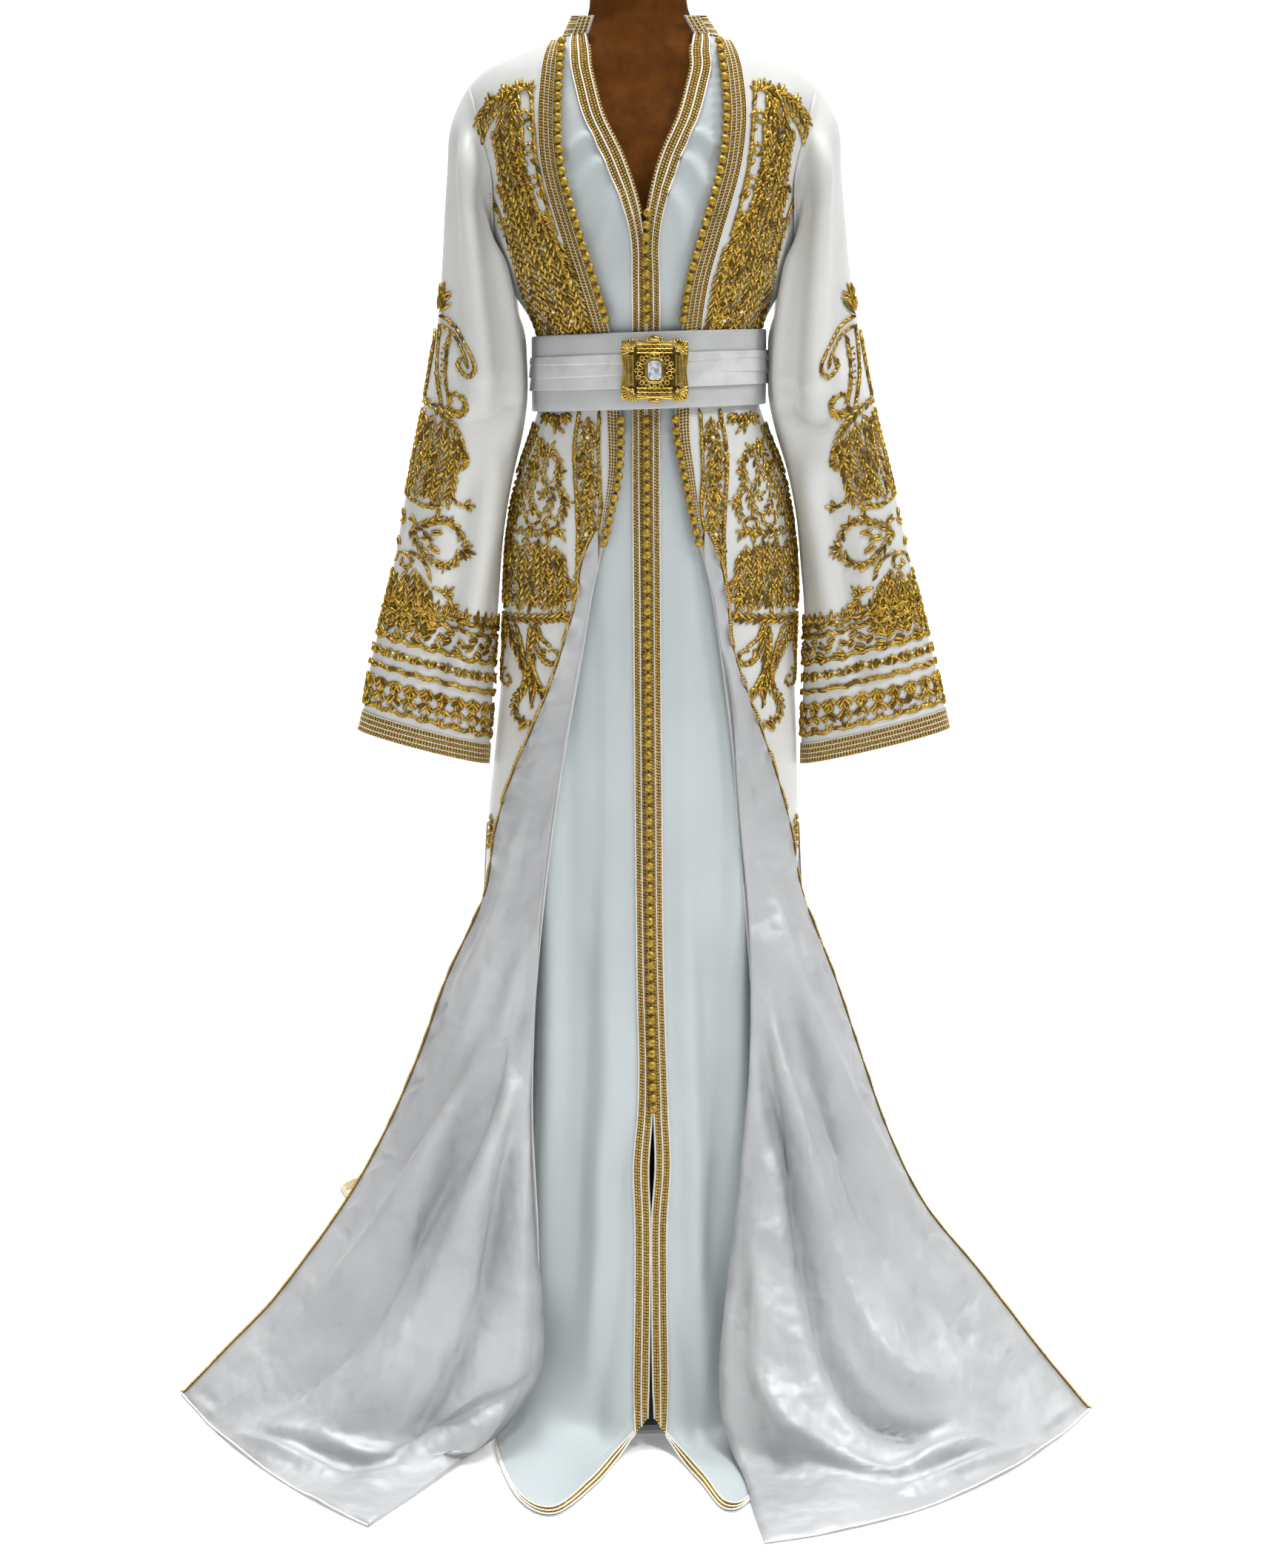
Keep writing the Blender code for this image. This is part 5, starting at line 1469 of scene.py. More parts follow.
@dataclass
class Sheet:
    """A smooth sheet through a coarse grid of points.

    Attributes:
        points: The fine points, rows down and columns to the right.
        rows: The fine row of each coarse row.
        columns: The fine column of each coarse column.
        closed: Whether the last column is the first one again.
    """

    points: np.ndarray
    rows: list[int]
    columns: list[int]
    closed: bool = False

    @classmethod
    def through(cls, grid: Grid, size: float, closed: bool = False) -> "Sheet":
        """Lays a smooth sheet through a coarse grid.

        Args:
            grid: The coarse points.
            size: The size of the sheet's cells.
            closed: Whether the last column is the first one again.

        Returns:
            The sheet.
        """
        coarse = np.array([[tuple(point) for point in line] for line in grid])
        down, rows = refined(coarse, size)
        across, columns = refined(down.transpose(1, 0, 2), size, closed)
        return cls(across.transpose(1, 0, 2), rows, columns, closed)

    def normals(self) -> np.ndarray:
        """The direction out of the cloth at each point.

        Returns:
            The directions.
        """
        across = np.gradient(self.points, axis=1)
        if self.closed:
            across[:, 0] = across[:, -1] = self.points[:, 1] - self.points[:, -2]
        return unit(np.cross(across, -np.gradient(self.points, axis=0)))

    def at(self, across: np.ndarray, down: np.ndarray,
           grid: np.ndarray | None = None) -> np.ndarray:
        """Reads points at shares of the sheet's width and height.

        Args:
            across: Shares from the first to the last column.
            down: Shares from the top to the bottom row.
            grid: What is read, in place of the points.

        Returns:
            One point for each pair of shares.
        """
        grid = self.points if grid is None else grid
        rows, columns = grid.shape[:2]
        r, c = np.clip(down, 0, 1) * (rows - 1), np.clip(across, 0, 1) * (columns - 1)
        r0 = np.minimum(r.astype(int), rows - 2)
        c0 = np.minimum(c.astype(int), columns - 2)
        fr, fc = (r - r0)[..., None], (c - c0)[..., None]
        top = grid[r0, c0] * (1 - fc) + grid[r0, c0 + 1] * fc
        low = grid[r0 + 1, c0] * (1 - fc) + grid[r0 + 1, c0 + 1] * fc
        return top * (1 - fr) + low * fr

    def creased(self, creases: Sequence[Crease], mirrored: bool, rough: float, seed: float,
                room: tuple[float, float]) -> None:
        """Gives the sheet its folds and a slight unevenness, with still side edges.

        Args:
            creases: The folds.
            mirrored: Whether the front edge is the last column.
            rough: The height of the unevenness.
            seed: Where the unevenness is read.
            room: How far the cloth may move in and out where it lies on the form.
        """
        lift = np.zeros(self.points.shape[0] * self.points.shape[1])
        for crease in creases:
            lift += crease.lift(self, mirrored)
        flat = self.points.reshape(-1, 3)
        uneven = [
            noise.noise(Vector(p) * COARSE_BUMPS + Vector((seed, 0, 0)))
            + FINE_SHARE * noise.noise(Vector(p) * FINE_BUMPS + Vector((0, seed, 0)))
            for p in flat
        ]
        lift = (lift + rough * np.array(uneven)).reshape(self.points.shape[:2])
        if not self.closed:
            cells = np.arange(lift.shape[1])
            edge = np.minimum(cells, cells[::-1]) / STILL_CELLS
            lift = lift * np.clip(edge, 0, 1)[None, :]
        lift[: self.rows[1]] *= np.linspace(0, 1, self.rows[1])[:, None]
        low_in, low_out = (np.clip((top - self.points[..., 2]) / HANGS_OVER, 0, 1)
                           for top in (SWINGS_FROM, HANGS_FROM))
        limit = np.where(lift < 0, room[0] + FREE_BELOW * low_in, room[1] + FREE_BELOW * low_out)
        lift = limit * np.tanh(lift / limit)
        self.points = self.points + self.normals() * lift[..., None]

    def part(self, top: int, bottom: int, left: int, right: int) -> "Sheet":
        """Cuts out the part between coarse rows and columns.

        Args:
            top: The first coarse row.
            bottom: The last coarse row.
            left: The first coarse column.
            right: The last coarse column.

        Returns:
            The part.
        """
        rows = slice(self.rows[top], self.rows[bottom] + 1)
        columns = slice(self.columns[left], self.columns[right] + 1)
        cut = self.points[rows, columns]
        return Sheet(cut, [0, cut.shape[0] - 1], [0, cut.shape[1] - 1])

    def narrowed(self, edge_last: bool, low: float) -> "Sheet":
        """A band's strip, cut to a point that ends at a height.

        Args:
            edge_last: Whether its straight edge is the last column.
            low: The height of the point.

        Returns:
            The strip.
        """
        heights = self.points[..., 2].mean(axis=1)
        keep = self.points[heights >= low - ROW_SLACK]
        marks = (low, low + BAND_POINT, *BAND_HEIGHTS)
        share = np.interp(heights[: len(keep)], marks, BAND_SHARES)
        across = np.linspace(0, 1, keep.shape[1])[None, :] * share[:, None]
        across = across + (1 - share[:, None]) if edge_last else across
        down = np.broadcast_to(np.linspace(0, 1, len(keep))[:, None], across.shape)
        points = self.at(across, down, keep)
        return Sheet(points, [0, len(keep) - 1], [0, keep.shape[1] - 1])

    def moved(self, distance: float) -> "Sheet":
        """The sheet moved out along its normals."""
        points = self.points + self.normals() * distance
        return Sheet(points, self.rows, self.columns, self.closed)

    def turned(self) -> "Sheet":
        """The sheet read with its columns as rows, still facing out."""
        return Sheet(self.points.transpose(1, 0, 2)[:, ::-1], self.columns, self.rows)

    def size(self) -> tuple[float, float]:
        """The mean width and length of the sheet."""
        wide = np.linalg.norm(np.diff(self.points, axis=1), axis=2).sum(axis=1).mean()
        tall = np.linalg.norm(np.diff(self.points, axis=0), axis=2).sum(axis=0).mean()
        return float(wide), float(tall)


@dataclass
class Shape:
    """A small mesh as plain arrays, made by an operator."""

    points: np.ndarray
    faces: list[tuple[int, ...]]

    @classmethod
    def of(cls, work: bmesh.types.BMesh) -> "Shape":
        """Reads a finished bmesh and frees it.

        Args:
            work: The bmesh.

        Returns:
            Its points and faces.
        """
        work.verts.index_update()
        points = np.array([tuple(vert.co) for vert in work.verts])
        faces = [tuple(vert.index for vert in face.verts) for face in work.faces]
        work.free()
        return cls(points, faces)

    @classmethod
    def of_grid(cls, points: np.ndarray) -> "Shape":
        """Makes a grid and lays it on the given points.

        Args:
            points: The grid's rows of points.

        Returns:
            The shape.
        """
        rows, columns = points.shape[:2]
        work = bmesh.new()
        bmesh.ops.create_grid(work, x_segments=columns - 1, y_segments=rows - 1, size=1.0)
        shape = cls.of(work)
        faces = [face[::-1] for face in shape.faces]
        return cls(points.reshape(-1, 3), faces)

    @classmethod
    def ball(cls, around: int, down: int) -> "Shape":
        """A ball of half a unit radius, its poles on the x axis.

        Args:
            around: The cells round its waist.
            down: The cells from pole to pole.

        Returns:
            The shape.
        """
        work = bmesh.new()
        bmesh.ops.create_uvsphere(work, u_segments=around, v_segments=down, radius=0.5)
        bmesh.ops.recalc_face_normals(work, faces=work.faces)
        shape = cls.of(work)
        shape.points = shape.points[:, [2, 0, 1]]
        return shape


# A direction in which no thread runs, from which a tube's sides are counted.
ASIDE = (0.31, 0.17, 0.93)


@dataclass
class Joined:
    """Many small shapes gathered in one piece.

    Attributes:
        name: The piece's name.
        finishes: The finishes that it has.
    """

    name: str
    finishes: Sequence["Finish | CutGem"]
    points: list[np.ndarray] = field(default_factory=list)
    faces: list[tuple[int, ...]] = field(default_factory=list)
    slots: list[int] = field(default_factory=list)
    count: int = 0

    def add(self, points: np.ndarray, faces: Sequence[tuple[int, ...]], slot: int = 0) -> None:
        """Adds one shape.

        Args:
            points: Its points.
            faces: Its faces.
            slot: Which finish it has.
        """
        self.points.append(points.reshape(-1, 3))
        self.faces += [tuple(i + self.count for i in face) for face in faces]
        self.slots += [slot] * len(faces)
        self.count += len(points.reshape(-1, 3))

    def copies(self, shape: Shape, at: np.ndarray, along: np.ndarray, out: np.ndarray,
               size: np.ndarray | tuple[float, float, float], slot: int = 0) -> None:
        """Adds copies of a shape, each laid on the cloth in its own direction.

        Args:
            shape: The shape, along x, with z out of the cloth.
            at: The middle of each copy.
            along: The direction of each copy.
            out: The direction out of the cloth at each copy.
            size: The length, width and height, for all or for each.
            slot: Which finish they have.
        """
        if not len(at):
            return
        side = unit(np.cross(out, along))
        out = unit(np.cross(along, side))
        size = np.broadcast_to(np.asarray(size, float), (len(at), 3))
        local = shape.points[None] * size[:, None]
        points = (
            at[:, None]
            + local[..., :1] * unit(along)[:, None]
            + local[..., 1:2] * side[:, None]
            + local[..., 2:] * out[:, None]
        )
        faces = np.array(shape.faces, dtype=object)
        for copy in range(len(at)):
            start = self.count + copy * len(shape.points)
            self.faces += [tuple(i + start for i in face) for face in faces]
        self.slots += [slot] * len(shape.faces) * len(at)
        self.points.append(points.reshape(-1, 3))
        self.count += len(at) * len(shape.points)

    def tube(self, line: np.ndarray, radius: float, slot: int = 0, sides: int = 5) -> None:
        """Adds a round thread along a line.

        Args:
            line: The points of the line.
            radius: The thread's radius.
            slot: Which finish it has.
            sides: The number of its sides.
        """
        along = along_of(line)
        first = unit(np.cross(along, ASIDE))
        second = np.cross(along, first)
        turn = np.linspace(0, math.tau, sides + 1)[:, None]
        rings = line[:, None] + radius * (
            np.cos(turn) * first[:, None] + np.sin(turn) * second[:, None]
        )
        shape = Shape.of_grid(rings)
        self.add(shape.points, shape.faces, slot)

    def finish(self, smooth: bool = True) -> bpy.types.Object:
        """Makes the piece.

        Args:
            smooth: Whether its faces are shaded smooth.

        Returns:
            The object.
        """
        mesh = bpy.data.meshes.new(self.name)
        mesh.from_pydata(np.concatenate(self.points).tolist(), [], self.faces)
        for finish in self.finishes:
            mesh.materials.append(finish.make())
        mesh.polygons.foreach_set("material_index", np.array(self.slots, dtype=np.int32))
        if smooth:
            mesh.shade_smooth()
        mesh.update()
        return link(self.name, mesh)


def link(name: str, mesh: bpy.types.Mesh) -> bpy.types.Object:
    """Puts a mesh in the scene as a piece that rides on the part's one body.

    Args:
        name: The piece's name.
        mesh: Its mesh.

    Returns:
        The object.
    """
    item = bpy.data.objects.new(name, mesh)
    bpy.context.scene.collection.objects.link(item)
    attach(item, "root")
    return item


def cloth(name: str, sheet: Sheet, finish: Finish, wall: float = 0.0012) -> bpy.types.Object:
    """Makes a thin shell of cloth whose outer face is a sheet.

    Args:
        name: The piece's name.
        sheet: Its outer face.
        finish: Its finish.
        wall: Its thickness.

    Returns:
        The object.
    """
    shape = Shape.of_grid(sheet.points)
    mesh = bpy.data.meshes.new(name)
    mesh.from_pydata(shape.points.tolist(), [], shape.faces)
    mesh.materials.append(finish.make())
    across = np.linalg.norm(np.diff(sheet.points, axis=1), axis=2)
    across = np.pad(np.cumsum(across, axis=1), ((0, 0), (1, 0)))
    down = np.linalg.norm(np.diff(sheet.points, axis=0), axis=2)
    down = np.pad(np.cumsum(down, axis=0), ((1, 0), (0, 0)))
    flat = np.stack([across, down], axis=2).reshape(-1, 2)
    corner = np.empty(len(mesh.loops), dtype=np.int32)
    mesh.loops.foreach_get("vertex_index", corner)
    mesh.uv_layers.new(name="flat").data.foreach_set("uv", flat[corner].ravel())
    if sheet.closed:
        work = bmesh.new()
        work.from_mesh(mesh)
        bmesh.ops.remove_doubles(work, verts=work.verts, dist=WELD)
        work.to_mesh(mesh)
        work.free()
    mesh.shade_smooth()
    item = link(name, mesh)
    shell = item.modifiers.new("wall", "SOLIDIFY")
    shell.thickness = wall
    shell.offset = -1.0
    LOG.info("%s: %.3f by %.3f m", name, *sheet.size())
    return item


GRAIN = Shape.ball(4, 2)
STITCH = Shape.ball(5, 4)
BEAD = Shape.ball(8, 6)

# How a braid is worked: how far its ground lies off the cloth, where the two rows of a plait lie
# and slant, how their grains lie along and aside and how long, wide and high they are, and how
# its white lines are.
GROUND_LIFT = 0.0005
PLAIT_ROWS = ((0.25, 1), (0.75, -1))
GRAIN_ALONG = 0.62
GRAIN_ASIDE = 0.78
GRAIN_SIZE = (1.35, 0.95, 1.5)
WHITE_LIFT = 0.9
WHITE_RADIUS = 0.55
WHITE_SIDES = 4


@dataclass(frozen=True)
class Braid:
    """A flat braid: gold plaits with thin white lines between them.

    Attributes:
        plaits: The number of gold plaits.
        pitch: The distance between the grains of a plait.
        rise: How high it stands on the cloth.
        line: The width of a white line.
        edge: Whether a white thread runs along each outer edge.
    """

    plaits: int
    pitch: float = 0.0031
    rise: float = 0.0015
    line: float = 0.0012
    edge: bool = True

    def lay(self, piece: Joined, sheet: Sheet, way: Way) -> None:
        """Lays the braid on a strip of cloth.

        Args:
            piece: The piece that it is added to.
            sheet: The strip.
            way: The direction in which the braid runs.
        """
        strip = sheet if way is Way.DOWN else sheet.turned()
        # The ground under the grains takes the dark gold: painted shade in the gaps between them.
        ground = strip.moved(GROUND_LIFT)
        shape = Shape.of_grid(ground.points)
        piece.add(shape.points, shape.faces, 1)
        out = strip.normals()
        width = np.linalg.norm(np.diff(strip.points, axis=1), axis=2).sum(axis=1).mean()
        white = self.line / width
        wide = (1 - white * (self.plaits + 1)) / self.plaits
        for plait in range(self.plaits):
            start = white + plait * (wide + white)
            for half, lean in PLAIT_ROWS:
                self.row(piece, strip, out, start + wide * half, width * wide / 2, lean)
        lines = range(1, self.plaits) if not self.edge else range(self.plaits + 1)
        for mark in lines:
            share = white * (mark + 0.5) + wide * mark
            track = self.track(strip, strip.points, share)
            lift = self.track(strip, out, share)
            piece.tube(track + lift * (self.rise * WHITE_LIFT), self.line * WHITE_RADIUS, 2,
                       WHITE_SIDES)

    @staticmethod
    def track(strip: Sheet, grid: np.ndarray, share: float) -> np.ndarray:
        """Reads one line down a strip."""
        rows = grid.shape[0]
        return strip.at(np.full(rows, share), np.linspace(0, 1, rows), grid)

    def row(self, piece: Joined, strip: Sheet, out: np.ndarray, share: float, wide: float,
            lean: int) -> None:
        """Lays one slanted row of grains.

        Args:
            piece: The piece that it is added to.
            strip: The strip of cloth.
            out: The direction out of the strip.
            share: The share of the way across.
            wide: The width of the row.
            lean: Which way the grains slant.
        """
        line, normals = self.track(strip, strip.points, share), self.track(strip, out, share)
        at, facing, along = spaced(line, normals, self.pitch)
        side = np.cross(facing, along)
        slant = unit(along * GRAIN_ALONG + side * GRAIN_ASIDE * lean)
        sizes = (wide * GRAIN_SIZE[0], self.pitch * GRAIN_SIZE[1], self.rise * GRAIN_SIZE[2])
        piece.copies(GRAIN, at + facing * self.rise * 0.5, slant, facing, sizes, 0)


def spaced(line: np.ndarray, normals: np.ndarray, pitch: float
           ) -> tuple[np.ndarray, np.ndarray, np.ndarray]:
    """Reads a line at even distances.

    Args:
        line: The points of the line.
        normals: The direction out at each point.
        pitch: The distance.

    Returns:
        The places, their directions out and the line's direction there.
    """
    steps = np.linalg.norm(np.diff(line, axis=0), axis=1)
    length = np.concatenate([[0.0], np.cumsum(steps)])
    count = max(2, int(length[-1] / pitch))
    want = (np.arange(count) + 0.5) * length[-1] / count
    along = along_of(line)
    read_at = [np.stack([np.interp(want, length, a[:, k]) for k in range(3)], axis=1)
               for a in (line, normals, along)]
    return read_at[0], unit(read_at[1]), unit(read_at[2])


def between(line: np.ndarray, normals: np.ndarray, top: float, bottom: float
            ) -> tuple[np.ndarray, np.ndarray]:
    """Keeps the part of a line between two heights."""
    keep = (line[:, 2] <= top + ROW_SLACK) & (line[:, 2] >= bottom - ROW_SLACK)
    return line[keep], normals[keep]


@dataclass
class BallButtons:
    """A row of ball buttons worked in thread over a core.

    Attributes:
        width: The width of a ball.
        tall: Its height beside its width.
        rise: How far its middle lies out of the cloth.
        link_rise: How far the links between the balls lie out of it.
        link_long: The length of a link beside the distance between two balls.
        link_wide: Its width.
        thread_depth: How far the crossing threads stand out of a ball.
        around: How often they turn round it.
        climbs: How often they cross on the way up.
        knot: The shape of a ball.
    """

    width: float = BUTTON_WIDTH
    tall: float = 0.86
    rise: float = 0.0048
    link_rise: float = 0.0030
    link_long: float = 0.75
    link_wide: float = 0.0034
    thread_depth: ClassVar[float] = 0.075
    around: ClassVar[int] = 5
    climbs: ClassVar[int] = 4
    knot: Shape = field(default_factory=lambda: BallButtons.worked_ball())

    @classmethod
    def worked_ball(cls) -> Shape:
        """A ball with the crossing threads of a worked button.

        Returns:
            The shape.
        """
        work = bmesh.new()
        bmesh.ops.create_icosphere(work, subdivisions=3, radius=0.5)
        for vert in work.verts:
            x, y, z = vert.co
            turn, climb = math.atan2(y, x), math.asin(max(-1.0, min(1.0, 2 * z)))
            round_way, up_way = cls.around * turn, cls.climbs * climb
            crossing = math.sin(round_way + up_way), math.cos(round_way - up_way)
            vert.co *= 1 + cls.thread_depth * crossing[0] * crossing[1]
        return Shape.of(work)

    def sew(self, name: str, sheet: Sheet, edge: int, top: float, bottom: float, pitch: float,
            past: float) -> bpy.types.Object:
        """Sews a row of buttons along the edge of a panel.

        Args:
            name: The piece's name, which is also the node's.
            sheet: The panel.
            edge: The panel's column along which they lie.
            top: The height of the first one.
            bottom: The height of the last one.
            pitch: The distance between them.
            past: How far past the edge their middle lies.

        Returns:
            The object.
        """
        beside = 1 if edge == 0 else -2
        away = unit(sheet.points[:, edge] - sheet.points[:, beside])
        line = sheet.points[:, edge] + away * past
        line, out = between(line, sheet.normals()[:, edge], top, bottom)
        at, facing, along = spaced(line, out, pitch)
        piece = Joined(name + "_worked", (BALL_THREAD, DARK_GOLD_AND_SHADE))
        size = (self.width, self.width, self.width * self.tall)
        piece.copies(self.knot, at + facing * self.rise, along, facing, size)
        # The links of cord between the balls take the dark gold: painted shade between the buttons.
        link_at = (at[:-1] + at[1:]) / 2
        piece.copies(GRAIN, link_at + facing[1:] * self.link_rise, along[1:], facing[1:],
                     (pitch * self.link_long, self.link_wide, self.link_wide), 1)
        item = piece.finish()
        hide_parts(name)
        return item


SIDES = ("left", "right")

# The rows of the sleeve that the cuff's embroidery covers, and how much of the way round a side
# the ruler across counts.
CUFF_BAND_ROWS = 3
SIDE_RULER = 0.55

# The points of a smooth line for each of its marks.
TRAIL_POINTS = 14

# How uneven stitches are in heading, length and width, and from which draw on one is dark.
UNEVEN_HEADING = 0.12
UNEVEN_LENGTH = 0.11
UNEVEN_WIDTH = 0.07
DARK_SHARE = 1.05

# How far an ear's stitch lies beside its stem, as a share of its length.
EAR_FOOT = 0.2

# A leaf's two stitches: how far they lie apart beside their width, and how far they close.
LEAF_APART = 0.42
LEAF_CLOSE = 0.14

# A fan: how much shorter its outer leaves are, and which part of a leaf lies before its place.
FAN_SHORTER = 0.28
FAN_MIDDLE = 0.6

# A comb's pitch and its stitches' width.
COMB_PITCH = 0.0026
COMB_WIDTH = 0.0027

# A scroll: its marks, how far it winds in, how its stitches lean, and how its back is filled.
CURL_MARKS = 12
CURL_IN = 0.72
CURL_LEAN = 0.28
CURL_FILL_RADIUS = 0.95
CURL_FILL_TURN = 3.4
CURL_FILL_LENGTH = 0.5

# A ring's pitch, how far its stitches turn, their length and their width.
RING_PITCH = 0.0045
RING_TURN = 1.25
RING_STITCH = (0.0088, 0.0038)

# A flower: its petals, how far out they lie, how long and how wide they are, and its pearl.
PETALS = 8
PETAL_OUT = 0.68
PETAL_LENGTH = 0.72
PETAL_WIDTH = 0.0028
PEARL_WIDTH = 0.0046

# Ears that hang side by side: the distance of their marks, how much shorter every other one is,
# and how far, how often and how differently they sway.
HANGING_STEP = 0.02
HANGING_UNEVEN = 0.003
HANGING_SWAY = 0.0014
HANGING_BENDS = 80
HANGING_SHIFT = 2.1

# How far ahead a stitch looks for its direction on the cloth, the least that this has to come
# to there, and how far the stitch stands out of the cloth beside its height.
STITCH_AHEAD = 0.001
LEAST_AHEAD = 1e-5
STITCH_LIFT = 0.42


class Gold(IntEnum):
    """The threads and beads of the embroidery, by their slot."""

    PURL = 0
    DARK = 1
    PEARL = 2
    SEQUIN = 3


def toward(turn: np.ndarray | float) -> np.ndarray:
    """The flat direction of an angle."""
    return np.stack([np.cos(turn), np.sin(turn)], axis=-1)


def trail(marks: Path, pitch: float) -> tuple[np.ndarray, np.ndarray]:
    """Even places along a smooth line drawn through flat marks.

    Args:
        marks: The marks.
        pitch: The distance between the places.

    Returns:
        The places and the heading of the line at each.
    """
    line = np.array(marks, float)
    if len(line) > 2:
        knots = np.concatenate([[0.0], np.cumsum(np.linalg.norm(np.diff(line, axis=0), axis=1))])
        fine = np.linspace(0, knots[-1], TRAIL_POINTS * len(line))
        line = smooth_through(line[:, None, :], knots, fine)[:, 0]
    flat = np.pad(line, ((0, 0), (0, 1)))
    at, _, along = spaced(flat, flat, pitch)
    return at[:, :2], np.arctan2(along[:, 1], along[:, 0])


@dataclass
class Canvas:
    """A panel with rulers on it, so that a flat drawing finds its place on the cloth.

    Attributes:
        points: The cloth's points.
        out: The direction out of the cloth at each point.
        heights: The ruler down, one mark for each row, falling.
        across: The ruler across, one mark for each point, rising.
    """

    points: np.ndarray
    out: np.ndarray
    heights: np.ndarray
    across: np.ndarray

    @classmethod
    def front(cls, sheet: Sheet, side: str) -> "Canvas":
        """Rules a front by height and by x as on the left, and round the side with the cloth.

        Args:
            sheet: The front.
            side: Left or right.

        Returns:
            The canvas.
        """
        points, out = sheet.points, sheet.normals()
        x = points[..., 0]
        if side == "right":
            levels = sorted((row.height, row.centre) for row in OUTER_LEVELS)
            centre = np.interp(points[..., 2], *zip(*levels))
            points, out, x = points[:, ::-1], out[:, ::-1], (2 * centre - x)[:, ::-1]
        run = np.linalg.norm(np.diff(points, axis=1), axis=2)
        steps = np.maximum(np.diff(x, axis=1), SIDE_RULER * run)
        behind = np.pad(np.cumsum(steps[:, ::-1], axis=1)[:, ::-1], ((0, 0), (0, 1)))
        return cls(points, out, points[..., 2].mean(axis=1), x[:, -1:] - behind)

    @classmethod
    def tube(cls, sheet: Sheet, side: str) -> "Canvas":
        """Rules a sleeve by the height of its outer line and by the distance from that line.

        Args:
            sheet: The sleeve.
            side: Left or right.

        Returns:
            The canvas.
        """
        first, last = sheet.columns[SLEEVE_SIDES * 3 // 4], sheet.columns[SLEEVE_SIDES // 4]
        start, outer = (first, last) if side == "left" else (last, first)
        points, out = sheet.points[:, :-1], sheet.normals()[:, :-1]
        turn = (outer - start) % points.shape[1]
        points, out = np.roll(points, -start, axis=1), np.roll(out, -start, axis=1)
        points = np.concatenate([points, points[:, :1]], axis=1)
        out = np.concatenate([out, out[:, :1]], axis=1)
        if side == "right":
            points, out, turn = points[:, ::-1], out[:, ::-1], points.shape[1] - 1 - turn
        run = np.linalg.norm(np.diff(points, axis=1), axis=2)
        steps = np.maximum(np.abs(np.diff(points[..., 0], axis=1)), SIDE_RULER * run)
        across = np.pad(np.cumsum(steps, axis=1), ((0, 0), (1, 0)))
        across = across - across[:, turn : turn + 1]
        return cls(points, out, points[:, turn, 2], across)

    @classmethod
    def band(cls, sheet: Sheet) -> "Canvas":
        """Rules a strip by the distance round it and the height above its lower edge.

        Args:
            sheet: The strip.

        Returns:
            The canvas.
        """
        rows, columns = sheet.points.shape[:2]
        wide, tall = sheet.size()
        across = np.broadcast_to(np.linspace(0, wide, columns), (rows, columns))
        return cls(sheet.points, sheet.normals(), np.linspace(tall, 0, rows), across)

    def pin(self, marks: np.ndarray) -> tuple[np.ndarray, np.ndarray, np.ndarray]:
        """Finds flat marks on the cloth.

        Args:
            marks: The marks, by the rulers across and down.

        Returns:
            The points, the directions out there, and whether each mark lies on the cloth.
        """
        last = len(self.heights) - 1
        down = np.interp(-marks[:, 1], -self.heights, np.arange(last + 1))
        row = np.minimum(down.astype(int), last - 1)
        both = np.concatenate([self.points, self.out], axis=2)
        found = np.empty((len(marks), 6))
        good = (marks[:, 1] <= self.heights[0]) & (marks[:, 1] >= self.heights[-1])
        columns = np.arange(both.shape[1])
        for r in np.unique(row):
            mine = row == r
            wanted = marks[mine, 0]
            ends = []
            for line in (r, r + 1):
                at = np.interp(wanted, self.across[line], columns)
                values = [np.interp(at, columns, both[line, :, k]) for k in range(6)]
                ends.append(np.stack(values, 1))
            share = (down[mine] - r)[:, None]
            found[mine] = ends[0] * (1 - share) + ends[1] * share
            good[mine] &= (wanted > self.across[r, 0]) & (wanted < self.across[r, -1])
        return found[:, :3], unit(found[:, 3:]), good


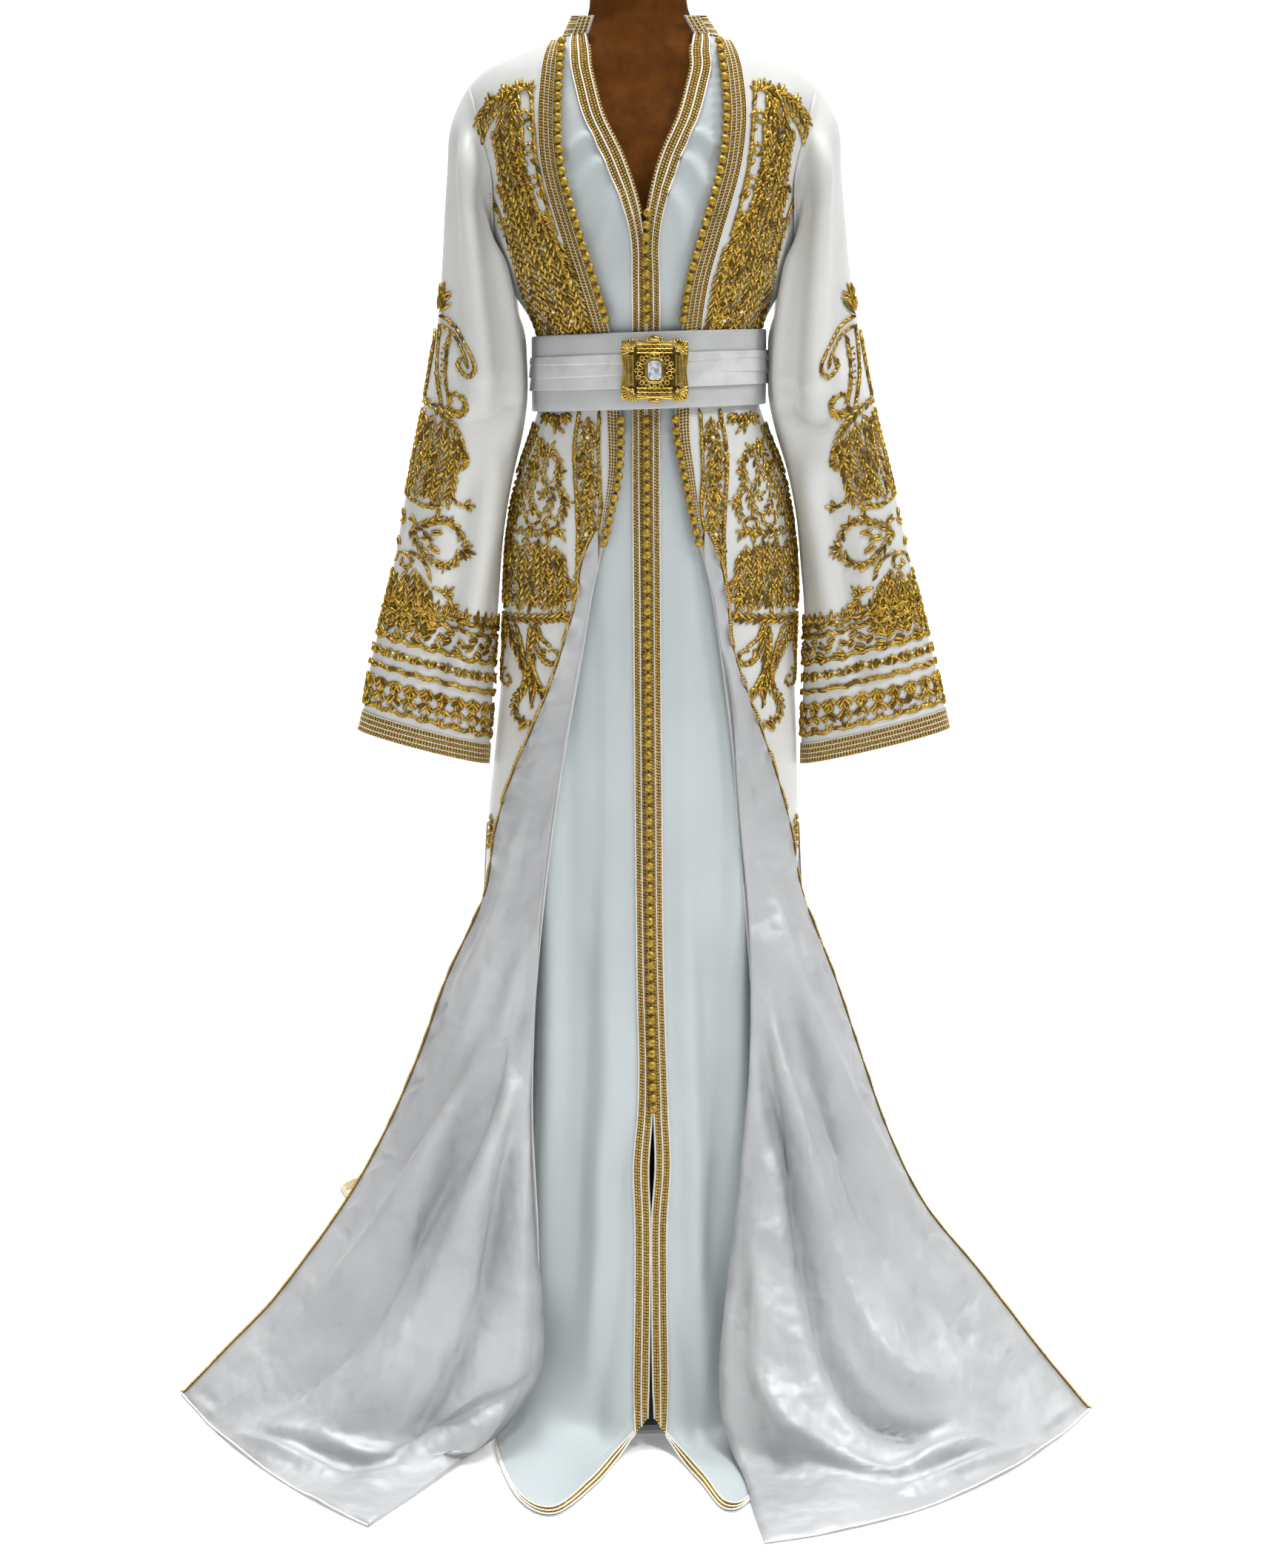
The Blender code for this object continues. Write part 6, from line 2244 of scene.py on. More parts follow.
@dataclass
class Needlework:
    """Gold stitches, pearls and sequins, drawn flat before they are sewn on a canvas.

    Attributes:
        seed: What makes its small unevenness.
        rows: What is drawn: place, heading, length, width and slot of each stitch.
    """

    seed: int
    rows: list[np.ndarray] = field(default_factory=list)

    def __post_init__(self) -> None:
        """Starts the unevenness."""
        self.chance = np.random.default_rng(self.seed)

    def put(self, at: np.ndarray, heading: np.ndarray, length: np.ndarray | float, width: float,
            slot: Gold = Gold.PURL) -> None:
        """Draws stitches, each a little uneven.

        Args:
            at: Their places.
            heading: Their headings.
            length: Their length.
            width: Their width.
            slot: Their thread.
        """
        at = np.atleast_2d(at)
        wild = self.chance.standard_normal((3, len(at)))
        if slot in (Gold.PURL, Gold.DARK):
            slots = np.where(wild[2] > DARK_SHARE, Gold.DARK, slot)
        else:
            slots, wild = np.full(len(at), slot), wild * 0
        self.rows.append(np.column_stack([
            at, heading + UNEVEN_HEADING * wild[0], length * (1 + UNEVEN_LENGTH * wild[1]),
            width * (1 + UNEVEN_WIDTH * wild[0] * wild[1]), slots,
        ]))

    def stem(self, marks: Path, length: float = 0.0104, width: float = 0.0034, lean: float = 0.36,
             pitch: float = 0.0044) -> None:
        """Draws a twisted line of slanting stitches."""
        at, heading = trail(marks, pitch)
        self.put(at, heading + lean, length, width)

    def wheat(self, marks: Path, length: float = 0.0114, width: float = 0.0041,
              spread: float = 0.46, pitch: float = 0.0035) -> None:
        """Draws an ear of wheat, its stitches slanting out to both sides.

        Args:
            marks: The marks it runs through.
            length: The length of a stitch.
            width: Its width.
            spread: How far it slants out.
            pitch: The distance between stitches.
        """
        at, heading = trail(marks, pitch)
        hand = np.where(np.arange(len(at)) % 2, 1.0, -1.0)
        at = at + toward(heading + hand * math.pi / 2) * length * EAR_FOOT
        self.put(at, heading + hand * spread, length, width)

    def leaf(self, at: tuple[float, float], turn: float, length: float = 0.014,
             width: float = 0.0035) -> None:
        """Draws a leaf of two stitches.

        Args:
            at: Its foot.
            turn: Where it points.
            length: Its length.
            width: The width of one stitch.
        """
        hand = np.array([-1.0, 1.0])
        middle = np.array(at) + toward(turn) * length * 0.5
        side = toward(turn + math.pi / 2)
        self.put(middle + hand[:, None] * side * width * LEAF_APART, turn - hand * LEAF_CLOSE,
                 length, width)

    def fan(self, at: tuple[float, float], turn: float, count: int = 5, spread: float = 0.95,
            length: float = 0.014, width: float = 0.0038) -> None:
        """Draws leaves that open from one foot.

        Args:
            at: The foot.
            turn: Where the middle leaf points.
            count: The number of leaves.
            spread: How far the outer leaves turn away.
            length: The length of the middle leaf.
            width: The width of a leaf.
        """
        away = np.linspace(-1, 1, count)
        sizes = length * (1 - FAN_SHORTER * np.abs(away))
        turns = turn + away * spread
        middle = np.array(at) + toward(turns) * (sizes * FAN_MIDDLE)[:, None]
        self.put(middle, turns, sizes, width)

    def comb(self, at: tuple[float, float], radius: float, start: float, end: float,
             length: float = 0.007) -> None:
        """Draws stitches side by side round a centre, pointing away from it.

        Args:
            at: The centre.
            radius: The radius of their outer ends.
            start: The first angle.
            end: The last angle.
            length: Their length.
        """
        count = max(3, int(abs(end - start) * radius / COMB_PITCH))
        turns = np.linspace(start, end, count)
        self.put(np.array(at) + toward(turns) * (radius - length / 2), turns, length, COMB_WIDTH)

    def curl(self, at: tuple[float, float], radius: float, start: float, turns: float,
             filled: bool = False) -> None:
        """Draws a scroll that winds in from its outer end.

        Args:
            at: Its centre.
            radius: Its outer radius.
            start: The angle of its outer end.
            turns: How far it winds, negative for the other way.
            filled: Whether its back is filled with stitches.
        """
        share = np.linspace(0, 1, CURL_MARKS)
        angle = start + share * turns * math.tau
        reach = radius * (1 - CURL_IN * share)
        self.stem(np.array(at) + toward(angle) * reach[:, None], lean=CURL_LEAN * np.sign(turns))
        if filled:
            self.comb(at, radius * CURL_FILL_RADIUS, start, start + turns * CURL_FILL_TURN,
                      radius * CURL_FILL_LENGTH)

    def ring(self, at: tuple[float, float], radius: float) -> None:
        """Draws a small ring."""
        count = max(6, int(radius * math.tau / RING_PITCH))
        turns = np.linspace(0, math.tau, count, endpoint=False)
        self.put(np.array(at) + toward(turns) * radius, turns + RING_TURN, *RING_STITCH)

    def flower(self, at: tuple[float, float], radius: float = 0.0085) -> None:
        """Draws a pearl with short petals round it."""
        turns = np.linspace(0, math.tau, PETALS, endpoint=False)
        self.put(np.array(at) + toward(turns) * radius * PETAL_OUT, turns, radius * PETAL_LENGTH,
                 PETAL_WIDTH)
        self.put(np.array([at]), np.zeros(1), PEARL_WIDTH, PEARL_WIDTH, Gold.PEARL)

    def dots(self, marks: Path, width: float, slot: Gold) -> None:
        """Draws beads or sequins at the marks."""
        at = np.array(marks)
        self.put(at, np.zeros(len(at)), width, width, slot)

    def rows_between(self, outer: Path, inner: Path, tops: Sequence[float], low: float) -> None:
        """Fills the space between two sides with ears of wheat that hang side by side.

        Args:
            outer: The outer side, from the top down.
            inner: The inner side, from the top down.
            tops: The height at which each ear starts.
            low: The height at which they all end.
        """
        sides = [np.array(side)[::-1] for side in (outer, inner)]
        for index, top in enumerate(tops):
            marks = max(3, int((top - low) / HANGING_STEP) + 1)
            heights = np.linspace(top, low + HANGING_UNEVEN * (index % 2), marks)
            ends = [np.interp(heights, side[:, 1], side[:, 0]) for side in sides]
            share = (index + 0.5) / len(tops)
            sway = HANGING_SWAY * np.sin(heights * HANGING_BENDS + index * HANGING_SHIFT)
            self.wheat(np.column_stack([ends[0] * (1 - share) + ends[1] * share + sway, heights]))

    def mirrored(self) -> "Needlework":
        """The same drawing on the other side of the ruler's middle."""
        rows = np.concatenate(self.rows)
        rows[:, 0] *= -1
        rows[:, 2] = math.pi - rows[:, 2]
        return Needlework(self.seed, [rows])

    def sew(self, canvas: Canvas, name: str) -> None:
        """Sews the drawing on the cloth as one raised piece.

        Args:
            canvas: The canvas.
            name: The node that it replaces.
        """
        rows = np.concatenate(self.rows)
        at, out, good = canvas.pin(rows[:, :2])
        tip, _, there = canvas.pin(rows[:, :2] + toward(rows[:, 2]) * STITCH_AHEAD)
        good &= there & (np.linalg.norm(tip - at, axis=1) > LEAST_AHEAD)
        piece = Joined(name + "_sewn", (PURL_THREAD, DARK_GOLD_AND_SHADE, PEARL, SEQUIN))
        kinds = ((Gold.PURL, STITCH, 0.85), (Gold.DARK, STITCH, 0.75), (Gold.PEARL, BEAD, 0.9),
                 (Gold.SEQUIN, BEAD, 0.22))
        for slot, shape, round_share in kinds:
            mine = good & (rows[:, 5] == slot)
            wide = rows[mine, 4]
            size = np.column_stack([rows[mine, 3], wide, wide * round_share])
            lift = out[mine] * (size[:, 2:] * STITCH_LIFT)
            piece.copies(shape, at[mine] + lift, (tip - at)[mine], out[mine], size, int(slot))
        item = piece.finish()
        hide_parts(name)
        LOG.info("%s: %d stitches", name, int(good.sum()))


@dataclass
class Embroidery:
    """The raised gold embroidery: a builder's own layout of leaves, ears and scrolls.

    Attributes:
        chest_outer: The outer side of the chest's motif on the left, in x and height.
        chest_inner: Its inner side.
        hip_outer: The outer side of the hip's motif.
        hip_inner: Its inner side.
    """

    chest_outer: Path = ((-0.122, 1.380), (-0.168, 1.338), (-0.158, 1.283), (-0.141, 1.234),
                         (-0.128, 1.188), (-0.114, 1.138), (-0.109, 1.118))
    chest_inner: Path = ((-0.114, 1.380), (-0.108, 1.337), (-0.104, 1.294), (-0.080, 1.220),
                         (-0.049, 1.129), (-0.046, 1.118))
    hip_outer: Path = ((-0.133, 1.046), (-0.152, 1.000), (-0.168, 0.940), (-0.178, 0.880),
                       (-0.180, 0.800))
    hip_inner: Path = ((-0.090, 1.046), (-0.077, 1.010), (-0.074, 0.950), (-0.077, 0.911),
                       (-0.077, 0.848))

    def build(self, fronts: dict[str, Sheet], tubes: dict[str, Sheet]) -> None:
        """Sews all of it on the fronts and the sleeves.

        Args:
            fronts: The fronts of the outer dress.
            tubes: The sleeves.
        """
        for seed, side in enumerate(SIDES):
            canvas = Canvas.front(fronts[side], side)
            for step, (name, draw) in enumerate((("chest", self.chest), ("column", self.column),
                                                 ("hip", self.hip))):
                draw(10 * seed + step).sew(canvas, f"embroidery_{name}_{side}")
            tube = tubes[side]
            motif = self.sleeve(10 * seed + 4)
            motif.rows += self.sleeve(10 * seed + 5).mirrored().rows
            motif.sew(Canvas.tube(tube, side), f"embroidery_sleeve_{side}")
            last = len(tube.rows) - 2
            strip = tube.part(last - CUFF_BAND_ROWS, last, 0, SLEEVE_SIDES)
            band = Canvas.band(strip)
            wide, tall = strip.size()
            self.cuff(10 * seed + 6, wide, tall).sew(band, f"embroidery_cuff_{side}")

    def chest(self, seed: int) -> Needlework:
        """Draws the chest: a shoulder arc, hanging ears and open sprigs beside the band."""
        work = Needlework(seed)
        arc = ((-0.120, 1.362), (-0.138, 1.357), (-0.154, 1.344), (-0.166, 1.323), (-0.168, 1.300),
               (-0.162, 1.272), (-0.151, 1.246))
        work.wheat(arc, length=0.0130, width=0.0038, spread=0.6, pitch=0.0030)
        work.stem([(x + 0.008, z - 0.004) for x, z in arc[1:]], width=0.0040)
        work.stem([(x - 0.004, z + 0.003) for x, z in arc[2:]], width=0.0036, lean=-0.4)
        for x, z, turn in ((-0.114, 1.360, 1.35), (-0.122, 1.361, 1.6), (-0.134, 1.358, 1.85),
                           (-0.148, 1.349, 2.2)):
            work.fan((x, z), turn, 4, 0.7, 0.014)
        tops = (1.240, 1.270, 1.322, 1.342, 1.352, 1.358, 1.240, 1.212)
        work.rows_between(self.chest_outer, self.chest_inner, tops, 1.120)
        for marks in (((-0.111, 1.368), (-0.108, 1.330), (-0.105, 1.296), (-0.096, 1.256),
                       (-0.085, 1.220)),
                      ((-0.124, 1.350), (-0.119, 1.322), (-0.121, 1.296), (-0.112, 1.268),
                       (-0.104, 1.240)),
                      ((-0.090, 1.232), (-0.080, 1.196), (-0.068, 1.160), (-0.058, 1.128))):
            work.stem(marks)
        for x, z in ((-0.116, 1.336), (-0.113, 1.304), (-0.107, 1.272), (-0.096, 1.236)):
            work.ring((x, z), 0.0048)
            work.leaf((x + 0.004, z - 0.008), -1.0, 0.011)
            work.leaf((x - 0.005, z - 0.010), -2.1, 0.011)
        for x, z in ((-0.083, 1.206), (-0.076, 1.180), (-0.071, 1.152)):
            work.leaf((x, z), -0.9, 0.012)
            work.leaf((x - 0.004, z - 0.006), -2.0, 0.012)
        work.flower((-0.070, 1.138))
        work.flower((-0.088, 1.147), 0.007)
        dots = ((-0.120, 1.310), (-0.135, 1.240), (-0.112, 1.200), (-0.100, 1.160), (-0.108, 1.252))
        work.dots(dots, 0.0034, Gold.SEQUIN)
        return work

    def column(self, seed: int) -> Needlework:
        """Draws the column beside the band: two borders, a vine and two pearl flowers."""
        work = Needlework(seed)
        outer = ((-0.063, 1.048), (-0.068, 1.011), (-0.067, 0.978), (-0.065, 0.946),
                 (-0.0645, 0.913), (-0.0650, 0.888), (-0.0665, 0.866))
        inner = ((-0.0435, 1.048), (-0.0440, 1.011), (-0.0430, 0.978), (-0.0420, 0.950),
                 (-0.0475, 0.926), (-0.0595, 0.905), (-0.0635, 0.880))
        work.stem(outer, width=0.0040, lean=0.22)
        work.stem(inner, width=0.0036, lean=-0.22)
        heights = np.linspace(1.040, 0.905, 10)
        sides = [np.array(side)[::-1] for side in (outer, inner)]
        ends = [np.interp(heights, side[:, 1], side[:, 0]) for side in sides]
        sway = 0.0035 * np.sin(np.arange(10) * 1.9)
        vine = np.column_stack([(ends[0] + ends[1]) / 2 + sway, heights])
        work.wheat(vine, spread=0.62, length=0.0100)
        work.wheat(vine[1:] + (0.0065, -0.004), length=0.0085, pitch=0.0050)
        work.wheat(vine[:8] - (0.0070, 0.003), length=0.0085, pitch=0.0050)
        for step in range(4):
            z = 1.000 - 0.024 * step
            work.leaf((-0.055, z), -0.75, 0.010)
            work.leaf((-0.055, z - 0.010), -2.35, 0.010)
        work.flower((-0.0545, 1.022))
        work.flower((-0.0560, 0.926), 0.0075)
        work.wheat(((-0.0590, 0.918), (-0.0620, 0.895), (-0.0655, 0.870)))
        return work

    def hip(self, seed: int) -> Needlework:
        """Draws the hip: open loops, a dense field and a hanging palmette with its drop."""
        work = Needlework(seed)
        border = ((-0.126, 1.048), (-0.137, 1.022), (-0.149, 0.994), (-0.160, 0.962),
                  (-0.168, 0.925))
        for step in range(4):
            work.wheat([(x + 0.0085 * step, z - 0.010 * step) for x, z in border], length=0.0115,
                       width=0.0038)
        work.stem([(x - 0.007, z - 0.003) for x, z in border[1:]], width=0.0040)
        work.stem([(x - 0.015, z - 0.004) for x, z in border[2:]], width=0.0040)
        for marks in (((-0.106, 1.022), (-0.097, 1.003), (-0.101, 0.984), (-0.091, 0.966),
                       (-0.098, 0.944)),
                      ((-0.093, 1.008), (-0.083, 0.996), (-0.086, 0.978), (-0.078, 0.960),
                       (-0.083, 0.940)),
                      ((-0.118, 1.000), (-0.109, 0.984), (-0.114, 0.964), (-0.106, 0.944))):
            work.wheat(marks, length=0.0105, width=0.0036, spread=0.5, pitch=0.0036)
        for x, z, turn in ((-0.108, 1.024, 2.0), (-0.095, 1.006, 1.0), (-0.104, 0.988, 2.6),
                           (-0.088, 0.984, 0.4), (-0.096, 0.962, 2.7), (-0.081, 0.956, 0.2)):
            work.fan((x, z), turn, 3, 0.7, 0.013)
        for x, z, reach in ((-0.128, 0.951, 0.0080), (-0.111, 0.941, 0.0070),
                            (-0.092, 0.935, 0.0070)):
            work.ring((x, z), reach)
            work.leaf((x - 0.002, z - reach), -1.7, 0.011)
        for x, turn in ((-0.096, -1.9), (-0.088, -1.5), (-0.080, -1.1)):
            work.fan((x, 1.047), turn, 4, 0.6, 0.015, 0.0042)
        work.wheat(((-0.094, 1.046), (-0.088, 1.036), (-0.083, 1.026)), length=0.012, width=0.0040)
        wave = [(x, 0.927 + 0.0026 * math.sin(x * 260)) for x in np.linspace(-0.176, -0.078, 8)]
        work.wheat(wave, length=0.0115, width=0.0038, spread=0.55)
        tops = (0.916, 0.920, 0.914, 0.918, 0.915, 0.919, 0.914, 0.920, 0.915, 0.917, 0.914, 0.912,
                0.906)
        work.rows_between(self.hip_outer, self.hip_inner, tops, 0.848)
        work.wheat(((-0.180, 0.841), (-0.130, 0.839), (-0.076, 0.843)), length=0.0125, width=0.0042,
                   spread=0.55, pitch=0.0032)
        work.curl((-0.080, 0.869), 0.0135, 1.6, -0.9, filled=True)
        work.stem(((-0.080, 0.845), (-0.075, 0.841), (-0.071, 0.846)), width=0.0040)
        legs = ((-0.174, 0.812), (-0.166, 0.800), (-0.157, 0.790), (-0.148, 0.802), (-0.140, 0.812))
        for x, low in legs:
            work.wheat(((x, 0.834), (x + 0.001, (0.834 + low) / 2), (x + 0.002, low)))
        for bend in (-1, 1):
            work.wheat(((-0.122 + bend * 0.016, 0.834), (-0.120 + bend * 0.010, 0.812),
                        (-0.117 + bend * 0.004, 0.790), (-0.112 + bend * 0.002, 0.768)))
            work.stem(((-0.121 + bend * 0.008, 0.832), (-0.119 + bend * 0.003, 0.808),
                       (-0.114 + bend * 0.005, 0.784), (-0.112 + bend * 0.012, 0.766)),
                      width=0.0040)
        work.stem(((-0.108, 0.828), (-0.100, 0.818), (-0.093, 0.812)), width=0.0040)
        work.curl((-0.092, 0.804), 0.0130, 2.6, 0.9, filled=True)
        work.curl((-0.140, 0.776), 0.0100, 1.6, 1.0)
        work.stem(((-0.150, 0.800), (-0.152, 0.784), (-0.148, 0.772)), width=0.0040)
        lobe = ((0.005, 0.770), (0.015, 0.760), (0.019, 0.746), (0.013, 0.734), (0.005, 0.737))
        for side in (-1, 1):
            work.wheat([(-0.112 + side * a, z) for a, z in lobe], length=0.0105, width=0.0040,
                       spread=0.7, pitch=0.0030)
            work.leaf((-0.112 + side * 0.004, 0.735), -1.57 + side * 0.85, 0.015)
        work.leaf((-0.112, 0.780), -1.57, 0.032, 0.0040)
        work.leaf((-0.112, 0.737), -1.57, 0.014, 0.0036)
        work.put(np.array([[-0.112, 0.714]]), np.array([-1.57]), 0.021, 0.0046)
        work.wheat(((-0.157, 0.634), (-0.158, 0.618), (-0.159, 0.600)), length=0.0085)
        work.dots(((-0.112, 0.750), (-0.150, 0.930), (-0.122, 0.931), (-0.100, 0.905)), 0.0036,
                  Gold.SEQUIN)
        return work

    def sleeve(self, seed: int) -> Needlework:
        """Draws half of a sleeve's motif, from its outer line towards the front."""
        work = Needlework(seed)
        work.fan((0.002, 1.148), 1.57, 5, 0.55, 0.024, 0.0042)
        work.fan((0.002, 1.162), 1.4, 5, 0.75, 0.018, 0.0040)
        work.stem(((0.002, 1.146), (0.020, 1.145), (0.037, 1.136), (0.043, 1.120), (0.036, 1.108),
                   (0.027, 1.113), (0.030, 1.122)), width=0.0038)
        work.stem(((0.004, 1.137), (0.020, 1.136), (0.032, 1.128), (0.035, 1.118)), pitch=0.0048)
        work.stem(((0.004, 1.136), (0.006, 1.112), (0.011, 1.086), (0.020, 1.062)), width=0.0038)
        work.stem(((0.014, 1.132), (0.015, 1.112), (0.019, 1.090), (0.026, 1.070)), lean=-0.3)
        for z in (1.118, 1.107, 1.096, 1.085):
            work.put(np.array([[0.0115 + (1.118 - z) * 0.12, z]]), np.zeros(1), 0.0075, 0.0022)
        work.dots(((0.010, 1.112), (0.012, 1.101), (0.014, 1.090)), 0.0032, Gold.SEQUIN)
        for rows in work.rows:
            rows[:, 0] += 0.007
        work.wheat(((0.001, 1.128), (0.002, 1.100), (0.001, 1.064)))
        work.curl((0.038, 1.074), 0.0150, -2.2, 0.95, filled=True)
        work.wheat(((0.000, 1.060), (0.022, 1.058), (0.044, 1.046), (0.056, 1.022)), length=0.0115,
                   width=0.0038)
        work.comb((0.048, 1.020), 0.0150, -1.3, 1.3, 0.0080)
        sides = [[(0.0, 1.050), (0.0, 0.960)], [(0.050, 1.050), (0.054, 1.010), (0.050, 0.960)]]
        work.rows_between(*sides, (1.050, 1.048, 1.049, 1.046, 1.042, 1.034), 0.966)
        work.stem(((0.000, 0.966), (0.024, 0.961), (0.044, 0.966)), width=0.0038)
        work.stem(((0.050, 0.990), (0.056, 0.976), (0.066, 0.974)))
        work.fan((0.065, 0.975), 0.35, 3, 0.8, 0.012)
        work.stem(((0.042, 0.964), (0.040, 0.952), (0.034, 0.944)))
        for x, z, turn in ((0.004, 0.952, -1.2), (0.012, 0.946, -0.4), (0.004, 0.934, 0.9),
                           (0.002, 0.922, -0.9)):
            work.leaf((x, z), turn, 0.012)
        bow = ((0.018, 0.0), (0.032, 0.014), (0.050, 0.023), (0.064, 0.017), (0.069, 0.006))
        for bend in (-1, 1):
            work.wheat([(x, 0.931 + bend * z) for x, z in bow], length=0.0105, width=0.0038,
                       pitch=0.0036)
            work.leaf((0.036, 0.931 + bend * 0.006), bend * 0.35, 0.015)
            work.fan((0.052, 0.931 + bend * 0.020), bend * 1.2, 3, 0.6, 0.010)
        work.leaf((0.026, 0.931), 0.0, 0.018, 0.0036)
        work.fan((0.068, 0.931), 0.0, 5, 0.95, 0.017)
        work.curl((0.016, 0.900), 0.0100, 3.4, -1.1)
        work.stem(((0.020, 0.912), (0.036, 0.905), (0.044, 0.890)))
        sides = [[(0.0, 0.900), (0.0, 0.820)], [(0.046, 0.900), (0.054, 0.850), (0.052, 0.820)]]
        work.rows_between(*sides, (0.888, 0.884, 0.890, 0.894, 0.890, 0.880), 0.834)
        work.stem(((0.048, 0.884), (0.060, 0.880), (0.070, 0.868)))
        work.fan((0.060, 0.880), 0.9, 3, 0.7, 0.012)
        work.fan((0.069, 0.869), -0.3, 3, 0.8, 0.012)
        work.comb((0.046, 0.850), 0.0125, -1.2, 1.2, 0.0070)
        dots = ((0.030, 1.000), (0.016, 1.024), (0.022, 0.868), (0.038, 0.846), (0.010, 0.978))
        work.dots(dots, 0.0034, Gold.SEQUIN)
        return work

    @staticmethod
    def cuff(seed: int, wide: float, tall: float) -> Needlework:
        """Draws the band round a cuff: rows of leaves, twisted lines, crosses and zigzags.

        Args:
            seed: What makes its small unevenness.
            wide: The way round the cuff.
            tall: The height of the band.

        Returns:
            The drawing.
        """
        work = Needlework(seed)

        def level(share: float, wave: float = 0.0, bends: int = 16) -> list[tuple[float, float]]:
            """A line round the cuff at a share of the height."""
            return [(wide * s, tall * share + wave * math.sin(math.tau * bends * s))
                    for s in np.linspace(0, 1, bends * 4 + 1)]

        for lean, share, wave in ((0.3, 0.86, 0.0008), (-0.3, 0.79, 0.0008), (0.3, 0.60, 0.0012),
                                  (-0.3, 0.385, 0.0008)):
            work.stem(level(share, wave), length=0.0118, width=0.0044, lean=lean)
        for step in range(round(wide / 0.0105)):
            x = 0.0105 * step + 0.004
            work.fan((x, tall * 0.87), 1.57, 3, 0.5, 0.0125, 0.0038)
            work.leaf((x, tall * 0.655), 0.55 if step % 2 else -0.45, 0.0125, 0.0040)
            work.leaf((x + 0.004, tall * 0.72), 0.4 if step % 2 else -0.5, 0.0110, 0.0038)
            work.leaf((x + 0.002, tall * 0.825), 2.6 if step % 2 else 0.5, 0.0090, 0.0034)
        for step in range(round(wide / 0.0155)):
            x, z = 0.0155 * step + 0.006, tall * 0.49
            for turn in (0.62, -0.62):
                work.put(np.array([[x, z]]), np.array([turn]), 0.0165, 0.0038)
            work.dots(((x, z + 0.0012),), 0.0038, Gold.PEARL if step % 3 else Gold.SEQUIN)
            work.leaf((x + 0.0078, z + 0.005), -1.57, 0.0100, 0.0040)
            for low, length in ((0.235, 0.0125), (0.130, 0.0125)):
                foot = (x, tall * low)
                work.leaf(foot, 0.85, length, 0.0040)
                work.leaf(foot, math.pi - 0.85, length, 0.0040)
            work.fan((x + 0.0078, tall * 0.19), 1.57, 3, 0.5, 0.0105, 0.0040)
            work.leaf((x + 0.0078, tall * 0.12), -1.57, 0.0085, 0.0040)
        work.stem(level(0.070, 0.0010), width=0.0040)
        return work


# The folds that show, from the front edge outwards and from the top down.
INNER_FOLDS = (
    Crease(((0.05, 0.104), (0.18, 0.108), (0.34, 0.118)), 0.0044, 0.0044),
    Crease(((0.05, 0.113), (0.20, 0.119), (0.38, 0.134)), 0.0042, -0.0022),
    Crease(((0.05, 0.121), (0.20, 0.130), (0.36, 0.150)), 0.0044, 0.0048),
    Crease(((0.05, 0.131), (0.18, 0.143), (0.30, 0.165)), 0.0042, -0.0020),
    Crease(((0.05, 0.141), (0.16, 0.156), (0.24, 0.182)), 0.0044, 0.0040),
    Crease(((0.28, 0.20), (0.22, 0.27), (0.24, 0.40)), 0.0100, -0.0018),
    Crease(((0.18, 0.28), (0.22, 0.45), (0.20, 0.62)), 0.0120, 0.0020),
    Crease(((0.34, 0.38), (0.33, 0.62), (0.36, 0.92)), 0.0170, -0.0100),
    Crease(((0.50, 0.40), (0.47, 0.65), (0.52, 0.96)), 0.0190, 0.0110),
    Crease(((0.22, 0.55), (0.21, 0.75), (0.26, 0.94)), 0.0140, 0.0080),
    Crease(((0.66, 0.50), (0.62, 0.75), (0.66, 0.95)), 0.0190, -0.0100),
    Crease(((0.14, 0.72), (0.18, 0.86), (0.30, 0.97)), 0.0110, -0.0060),
)
OUTER_FOLDS = (
    Crease(((0.55, 0.02), (0.50, 0.08), (0.42, 0.14)), 0.0100, 0.0010),
    Crease(((0.86, 0.10), (0.80, 0.18), (0.74, 0.24)), 0.0090, -0.0012),
    Crease(((0.40, 0.29), (0.41, 0.33), (0.40, 0.38)), 0.0045, -0.0011),
    Crease(((0.52, 0.29), (0.53, 0.32), (0.54, 0.36)), 0.0050, 0.0010),
    Crease(((0.36, 0.345), (0.42, 0.350), (0.47, 0.346)), 0.0035, 0.0010),
    Crease(((0.36, 0.368), (0.42, 0.364), (0.48, 0.370)), 0.0040, -0.0010),
    Crease(((0.35, 0.402), (0.42, 0.408), (0.48, 0.402)), 0.0040, 0.0011),
    Crease(((0.35, 0.432), (0.43, 0.426), (0.49, 0.430)), 0.0040, -0.0011),
    Crease(((0.35, 0.462), (0.43, 0.468), (0.50, 0.462)), 0.0050, 0.0010),
    Crease(((0.80, 0.45), (0.78, 0.62), (0.82, 0.85)), 0.0160, 0.0016),
)
